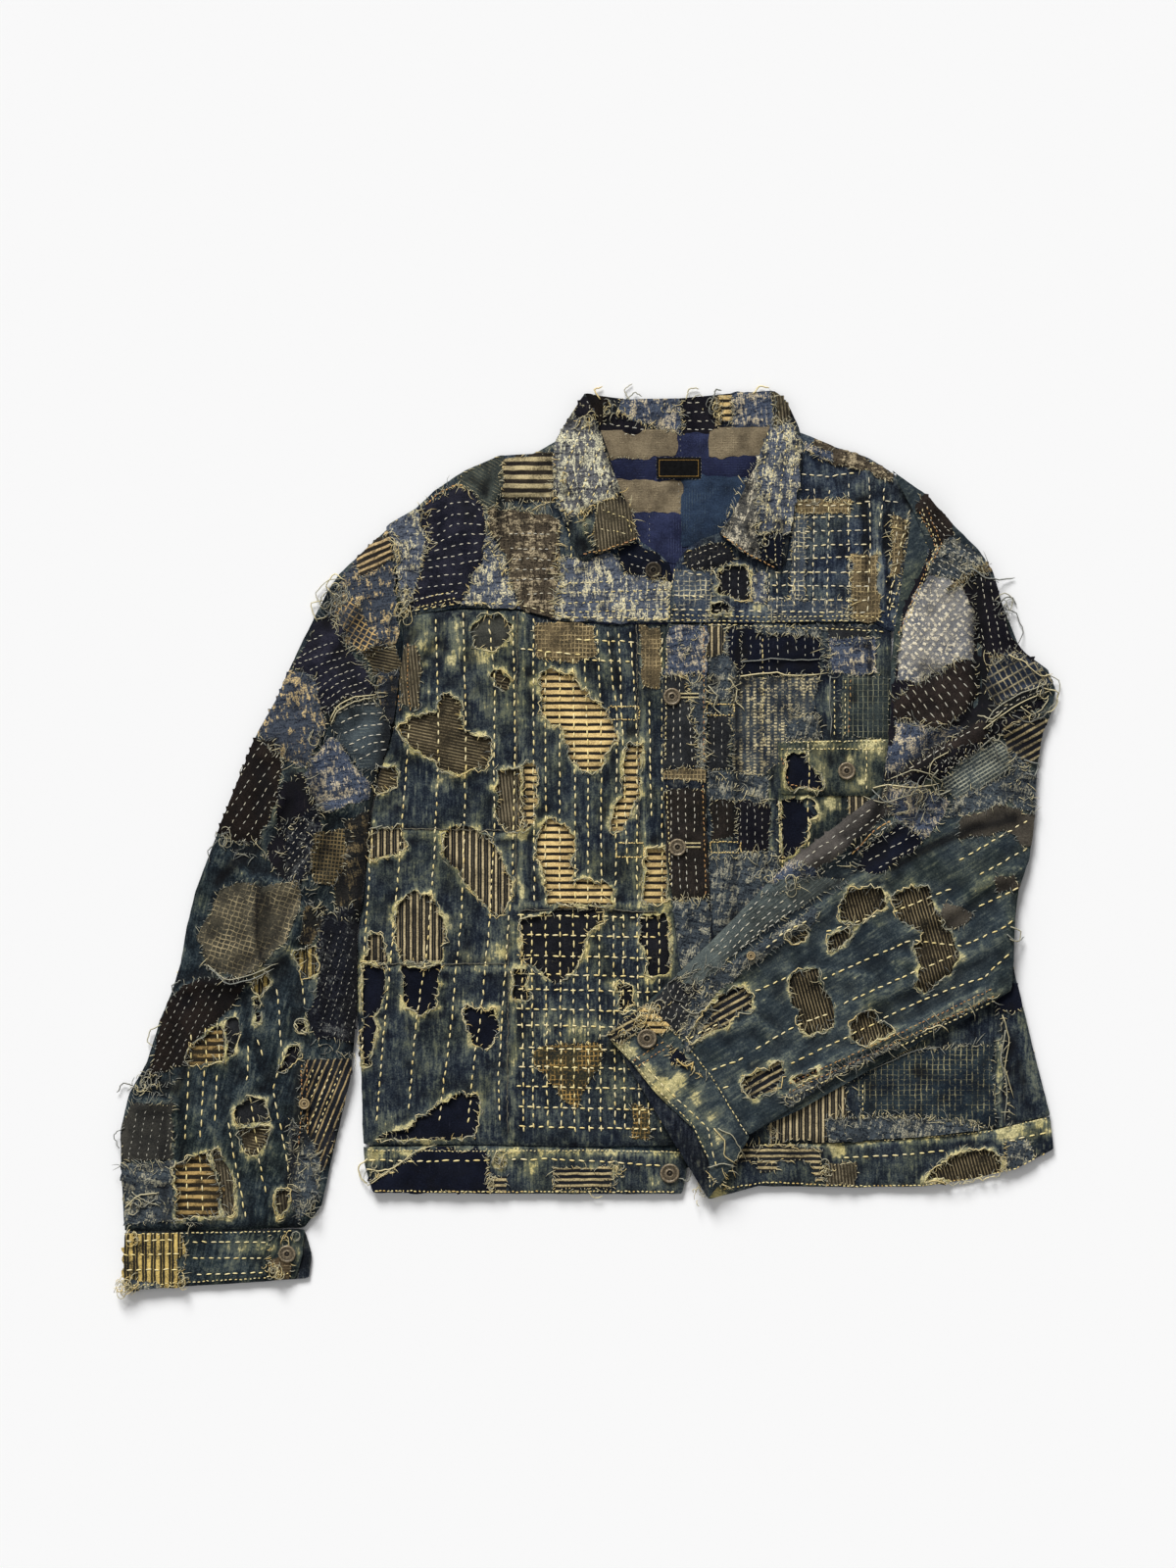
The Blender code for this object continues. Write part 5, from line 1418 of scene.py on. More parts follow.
sew_panel("sleeve_right_top", RIGHT_SLEEVE, SLEEVE_DENIM, lay,
    windows=[
        ("gold_bar", [(-368, -188), (-356, -178), (-335, -163), (-332, -203), (-368, -204)]),
        ("charcoal", [(-332, -162), (-321, -159), (-319, -176), (-329, -198)]),
        ("gold_column", [(-269, -101), (-250, -93), (-248, -122), (-263, -122)]),
        ("charcoal", [(-326, -243), (-311, -232), (-296, -235), (-294, -257), (-323, -259)]),
        ("ribbed", [(-322, -262), (-293, -260), (-294, -270), (-302, -284), (-314, -287)]),
        ("night", [(-267, -163), (-260, -160), (-259, -173), (-266, -173)]),
        ("gold_column", [(-309, -130), (-295, -117), (-292, -129), (-302, -141)]),
        ("night", [(-306, -143), (-301, -140), (-301, -167), (-305, -165)]),
        ("night", [(-275, -188), (-263, -184), (-263, -194), (-275, -209), (-284, -209)]),
        ("ribbed_up", [(-286, -320), (-275, -318), (-275, -336), (-286, -347)]),
        ("gold_bar", [(-379, -296), (-351, -282), (-338, -318), (-338, -343), (-378, -346)]),
        ("ribbed_up",
            [(-348, -282), (-340, -280), (-325, -311), (-325, -342), (-336, -343), (-337, -318)])],
    scraps=[
        ("flecked", [(-205, 274), (-180, 281), (-176, 234), (-173, 198), (-176, 184), (-194, 171),
                (-205, 176), (-225, 184), (-238, 207), (-228, 238)]),
        ("rising_bar", [(-211, 270), (-182, 288), (-177, 259), (-211, 243)]),
        ("gold_grid", [(-232, 212), (-216, 225), (-194, 189), (-200, 176), (-211, 173)]),
        ("ribbed", [(-209, 176), (-176, 184), (-172, 158), (-194, 153)]),
        ("flecked", [(-194, 155), (-172, 158), (-169, 133), (-176, 106), (-193, 124)]),
        ("sashiko", [(-254, 198), (-239, 210), (-223, 195), (-225, 181), (-209, 166), (-194, 143),
                (-196, 130), (-225, 133), (-238, 116), (-248, 125), (-254, 152), (-271, 161), (-256, 186)]),
        ("flecked", [(-274, 159), (-250, 152), (-246, 125), (-238, 111), (-246, 90), (-260, 69), (-279, 77),
                (-300, 94), (-306, 102), (-287, 135)]),
        ("brown_quilt", [(-308, 97), (-287, 92), (-279, 71), (-284, 40), (-304, 1), (-316, -1), (-343, 11),
                (-325, 50)]),
        ("faded", [(-237, 106), (-230, 124), (-214, 132), (-194, 133), (-184, 114), (-180, 88), (-194, 67),
                (-211, 68), (-223, 86)]),
        ("scramble_blue", [(-252, 81), (-234, 98), (-215, 71), (-199, 55), (-201, 40), (-242, 28),
                (-256, 46), (-260, 61)]),
        ("night", [(-286, 49), (-261, 65), (-254, 43), (-243, 25), (-270, 18), (-284, 7)]),
        ("night", [(-295, -7), (-281, 20), (-270, 13), (-256, -18), (-265, -38), (-284, -31)]),
        ("dark_tweed", [(-279, 18), (-246, 34), (-243, 18), (-256, -32), (-274, -40), (-281, -14)]),
        ("tan_check", [(-254, 9), (-218, 13), (-223, -27), (-234, -41), (-254, -36)]),
        ("tweed",
            [(-223, 20), (-201, 29), (-200, -36), (-211, -72), (-229, -67), (-234, -41), (-223, -25)]),
        ("dark_tweed", [(-248, -65), (-213, -59), (-206, -90), (-212, -184), (-250, -178), (-259, -158),
                (-248, -142)]),
        ("tweed", [(-259, -58), (-241, -59), (-245, -77), (-254, -95), (-265, -92)]),
        ("check_gauze", [(-357, -86), (-338, -44), (-317, -36), (-302, -41), (-265, -33), (-261, -50),
                (-275, -88), (-296, -112), (-322, -124), (-352, -113)]),
        ("brown_quilt", [(-385, -142), (-356, -122), (-310, -126), (-328, -152), (-356, -178), (-371, -204),
                (-405, -214), (-396, -184)]),
        ("slant_column", [(-260, -199), (-214, -198), (-220, -225), (-234, -279), (-247, -306),
                (-260, -276), (-265, -225)]),
        ("frayed_blue",
            [(-274, -252), (-259, -261), (-245, -288), (-247, -324), (-266, -351), (-274, -324)]),
        ("grey_cotton", [(-419, -239), (-380, -239), (-380, -289), (-428, -295), (-431, -271)]),
        ("frayed_blue", [(-428, -295), (-380, -292), (-378, -347), (-428, -351)])],
    rows=[([[(-311, -184), (-313, -225)], [(-304, -178), (-296, -204)],
        [(-286, -131), (-280, -199), (-289, -225), (-275, -297), (-274, -312)],
        [(-263, -122), (-259, -155)], [(-366, -209), (-370, -276)], [(-352, -209), (-356, -276)],
        [(-340, -212), (-343, -264)], [(-330, -256), (-317, -328), (-314, -346)],
        [(-310, -232), (-299, -308), (-292, -328)], [(-364, -173), (-364, -205)],
        [(-351, -167), (-350, -205)], [(-340, -164), (-338, -205)], [(-369, -293), (-367, -344)],
        [(-356, -286), (-353, -344)]], CREAM, 6.0, 3.2, 1.5),
        ([[(-263, -202), (-262, -234), (-265, -276)], [(-258, -202), (-257, -270)]], ORANGE, 2.8, 1.6, 1.0),
        ([[(-257, 184), (-241, 192)], [(-268, 169), (-248, 179), (-232, 184)],
            [(-271, 163), (-241, 173), (-220, 177)], [(-256, 158), (-241, 165), (-221, 171)],
            [(-251, 149), (-237, 159), (-216, 166)], [(-248, 141), (-232, 153), (-211, 160)],
            [(-246, 134), (-230, 146), (-206, 156)], [(-244, 128), (-225, 141), (-202, 149)],
            [(-240, 122), (-223, 135), (-200, 143)]], WHITE, 3.6, 1.9, 0.85),
        ([[(-231, 118), (-214, 126), (-194, 128)], [(-228, 110), (-209, 118), (-188, 119)],
            [(-225, 100), (-205, 108), (-185, 109)], [(-220, 90), (-202, 98), (-184, 100)],
            [(-216, 83), (-200, 91), (-184, 93)], [(-212, 76), (-198, 83), (-184, 86)]], WHITE, 4.6, 2.2,
            1.25)],
    hatches=[(
        [(-308, 97), (-287, 92), (-279, 71), (-284, 40), (-304, 1), (-316, -1), (-343, 11), (-325, 50)], 56,
        9, WHITE, 3.6, 3.6, 0.9), ([(-385, -142), (-356, -122), (-324, -130), (-356, -178), (-371, -204),
            (-405, -214), (-396, -184)], 62, 7.4, (0.02, 0.16), 3.2, 3.2, 0.75),
        ([(-277, 16), (-248, 29), (-256, -22), (-275, -34)], 50, 6, WHITE, 2.8, 2.8, 0.9),
        ([(-248, -81), (-214, -81), (-214, -180), (-248, -176)], 74, 7, GREY, 2.6, 2.8, 0.7),
        ([(-421, -243), (-383, -243), (-382, -288), (-425, -292)], 80, 8, (0.02, 0.18), 2.6, 2.8, 0.8),
        ([(-257, -207), (-225, -207), (-238, -270), (-254, -270)], 68, 8, CREAM, 3.4, 2.4, 1.1)],
    fringe=[[(-234, 207), (-225, 184), (-205, 169)], [(-205, 166), (-193, 140), (-196, 130)],
        [(-234, 112), (-223, 128), (-196, 130)], [(-297, 94), (-279, 76), (-259, 68)],
        [(-259, 61), (-254, 43), (-241, 27)], [(-340, 9), (-315, -4), (-302, 2)],
        [(-328, -7), (-306, -14), (-281, -7)], [(-355, -112), (-340, -122), (-320, -126)],
        [(-405, -214), (-387, -225), (-378, -216)], [(-418, -225), (-396, -230), (-380, -234)],
        [(-427, -297), (-405, -301), (-380, -297)], [(-427, -329), (-405, -333), (-378, -328)],
        [(-270, -252), (-265, -288), (-266, -333)], [(-252, -279), (-247, -315), (-256, -342)],
        [(-259, -40), (-250, -68), (-216, -59)], [(-248, -185), (-225, -194), (-211, -193)],
        [(-331, -342), (-360, -351), (-378, -347)]],
    tufts=[(-233, 222, 11, 30), (-230, 234, 7, 10), (-334, 2, 7, 8), (-408, -222, 8, 24),
        (-398, -214, 7, 10), (-248, 100, 8, 10), (-414, -330, 7, 10), (-255, -330, 8, 12)], yarn=(0.1, 0.8),
    seed=2000, roll=3.0, fray_reach=7.5,
    strays=[[(-243, 214), (-251, 229), (-239, 241), (-225, 243)],
        [(-244, 223), (-255, 220), (-250, 205), (-239, 207)],
        [(-223, 241), (-234, 248), (-241, 236), (-230, 225)], [(-425, -335), (-414, -324), (-393, -320)],
        [(-423, -326), (-409, -335), (-396, -326)], [(-419, -320), (-407, -328), (-392, -333)],
        [(-340, 2), (-349, -7), (-346, -18)], [(-373, -126), (-382, -131), (-378, -142)],
        [(-392, -167), (-401, -171), (-405, -182), (-398, -187)],
        [(-425, -261), (-436, -268), (-430, -281)], [(-418, -223), (-427, -220), (-432, -229)],
        [(-349, -112), (-331, -126), (-310, -122), (-284, -110)],
        [(-347, -115), (-329, -130), (-308, -125), (-288, -115)],
        [(-237, 112), (-230, 126), (-214, 134), (-194, 136)],
        [(-236, 108), (-229, 122), (-214, 130), (-196, 133)]])


# ==== Right cuff ============================================================================
# A straight doubled band at the end of the sleeve, half of it yellow and black ticking and half
# bleached denim with three rows of thread. Its button end lies on top; the tab is turned under.

right_cuff_lay = lay = Lay("cuff_right_top")
lay.pucker((0.5, 12.0, 111))
lay.blot((-418, -400, 10, 1.6))
for x in (-330, -318, -300, -288, -270):
    lay.blot((x, -372, 8, 0.8))
sew_panel("cuff_right_top", [(-425, -358), (-342, -357), (-260, -355), (-262, -378), (-268, -399),
        (-292, -402), (-402, -409), (-425, -411), (-426, -387)], SLEEVE_DENIM, lay,
    scraps=[
        ("gold_column",
            [(-428, -358), (-373, -356), (-369, -374), (-378, -387), (-371, -407), (-428, -412)]),
        ("brown_rib", [(-292, -382), (-279, -376), (-270, -387), (-274, -400), (-284, -401), (-292, -394)]),
        ("frayed_blue", [(-428, -400), (-405, -401), (-382, -409), (-405, -412), (-430, -412)])],
    rows=[([[(-364, -366), (-295, -366)], [(-364, -381), (-297, -381)], [(-362, -396), (-295, -394)],
        [(-427, -365), (-373, -364)], [(-427, -378), (-374, -377)], [(-425, -392), (-376, -391)]], CREAM,
        5.0, 2.8, 1.3),
        ([[(-427, -359), (-272, -356)], [(-423, -406), (-297, -399), (-270, -394)]], CREAM, 2.6, 1.8, 1.0)],
    fringe=[[(-427, -396), (-425, -409), (-409, -407)], [(-373, -362), (-369, -382), (-373, -403)],
        [(-292, -362), (-292, -392)]],
    tufts=[(-424, -408, 8, 34), (-418, -360, 6, 10), (-288, -392, 7, 22), (-276, -364, 6, 12),
        (-370, -402, 5, 10)], yarn=(0.45, 1.0), seed=2400, thick=2.6)


# ==== Left sleeve ===========================================================================
# The other sleeve, folded across the front: a short lobe of pale check falls from the armhole,
# turns under at the elbow, and the forearm lies over it, quilted along its length.

FABRICS.update({
    "houndstooth": woven("pale_check", (88, 94, 106), (154, 151, 146), (255, 242, 210), warp=(7.4, 0.4),
        weft=(5.6, 0.44), crossed=True, turn=-38, wander=2.8, wear=0.2, dirt_and_shade=0.04),
    "roll_grid": woven("navy_grid", (22, 28, 40), (52, 60, 74), (200, 186, 146), warp=(5.4, 0.2),
        weft=(8.6, 0.17), turn=30, wander=0.8, wear=0.28),
    "grey_weave": woven("grey_green_weave", (44, 52, 58), (86, 94, 93), (178, 178, 156), warp=(3.6, 0.12),
        weft=(3.4, 0.4), turn=32, wander=0.8, wear=0.32),
    "slate_quilt": woven("slate_quilt", (66, 75, 77), (106, 114, 110), (142, 147, 133), weft=(3.2, 0.2),
        turn=38, wander=0.8, wear=0.42),
    "umber_quilt": woven("umber_quilt", (24, 20, 18), (52, 44, 40), (78, 66, 58), warp=(3.4, 0.22),
        wear=0.5),
    "grey_wool": woven("grey_wool", (60, 57, 54), (94, 89, 84), (104, 98, 91), weft=(2.4, 0.3), turn=36,
        wander=0.4, wear=0.5),
    "brown_wool": woven("brown_wool", (56, 52, 46), (90, 84, 74), (112, 104, 90), warp=(2.6, 0.3),
        wander=0.8, wear=0.5),
    "ribbed_slant": woven("slanted_rib", (22, 21, 17), (50, 45, 35), (142, 126, 94), warp=(2.9, 0.34),
        turn=16, wander=0.5, wear=0.32),
    "bar_slant": woven("slanted_bars", (14, 16, 23), (34, 36, 41), (204, 184, 136), weft=(6.2, 0.36),
        turn=29, wander=0.8, wear=0.24)})
LEFT_SLEEVE = [(279, 341), (298, 304), (314, 268), (309, 256), (289, 215), (280, 193), (277, 154),
    (277, 112), (273, 76), (268, 51), (260, 42), (225, 14), (185, -15), (144, -58), (90, -112), (54, -146),
    (90, -189), (148, -267), (194, -238), (225, -216), (274, -191), (346, -162), (388, -135), (390, -108),
    (392, -52), (405, -13), (410, 24), (410, 36), (412, 71), (417, 101), (425, 119), (429, 140), (422, 159),
    (400, 175), (387, 190), (379, 218), (372, 248), (359, 268), (334, 293), (310, 319)]
FOREARM_DENIM = denim("forearm_denim", (35, 45, 53), (51, 61, 67), (71, 81, 84), (118, 124, 110), turn=-58,
    dirt_and_shade=0.06)
left_sleeve_lay = lay = Lay("sleeve_left_top")
# narrower bleached rims, and lighter painted shade in the low places
lay.rim, lay.hollow_shade = 2.2, 0.5
lay.pucker((1.1, 30.0, 121), (0.6, 11.0, 122))
lay.crease(([(90, -117), (144, -58), (207, -4), (274, 50), (324, 83), (365, 113), (419, 146)], 5.0, 5, 22),
    ([(355, 212), (359, 180), (361, 144), (351, 112), (324, 97), (292, 76)], -4.5, 7, 7),
    ([(371, 171), (391, 173), (419, 153)], 2.8, 4, 8),
    ([(338, 259), (326, 234), (317, 189), (308, 158)], 2.0, 14, 14),
    ([(360, 243), (376, 234), (386, 198), (392, 176)], 2.2, 6, 5),
    ([(322, 268), (346, 261), (365, 254)], 2.0, 4, 7), ([(374, 128), (398, 140), (423, 144)], 2.0, 3, 5),
    ([(371, 108), (392, 110), (418, 97)], 2.2, 4, 7), ([(369, 92), (392, 81), (410, 54)], 2.4, 5, 9),
    ([(410, 25), (378, 34), (338, 13)], 2.0, 4, 8),
    ([(180, -27), (234, -2), (281, 20), (301, 9)], 2.6, 4, 8),
    ([(108, -126), (171, -86), (243, -36), (306, 0)], 2.6, 4, 10),
    ([(409, -18), (360, -40), (324, -68), (274, -92)], 2.4, 5, 10),
    ([(396, -81), (351, -104), (306, -126), (225, -162)], 2.0, 5, 10),
    ([(396, -126), (324, -158), (234, -198), (171, -230)], 2.4, 4, 8),
    ([(180, -126), (225, -117), (270, -126)], 1.6, 5, 9),
    ([(117, -171), (153, -162), (180, -180)], 1.8, 4, 8), ([(270, -40), (281, 0), (306, 14)], 1.8, 4, 8),
    scale=1.4)
lay.seam([(374, -135), (282, -180), (180, -227)], [(396, 144), (373, 130), (367, 110)], band=8)
# painted shade along the bottom of the deep folds
lay.paint_fold_shade(([(355, 243), (358, 198), (360, 166), (362, 133)], 8),
    ([(364, 122), (346, 106), (315, 88), (281, 61)], 5), ([(367, 106), (374, 119), (371, 140)], 6),
    ([(274, 54), (261, 22), (243, -2)], 6), ([(391, 22), (351, 13), (315, -2), (279, -22)], 5),
    ([(302, 67), (313, 76), (328, 83)], 5))
forearm_rows = [[(183, -123), (151, -136)], [(214, -125), (295, -89), (342, -95), (380, -78), (400, -63)],
    [(231, -148), (299, -118), (336, -103)], [(269, -161), (320, -138), (363, -123), (391, -97)],
    [(153, -189), (191, -167), (225, -155)], [(112, -208), (150, -194)],
    [(184, -203), (236, -178), (272, -161)], [(278, -64), (333, -42)], [(356, -59), (397, -40)],
    [(216, -82), (266, -66)], [(405, 22), (335, -19)], [(405, -4), (355, -31)], [(90, -180), (126, -162)],
    [(162, -97), (180, -81), (207, -68)], [(122, -225), (137, -220)]]
quilted = [[(192, -19), (261, 33)], [(200, -24), (270, 28)], [(211, -30), (279, 19)],
    [(252, -7), (292, 16)], [(257, -16), (301, 9)], [(266, -23), (304, 0)], [(104, -97), (155, -43)],
    [(111, -101), (166, -41)], [(117, -104), (175, -43)], [(124, -104), (184, -47)],
    [(131, -103), (194, -49)], [(142, -95), (203, -49)], [(292, 67), (360, 108)], [(324, 63), (351, 81)],
    [(371, 117), (398, 133), (421, 142)], [(373, 122), (398, 139)]]
sew_panel("sleeve_left_top", LEFT_SLEEVE, FOREARM_DENIM, lay,
    windows=[
        ("ribbed_slant", [(278, -49), (292, -40), (311, -40), (322, -64), (333, -89), (338, -100),
                (333, -121), (308, -138), (299, -130), (305, -112), (299, -95), (308, -81), (284, -72)]),
        ("ribbed_slant", [(231, -53), (239, -44), (269, -40), (272, -58), (248, -74), (231, -72)]),
        ("ribbed_slant", [(219, -89), (236, -78), (246, -76), (236, -91), (220, -100)]),
        ("ribbed_slant", [(178, -85), (199, -76), (202, -85), (189, -91)]),
        ("ribbed_slant", [(186, -121), (210, -114), (212, -130), (222, -142), (225, -167), (202, -178),
                (193, -167), (193, -155), (183, -142)]),
        ("ribbed_slant",
            [(239, -164), (248, -155), (261, -153), (266, -164), (283, -171), (255, -186), (244, -182)]),
        ("bar_slant", [(89, -178), (103, -157), (122, -139), (142, -132), (150, -137), (151, -151),
                (137, -157), (126, -167), (104, -178), (92, -183)]),
        ("bar_slant",
            [(141, -217), (155, -209), (177, -199), (179, -211), (169, -227), (149, -235), (143, -228)]),
        ("bar_slant", [(186, -216), (208, -206), (211, -212), (191, -220)])],
    scraps=[
        ("night", [(292, 234), (313, 270), (360, 248), (387, 234), (416, 151), (419, 126), (369, 94),
                (306, 54), (268, 58), (277, 126)]),
        ("umber_quilt",
            [(305, 317), (312, 319), (333, 294), (336, 281), (320, 272), (309, 294), (299, 305)]),
        ("frayed_blue",
            [(336, 281), (355, 266), (365, 256), (343, 239), (315, 245), (309, 253), (320, 272)]),
        ("night", [(356, 250), (374, 241), (386, 211), (391, 180), (392, 173), (369, 169), (360, 180),
                (356, 211)]),
        ("houndstooth", [(314, 247), (340, 238), (347, 229), (356, 207), (355, 168), (339, 168), (324, 161),
                (312, 152), (297, 146), (283, 149), (284, 181), (289, 203), (300, 230)]),
        ("gauze", [(367, 256), (371, 250), (353, 245), (331, 229), (328, 234), (347, 248)]),
        ("umber_quilt", [(339, 169), (351, 169), (357, 158), (358, 135), (343, 118), (324, 104), (303, 103),
                (293, 114), (279, 112), (281, 131), (297, 144), (319, 154)]),
        ("scramble_blue", [(281, 111), (295, 112), (319, 103), (346, 107), (309, 80), (286, 66), (272, 63),
                (273, 82), (281, 99)]),
        ("gauze", [(368, 171), (392, 176), (398, 171), (371, 164)]),
        ("roll_grid", [(367, 166), (392, 176), (414, 162), (427, 148), (412, 137), (394, 133), (373, 122),
                (365, 142)]),
        ("charcoal", [(367, 122), (396, 140), (425, 147), (423, 140), (398, 123), (373, 112)]),
        ("umber_quilt", [(290, 59), (286, 67), (358, 112), (365, 111), (367, 99), (358, 90), (322, 75)]),
        ("night", [(320, 75), (331, 86), (355, 91), (359, 88), (339, 71), (320, 59)]),
        ("bar_slant", [(382, 104), (405, 117), (421, 113), (418, 81), (396, 68), (383, 85)]),
        ("frayed_blue", [(388, 85), (410, 63), (412, 25), (392, 32), (385, 63)]),
        ("grey_weave", [(323, 57), (358, 85), (376, 96), (386, 88), (389, 67), (358, 49), (336, 39)]),
        ("frayed_blue", [(335, 39), (389, 65), (401, 43), (378, 36), (341, 23), (326, 23)]),
        ("scramble_blue",
            [(272, 50), (301, 56), (331, 40), (326, 23), (306, 2), (293, 16), (278, 25), (267, 36)]),
        ("grey_wool", [(183, -13), (253, 40), (265, 41), (277, 30), (238, -4), (212, -23), (198, -30)]),
        ("navy", [(253, -4), (284, 18), (301, 9), (306, 0), (269, -27), (245, -25)]),
        ("brown_wool",
            [(338, 12), (341, 22), (378, 36), (410, 26), (410, -4), (398, -4), (386, 11), (339, 4)]),
        ("brown_wool", [(320, -67), (327, -55), (356, -63), (338, -80), (326, -77)]),
        ("brown_wool", [(371, -32), (392, -29), (398, -43), (374, -47)]),
        ("scramble_blue", [(158, -34), (185, -13), (212, -27), (180, -45), (153, -47)]),
        ("slate_quilt", [(95, -92), (150, -40), (180, -32), (216, -31), (239, -34), (202, -54), (178, -68),
                (136, -101), (119, -117), (90, -135), (81, -117)]),
        ("frayed_blue", [(90, -137), (126, -112), (171, -81), (207, -58), (211, -72), (171, -97),
                (126, -130), (94, -157)]),
        ("charcoal", [(58, -146), (76, -124), (101, -131), (95, -157), (81, -176), (68, -162)]),
        ("frayed_blue", [(94, -142), (112, -131), (113, -153), (101, -180), (90, -191), (85, -173)]),
        ("frayed_blue", [(175, -233), (225, -207), (283, -182), (286, -187), (234, -212), (180, -241)])],
    rows=[(forearm_rows, CREAM, 5.6, 3.0, 1.45), (quilted, WHITE, 4.4, 3.0, 1.1),
        ([[(373, -140), (283, -182), (182, -229)], [(371, -133), (281, -176), (180, -222)]], ORANGE, 3.0,
            1.6, 1.0), ([[(373, -144), (284, -187), (184, -234)]], CREAM, 3.4, 1.8, 1.1),
        ([[(303, 304), (320, 270), (310, 252), (293, 212), (283, 189)],
            [(310, 308), (324, 274), (315, 256)]], ORANGE, 2.8, 1.6, 1.0),
        ([[(241, -11), (261, 11), (280, 22)]], ORANGE, 5.0, 0.4, 1.3),
        ([[(306, 306), (320, 274), (313, 254), (295, 209), (284, 189)]], CREAM, 3.0, 2.0, 1.1)],
    hatches=[([(339, 169), (351, 169), (357, 158), (358, 135), (343, 118), (324, 104), (303, 103),
        (293, 114), (279, 112), (281, 131), (319, 154)], -52, 8.2, WHITE, 5.2, 3.8, 1.15),
        ([(358, 243), (374, 239), (385, 211), (389, 176), (362, 176)], -80, 7.5, WHITE, 3.4, 3.0, 1.0),
        ([(315, 268), (338, 277), (362, 257), (342, 241), (315, 247)], -30, 6, WHITE, 3.6, 2.2, 1.0),
        ([(307, 313), (331, 292), (331, 281), (320, 277)], -48, 6, WHITE, 2.4, 2.4, 0.9),
        ([(322, 74), (355, 88), (338, 72), (322, 63)], 62, 4, WHITE, 3.0, 2.4, 0.9),
        ([(59, -146), (76, -126), (99, -133), (94, -157), (81, -173)], 66, 6, WHITE, 3.0, 2.4, 0.9)],
    fringe=[[(281, 131), (297, 146), (319, 154), (340, 169)],
        [(281, 111), (297, 112), (315, 103), (338, 113)], [(270, 49), (297, 54), (324, 43)],
        [(274, 36), (288, 23), (306, 9)], [(367, 164), (392, 173)], [(236, -23), (256, -2), (283, 20)],
        [(183, -13), (198, -27), (191, -41)], [(81, -126), (108, -112), (130, -117)],
        [(180, -238), (234, -209), (283, -184)], [(234, -209), (297, -178), (369, -142)],
        [(391, 81), (405, 54), (409, 27)], [(369, 257), (351, 247), (329, 230)]],
    tufts=[(380, 213, 7, 14), (418, 140, 8, 8), (410, 118, 8, 8), (300, 45, 12, 22), (312, 30, 9, 14),
        (186, -38, 8, 12), (160, -30, 7, 10), (372, 105, 8, 10), (98, -128, 9, 16), (190, -232, 8, 10)],
    yarn=(0.12, 0.82), seed=3000, roll=1.6, fray_reach=7.5,
    strays=[[(256, 49), (274, 54), (297, 50), (322, 54)], [(252, 43), (270, 36), (292, 43), (310, 49)],
        [(250, 54), (261, 49), (270, 38), (286, 34)], [(277, 59), (297, 67), (315, 63), (326, 54)],
        [(320, 67), (313, 58), (320, 43), (333, 49)], [(329, 83), (315, 76), (311, 63), (320, 54)],
        [(364, 110), (374, 124), (396, 137), (421, 146)], [(362, 104), (378, 117), (401, 131), (425, 140)],
        [(358, 117), (371, 113), (380, 122)], [(365, 99), (373, 88), (376, 76)],
        [(360, 88), (371, 97), (382, 90), (387, 77)], [(396, 124), (407, 117), (416, 122), (423, 133)],
        [(389, 117), (403, 110), (418, 115), (425, 124)], [(351, 252), (364, 243), (380, 241), (392, 243)],
        [(380, 216), (394, 211), (400, 193), (391, 176)], [(418, 142), (431, 139), (429, 124), (418, 117)],
        [(421, 154), (433, 149), (432, 133), (421, 121)], [(373, 223), (382, 230), (391, 225), (387, 212)],
        [(374, 218), (387, 227), (394, 218)], [(387, -77), (398, -81), (396, -91), (386, -88)],
        [(383, -83), (394, -92), (400, -86)], [(400, 76), (414, 72), (410, 61), (400, 65)],
        [(385, 173), (400, 166), (414, 153), (427, 155)], [(306, -173), (322, -166), (331, -173)],
        [(81, -122), (72, -130), (77, -142), (88, -146)],
        [(85, -149), (97, -157), (108, -151), (122, -155)]])


# ==== Left cuff =============================================================================
# The cuff at the end of the folded forearm, bleached yellow on its seams, with striped rag and
# loose yarn at its buttoned corner.

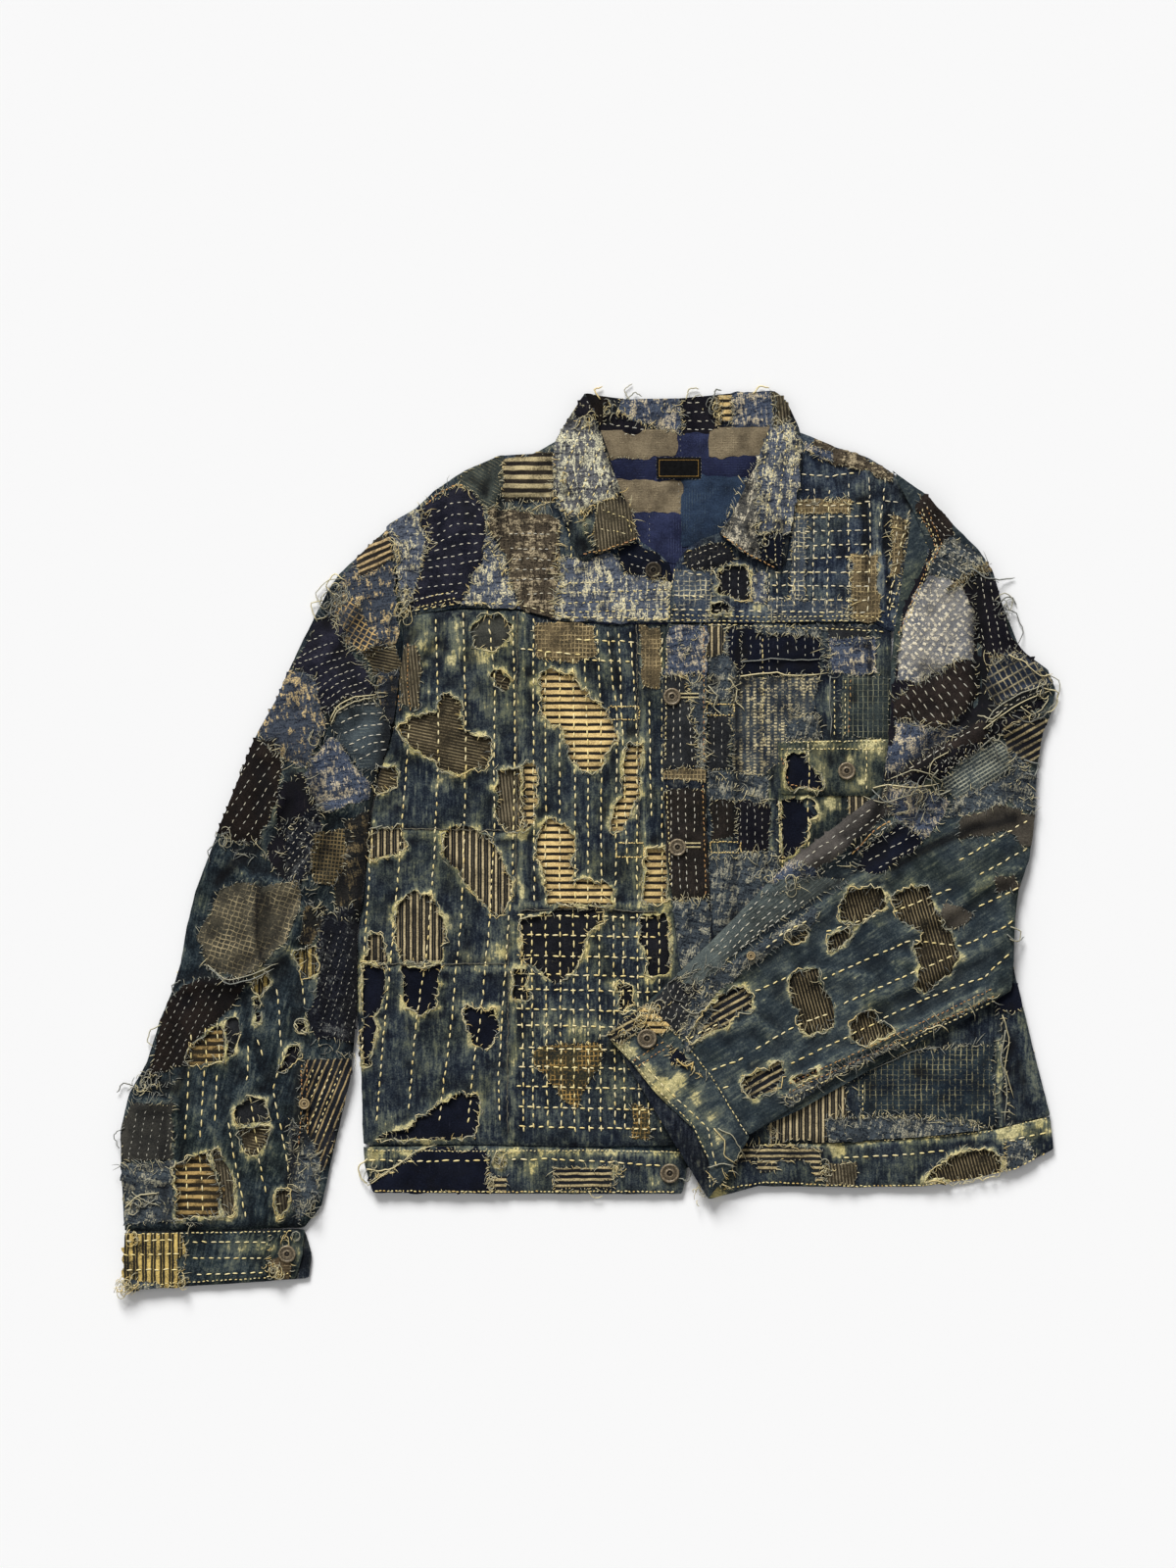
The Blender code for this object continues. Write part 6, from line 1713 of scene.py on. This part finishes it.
left_cuff_lay = lay = Lay("cuff_left_top")
lay.pucker((0.5, 12.0, 131))
lay.blot((26, -184, 9, 1.7), (42, -190, 6, 1.0), (54, -212, 10, 2.0), (68, -226, 12, 2.3),
    (84, -218, 8, 1.6), (36, -192, 8, 1.8), (100, -232, 9, 0.9), (96, -250, 7, 0.8), (112, -252, 8, 1.0),
    (120, -270, 7, 0.9), (84, -196, 6, 0.9))
sew_panel("cuff_left_top", [(53, -147), (16, -176), (36, -197), (62, -229), (96, -261), (111, -292),
        (110, -326), (126, -306), (148, -269), (112, -211), (86, -177)], FOREARM_DENIM, lay,
    scraps=[
        ("bar_slant", [(16, -173), (36, -158), (50, -148), (67, -162), (54, -167), (45, -173), (32, -184),
                (20, -180)]),
        ("gauze", [(50, -149), (65, -160), (72, -169), (61, -173), (49, -164)]),
        ("bar", [(47, -153), (56, -148), (76, -167), (65, -176), (54, -171)]),
        ("navy", [(74, -185), (86, -191), (95, -203), (86, -207), (77, -200)])],
    rows=[([[(45, -205), (74, -185)], [(41, -200), (72, -180)]], ORANGE, 3.0, 1.8, 1.0),
        ([[(36, -187), (72, -225), (110, -261), (117, -297)]], CREAM, 5.0, 3.0, 1.3),
        ([[(22, -178), (54, -216), (95, -257), (110, -288), (112, -320)],
            [(54, -153), (86, -180), (112, -212), (146, -268)]], CREAM, 2.8, 1.8, 1.0)],
    fringe=[[(74, -185), (81, -200), (95, -205)], [(95, -205), (101, -212), (112, -214)],
        [(17, -176), (36, -160), (52, -149)], [(52, -149), (68, -164), (81, -175)],
        [(112, -306), (122, -315), (137, -288)]],
    tufts=[(62, -152, 8, 30), (34, -176, 6, 16), (46, -162, 7, 22)], yarn=(0.5, 1.0), seed=3400, thick=2.6,
    strays=[[(115, -261), (126, -272), (124, -286), (135, -294)],
        [(119, -261), (133, -268), (140, -281), (146, -292)], [(110, -297), (124, -293), (137, -297)],
        [(81, -198), (90, -205), (97, -200), (94, -209)], [(41, -153), (32, -158), (25, -155), (18, -164)],
        [(18, -176), (9, -178), (11, -187), (20, -191)]])


# ==== Collar ================================================================================
# A turned-down shirt collar of two layers: the band standing behind the neck, then the two
# leaves falling to points over the yokes, pieced from loose check, ribbed cotton and black quilt.

FABRICS["pale_rag"] = rag("pale_rag", (36, 35, 40), (108, 109, 112), (255, 248, 208), 0, 0.95, 0.15)
FABRICS["grey_rag"] = rag("grey_rag", (38, 40, 45), (96, 94, 88), (232, 220, 190), -20, 0.6)
lay = Lay("collar_back")
lay.pucker((0.7, 14.0, 141), (0.4, 6.0, 142))
lay.crease(([(0, 373), (54, 371), (117, 372), (171, 380)], -1.2, 3, 3))
sew_panel("collar_back", [(-3, 412), (36, 407), (86, 408), (126, 412), (171, 415), (181, 407), (176, 389),
        (165, 380), (83, 372), (14, 371), (4, 392)], DARK_DENIM, lay,
    scraps=[
        ("night", [(5, 392), (30, 395), (39, 388), (54, 383), (69, 380), (87, 375), (87, 369), (11, 369)]),
        ("brown_quilt", [(-2, 412), (18, 410), (19, 401), (14, 387), (7, 382), (0, 396)]),
        ("scramble_blue", [(31, 410), (86, 411), (87, 373), (69, 380), (54, 384), (39, 389), (29, 398)]),
        ("night", [(86, 410), (111, 410), (113, 396), (119, 387), (117, 370), (86, 370)]),
        ("gauze", [(115, 410), (124, 412), (124, 383), (118, 383)]),
        ("bar", [(122, 412), (131, 412), (132, 389), (123, 385)]),
        ("scramble_blue", [(131, 413), (168, 417), (172, 385), (163, 378), (133, 374)]),
        ("ribbed_up", [(168, 416), (179, 414), (185, 392), (183, 383), (173, 382)])],
    rows=[([[(89, 404), (110, 404)], [(89, 395), (113, 395)], [(89, 387), (117, 387)],
        [(89, 379), (115, 379)], [(11, 385), (36, 382), (81, 373)], [(11, 377), (81, 371)]], WHITE, 3.8,
        3.0, 1.1), ([[(4, 373), (54, 371), (117, 373), (166, 380)]], CREAM, 2.8, 2.0, 1.0)],
    fringe=[[(31, 405), (36, 391), (54, 383), (86, 373)], [(86, 406), (87, 378)], [(131, 407), (133, 378)],
        [(171, 409), (176, 385)]],
    tufts=[(20, 400, 6, 14), (28, 392, 5, 8), (114, 400, 6, 12), (120, 392, 5, 8), (76, 400, 5, 8)],
    yarn=(0.3, 0.95), seed=3600, thick=3.0, roll=2.0,
    fray_reach=5.5,
    strays=[[(38, 405), (33, 416), (41, 422)], [(36, 407), (43, 414), (49, 410)],
        [(90, 407), (93, 418), (102, 417)], [(95, 407), (101, 412), (106, 409)],
        [(115, 407), (117, 417), (123, 415)], [(151, 412), (158, 420), (166, 417)],
        [(11, 407), (5, 416), (13, 419)]])

lay = Lay("collar_leaf_right")
lay.pucker((0.9, 15.0, 151), (0.4, 6.5, 152))
lay.crease(([(-4, 302), (-1, 284), (5, 270)], 2.2, 3, 3))
sew_panel("collar_leaf_right", [(-3, 412), (-15, 394), (-30, 369), (-33, 351), (-30, 314), (-26, 304),
        (-10, 261), (-3, 258), (46, 278), (40, 301), (33, 317), (26, 333), (14, 372), (5, 396)], DENIM,
    lay,
    scraps=[
        ("pale_rag", [(-9, 401), (4, 398), (9, 380), (16, 360), (25, 338), (32, 320), (7, 309), (-6, 302),
                (-23, 299), (-32, 324), (-34, 358), (-23, 382)]),
        ("night", [(-7, 412), (2, 405), (8, 392), (2, 387), (-11, 389), (-13, 400)]),
        ("ribbed_up",
            [(7, 310), (31, 319), (38, 314), (42, 292), (46, 280), (36, 274), (7, 265), (5, 288)]),
        ("frayed_blue", [(-31, 324), (-18, 299), (-22, 270), (-29, 288)])],
    rows=[([[(-5, 265), (9, 267), (36, 275), (45, 280)]], ORANGE, 3.0, 1.4, 1.2),
        ([[(-19, 295), (-14, 265)]], CREAM, 3.6, 2.2, 1.0), ([[(-2, 407), (4, 394)]], WHITE, 3.0, 2.6, 1.0),
        ([[(11, 306), (36, 297), (41, 283)], [(11, 288), (36, 283)]], CREAM, 2.6, 2.2, 0.9)],
    hatches=[([(-22, 378), (5, 382), (27, 324), (-9, 306), (-27, 324)], 68, 11, CREAM, 3.4, 2.8, 1.2)],
    fringe=[[(-23, 302), (-5, 304), (7, 310), (31, 320)], [(-4, 302), (-2, 284), (4, 270)],
        [(-9, 387), (0, 382), (7, 387)], [(-31, 360), (-32, 324), (-25, 306)],
        [(38, 315), (43, 292), (47, 279)]], tufts=[(-4, 384, 7, 10), (-4, 300, 6, 8), (-24, 334, 5, 8)],
    yarn=(0.5, 1.0), seed=3700, thick=3.0, roll=2.4,
    fray_reach=6.0)

lay = Lay("collar_leaf_left")
lay.pucker((0.9, 15.0, 161), (0.4, 6.5, 162))
lay.crease(([(157, 369), (155, 324), (157, 284), (158, 263)], 1.6, 3, 5))
sew_panel("collar_leaf_left", [(181, 407), (174, 392), (165, 378), (160, 364), (154, 347), (141, 320),
        (130, 296), (120, 284), (146, 262), (175, 249), (181, 257), (190, 312), (197, 351), (194, 380)],
    DARK_DENIM, lay,
    scraps=[
        ("grey_rag", [(155, 353), (158, 308), (153, 284), (158, 261), (144, 265), (122, 282), (119, 290),
                (133, 314), (144, 335)]),
        ("scramble", [(166, 385), (185, 389), (196, 362), (194, 324), (185, 284), (157, 283), (155, 308),
                (153, 346), (157, 364)]),
        ("scramble", [(180, 378), (191, 378), (194, 351), (184, 344)]),
        ("navy", [(159, 284), (178, 284), (177, 251), (158, 261)]),
        ("ribbed_up", [(176, 410), (184, 403), (187, 387), (169, 382)])],
    rows=[([[(124, 281), (146, 265), (175, 250)]], ORANGE, 3.0, 1.4, 1.2),
        ([[(162, 281), (164, 259)], [(171, 281), (172, 256)]], CREAM, 3.0, 2.0, 1.0),
        ([[(135, 306), (148, 270)]], GREY, 3.0, 2.6, 1.0)],
    hatches=[([(158, 378), (191, 378), (191, 288), (158, 288)], 82, 9, CREAM, 2.8, 2.6, 1.1)],
    fringe=[[(155, 351), (157, 306), (154, 284)], [(124, 288), (133, 314), (155, 351)],
        [(160, 284), (178, 283)], [(171, 383), (185, 387)]], tufts=[(172, 384, 6, 8), (164, 282, 6, 10)],
    yarn=(0.3, 0.9), seed=3800, thick=3.0, roll=2.4,
    fray_reach=5.5)


# ==== Hem bands =============================================================================
# The doubled waist band, sewn on with a row of thick cream stitches and edged with tight gold
# ones. It is undone in the middle, with its button left on the right end.

lay = Lay("hem_band_right")
lay.pucker((0.6, 16.0, 171))
for x in range(-200, 90, 9):
    lay.blot((x + x * x % 5, -284, 4.6, 0.7 + x * x % 7 * 0.16))
lay.blot((-81, -292, 8, 2.0), (-52, -298, 9, 1.0), (6, -300, 7, 0.9), (24, -300, 6, 1.1),
    (62, -310, 7, 0.8), (-150, -283, 9, 0.8), (-196, -286, 9, 1.2))
sew_panel("hem_band_right", [(-206, -279), (-98, -278), (0, -280), (92, -284), (90, -306), (86, -322),
        (-50, -322), (-197, -321), (-205, -295)], DENIM, lay,
    scraps=[
        ("navy", [(-205, -321), (-202, -311), (-184, -301), (-155, -282), (-144, -280), (-94, -282),
                (-90, -321)]),
        ("bar_thin", [(-91, -306), (-76, -307), (-77, -320), (-90, -320)]),
        ("bar_thin", [(-32, -297), (22, -297), (22, -318), (-32, -318)])],
    rows=[([[(-203, -291), (-153, -292), (-94, -291), (-36, -290), (22, -293), (79, -297)],
        [(-194, -306), (-176, -302)]], CREAM, 6.0, 3.0, 1.6),
        ([[(-196, -319), (-144, -320), (-36, -320), (81, -320)]], (0.5, 0.8), 2.6, 1.2, 1.2),
        ([[(-203, -282), (-90, -283), (18, -282), (90, -284)]], CREAM, 2.2, 1.4, 0.9)],
    fringe=[[(-92, -288), (-92, -317)], [(-162, -288), (-180, -301), (-194, -308)],
        [(23, -288), (25, -317)], [(-31, -298), (-31, -317)]],
    tufts=[(-82, -292, 8, 20), (-90, -308, 6, 10), (-197, -302, 6, 10), (27, -300, 6, 10)],
    yarn=(0.45, 0.95), seed=4000, thick=2.6,
    strays=[[(-202, -290), (-211, -297), (-209, -308), (-202, -313)],
        [(-202, -315), (-187, -304), (-171, -293), (-153, -280), (-139, -277)],
        [(-200, -311), (-184, -301), (-167, -290), (-151, -279)],
        [(-203, -299), (-193, -301), (-182, -299), (-173, -295)], [(81, -306), (92, -311), (95, -302)],
        [(0, -319), (5, -326), (14, -324)]])

lay = Lay("hem_band_left")
lay.pucker((0.6, 16.0, 181))
for x in range(130, 420, 9):
    lay.blot((x + x * x % 5, -280 + (x - 130) * 0.05, 4.6, 0.7 + x * x % 7 * 0.16))
lay.blot((228, -281, 8, 1.9), (384, -266, 8, 1.9), (394, -262, 6, 1.9), (414, -256, 6, 1.9),
    (112, -318, 8, 1.9), (120, -322, 6, 1.9))
sew_panel("hem_band_left", [(96, -284), (171, -276), (220, -276), (300, -271), (374, -263), (424, -251),
        (427, -281), (392, -299), (353, -308), (308, -315), (248, -316), (155, -315), (111, -327),
        (103, -306)], DENIM, lay,
    windows=[("ribbed_slant", [(310, -310), (313, -301), (338, -285), (351, -281), (371, -281), (380, -299),
            (378, -305), (342, -311)])],
    scraps=[
        ("bar_thin",
            [(127, -277), (180, -277), (214, -281), (215, -310), (208, -310), (205, -292), (127, -293)]),
        ("bar_thin", [(153, -293), (173, -292), (173, -301), (157, -301)]),
        ("ribbed_up", [(218, -294), (246, -293), (245, -315), (218, -314)]),
        ("frayed_blue", [(382, -274), (405, -272), (410, -288), (398, -301), (383, -299)])],
    rows=[(
        [[(233, -289), (288, -286), (333, -282)], [(383, -274), (423, -265)], [(127, -288), (144, -286)]],
        CREAM, 5.6, 3.0, 1.5), (
            [[(112, -320), (162, -311), (248, -315), (308, -314), (353, -308), (392, -299), (421, -284)]],
            (0.5, 0.85), 2.6, 1.2, 1.1),
        ([[(94, -284), (171, -276), (270, -273), (360, -266), (423, -252)]], CREAM, 2.2, 1.4, 0.9)],
    fringe=[[(127, -277), (171, -277), (214, -281)], [(218, -295), (218, -313)],
        [(310, -311), (315, -299), (351, -281)], [(382, -274), (383, -299)], [(106, -288), (112, -319)]],
    tufts=[(112, -300, 8, 22), (106, -316, 7, 18), (220, -300, 6, 12), (376, -290, 6, 10)],
    yarn=(0.45, 0.95), seed=4200, thick=2.6)


# ==== The hidden sides of the sleeves and cuffs ==============================================
# The under half of each sleeve and cuff, mostly out of sight: the same worn denim with scraps
# and rows sewn to its outer side. Slivers of them show below the forearm and beyond the cuffs.

for node, above, paint, flat, inset, seed, held in (
        ("sleeve_right_under", right_sleeve_lay, SLEEVE_DENIM, (0.26, 0.65), 1.6, 4700, "laid"),
        ("sleeve_left_under", left_sleeve_lay, FOREARM_DENIM, (0.38, 0.66), 2.0, 4800, "folded"),
        ("cuff_right_under", right_cuff_lay, DARK_DENIM, (0.175, 0.058), 0.4, 4900, "laid"),
        ("cuff_left_under", left_cuff_lay, DARK_DENIM, (0.06, 0.19), 0.4, 4950, "folded")):
    under = Lay(node, 4.0)
    under.skin = np.maximum(np.minimum(under.skin, above.at(under.gx, under.gy, "skin") - 2.7), 2.2)
    under.pucker((0.3, 12.0, seed))
    hidden_sheet(node, paint, under, 1.7, CLOTHS, seed,
                 inset=inset, cell=6.0)


# ==== Neck lining and label =================================================================
# Inside the neck, below the collar: soft old cottons in tan, violet and teal, each scrap
# overlapping the next with its torn edge showing, and a plain black woven label with a gold edge.

FABRICS.update({
    "tan_cotton": woven("tan_cotton", (106, 94, 75), (142, 128, 103), (164, 148, 119), warp=(2.2, 0.3),
        weft=(2.2, 0.3), wander=0.4, wear=0.45),
    "violet_cotton": woven("violet_cotton", (29, 33, 56), (49, 55, 85), (70, 77, 105), warp=(2.4, 0.35),
        wander=0.5, wear=0.45),
    "navy_cotton": woven("lining_navy", (24, 27, 48), (38, 43, 70), (57, 63, 88), weft=(2.4, 0.35),
        wander=0.5, wear=0.45),
    "teal_cotton": woven("teal_cotton", (31, 43, 61), (52, 68, 90), (78, 93, 107), warp=(2.4, 0.3),
        wander=0.5, wear=0.45)})
lay = Lay("neck_lining")
lay.pucker((0.35, 22.0, 191), (0.2, 8.0, 192))
sew_panel("neck_lining", [(5, 378), (176, 382), (180, 199), (1, 199)], FABRICS["violet_cotton"],
    lay,
    scraps=[
        ("violet_cotton", [(81, 374), (112, 374), (112, 349), (81, 349)]),
        ("tan_cotton", [(5, 385), (82, 382), (82, 355), (36, 352), (11, 353)]),
        ("tan_cotton", [(111, 382), (171, 385), (167, 353), (135, 355), (111, 353)]),
        ("navy_cotton", [(103, 354), (155, 354), (151, 335), (103, 333)]),
        ("navy_cotton", [(11, 353), (62, 353), (62, 332), (14, 331)]),
        ("tan_cotton", [(16, 333), (86, 333), (86, 303), (43, 302), (22, 306)]),
        ("teal_cotton", [(86, 336), (148, 337), (142, 299), (86, 299)]),
        ("violet_cotton", [(36, 303), (86, 303), (87, 256), (58, 256), (43, 270)]),
        ("teal_cotton", [(86, 304), (130, 304), (117, 277), (86, 270)])],
    rows=[([[(56, 301), (56, 259)], [(83, 333), (84, 304)], [(85, 374), (85, 353)]], GREY, 2.0, 3.5, 0.5)],
    fringe=[[(20, 354), (54, 353)]], yarn=(0.5, 0.7), seed=5000, thick=0.9, roll=0.0,
    fray_reach=2.0, cell=4.0, frayed=False)

SATIN = Finish("black_satin", 0.6)
satin_place = SATIN.place()
label_paint = SATIN.finish(
    SATIN.ramp(SATIN.noise(satin_place, 3.0, 2.0), [(0.3, (14, 14, 15)), (0.7, (26, 26, 27))]),
    SATIN.put("ShaderNodeTexWave", satin_place, 1 / 0.5, 0.4, 1.0, 1.0), 0.2)
GOLD = Finish("gold_thread", 0.6)
gold_paint = GOLD.finish(
    GOLD.ramp(GOLD.noise(GOLD.place(), 0.8, 2.0), [(0.3, (84, 64, 32)), (0.7, (150, 118, 60))]))
lay = Lay("neck_label")
lay.skin += 0.4


def frame_line(inset):
    return np.array([(63 + inset, 334 + inset), (103.5 - inset, 334 + inset), (103.5 - inset, 353.5 - inset),
                     (63 + inset, 353.5 - inset)], float)


label = cut_cloth("neck_label_cloth", frame_line(0), lay, 0.8, cell=2.0)
label.data.materials.append(label_paint)
border = cut_cloth("neck_label_border", frame_line(2.0), lay, 0.5, cell=1.2, holes=[frame_line(2.6)],
    lift=0.22)
border.data.materials.append(gold_paint)
corners = [[a, b] for a, b in zip(frame_line(-0.2), np.roll(frame_line(-0.2), -1, axis=0))]
tacks = stitch_rows(lay, corners, 1.8, 1.6, 5200)
tacks = thread_stitches("neck_label_stitches", np.column_stack([tacks, np.full(len(tacks), 0.5)]),
    np.full(len(tacks), 0.0))
for part in (label, border, tacks):
    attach(part, "root")
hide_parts("neck_label")


# ==== Buttons ===============================================================================
# Cast tack buttons of aged grey-brown metal: a rolled rim, a ring of small studs, a dished
# face and a sunken middle with its tack. One design in four sizes, pressed through the cloth.

metal = Finish("aged_button_metal", 0.5)
metal_place = metal.place()
patina = metal.noise(metal_place, 1.6, 3.0, 0.65)
bright = metal.ramp(patina, [(0.3, (78, 68, 54)), (0.55, (146, 130, 104)), (0.75, (196, 180, 148))])
BUTTON_METAL = metal.finish(metal.mix(metal.attribute("tint"), colour(22, 19, 17), bright), patina, 0.25)
metal.shader.inputs["Metallic"].default_value = 0.3
metal.shader.inputs["Specular IOR Level"].default_value = 0.5

BUTTON_PROFILE = [(0.0, -0.2), (7.0, -0.2), (7.7, 0.2), (8.0, 0.9), (7.9, 1.5), (7.4, 2.0), (6.8, 2.1),
    (6.2, 1.8), (5.7, 1.35), (4.6, 1.3), (3.4, 1.45), (3.0, 1.75), (2.6, 1.7), (2.3, 1.1), (2.0, 0.6),
    (1.1, 0.55), (1.0, 1.1), (0.7, 1.35), (0.0, 1.4)]


def button_design():
    """The lathe-turned body with its studs, 16 mm across, standing on z = 0."""
    turns = np.arange(40) * math.tau / 40
    rings = [np.column_stack([r * np.cos(turns), r * np.sin(turns), np.full(40, z)])
             for r, z in BUTTON_PROFILE[1:-1]]
    points = np.vstack([[(0, 0, BUTTON_PROFILE[0][1])], *rings, [(0, 0, BUTTON_PROFILE[-1][1])]])
    faces = []
    for k in range(40):
        a, b = 1 + k, 1 + (k + 1) % 40
        faces.append((0, b, a))
        for ring in range(len(rings) - 1):
            faces.append((a + ring * 40, b + ring * 40, b + ring * 40 + 40))
            faces.append((a + ring * 40, b + ring * 40 + 40, a + ring * 40 + 40))
        last = (len(rings) - 1) * 40
        faces.append((a + last, b + last, len(points) - 1))
    stud = STITCH_POINTS * 0.95
    parts, tris = [points], [np.array(faces)]
    for k in range(22):
        turn = math.tau * k / 22
        parts.append(stud + (5.0 * math.cos(turn), 5.0 * math.sin(turn), 1.45))
        tris.append(STITCH_FACES + len(points) + k * len(stud))
    return np.vstack(parts), np.vstack(tris)


BUTTON_POINTS, BUTTON_FACES = button_design()
# darkened where it is sunk
BUTTON_RINGS = np.interp(np.hypot(BUTTON_POINTS[:, 0], BUTTON_POINTS[:, 1]),
    [0, 1.0, 1.2, 2.1, 2.5, 3.2, 3.8, 5.6, 6.4, 7.3, 7.8, 8.0],
    [0.2, 0.15, 0.0, 0.05, 0.8, 0.9, 0.45, 0.4, 0.8, 1.0, 0.9, 0.5])
horn = Finish("old_horn", 0.45)
horn_grain = horn.noise(horn.place(), 1.4, 3.0, 0.6)
horn_paint = horn.ramp(horn_grain, [(0.3, (138, 116, 80)), (0.7, (206, 182, 134))])
BUTTON_HORN = horn.finish(horn.mix(horn.attribute("tint"), colour(40, 30, 22), horn_paint), horn_grain,
    0.15)
horn.shader.inputs["Specular IOR Level"].default_value = 0.4
# piece, centre, across, lean, the panel that carries it
BUTTONS = [
    ("button_front_1", (77, 134), 16, (0, 0), "placket_left"),
    ("button_front_2", (82, -4), 16, (0, 0), "placket_left"),
    ("button_flap", (237, 66), 16, (0, 0), "pocket_flap"),
    ("button_hem", (75, -303), 18, (0.05, 0.1), "hem_band_right"),
    ("button_neck", (60, 250), 15, (-0.2, 0.15), "front_yoke_right"),
    ("button_cuff_right", (-276, -377), 16, (0.12, 0.1), "cuff_right_top"),
    ("button_cuff_left", (54, -179), 18, (0.0, 0.05), "cuff_left_top"),
    ("button_sleeve_right", (-260, -239), 10, (0, 0), "sleeve_right_top"),
    ("button_sleeve_left", (149, -103), 8, (0, 0), "sleeve_left_top")]
for k, (node, (x, y), across, (lean_x, lean_y), carrier) in enumerate(BUTTONS):
    spots = np.array([(0, 0), (0.3, 0), (-0.3, 0), (0, 0.3), (0, -0.3)]) * across + (x, y)
    seat = LAID[carrier].at(spots[:, 0], spots[:, 1]).max() + 0.5
    size = across / 16.0
    turn = k * 0.7
    points = BUTTON_POINTS @ np.array([[math.cos(turn), math.sin(turn), 0], [-math.sin(turn), math.cos(turn),
        0],
                                       [0, 0, 1]]) * size
    points[:, 2] += points[:, 0] * lean_x + points[:, 1] * lean_y
    points = points + (x, y, seat)
    lit_share = 0.3 if node == "button_neck" else 1.0  # the one under the collar is painted darker, as shadow from the collar
    button = solid_from(node + "_cast", points, BUTTON_FACES, BUTTON_HORN if across < 12 else BUTTON_METAL,
                        BUTTON_RINGS * lit_share)
    bpy.ops.object.select_all(action="DESELECT")
    button.select_set(True)
    bpy.context.view_layer.objects.active = button
    bpy.ops.object.shade_smooth_by_angle(angle=math.radians(40))
    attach(button, "root")
    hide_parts(node)
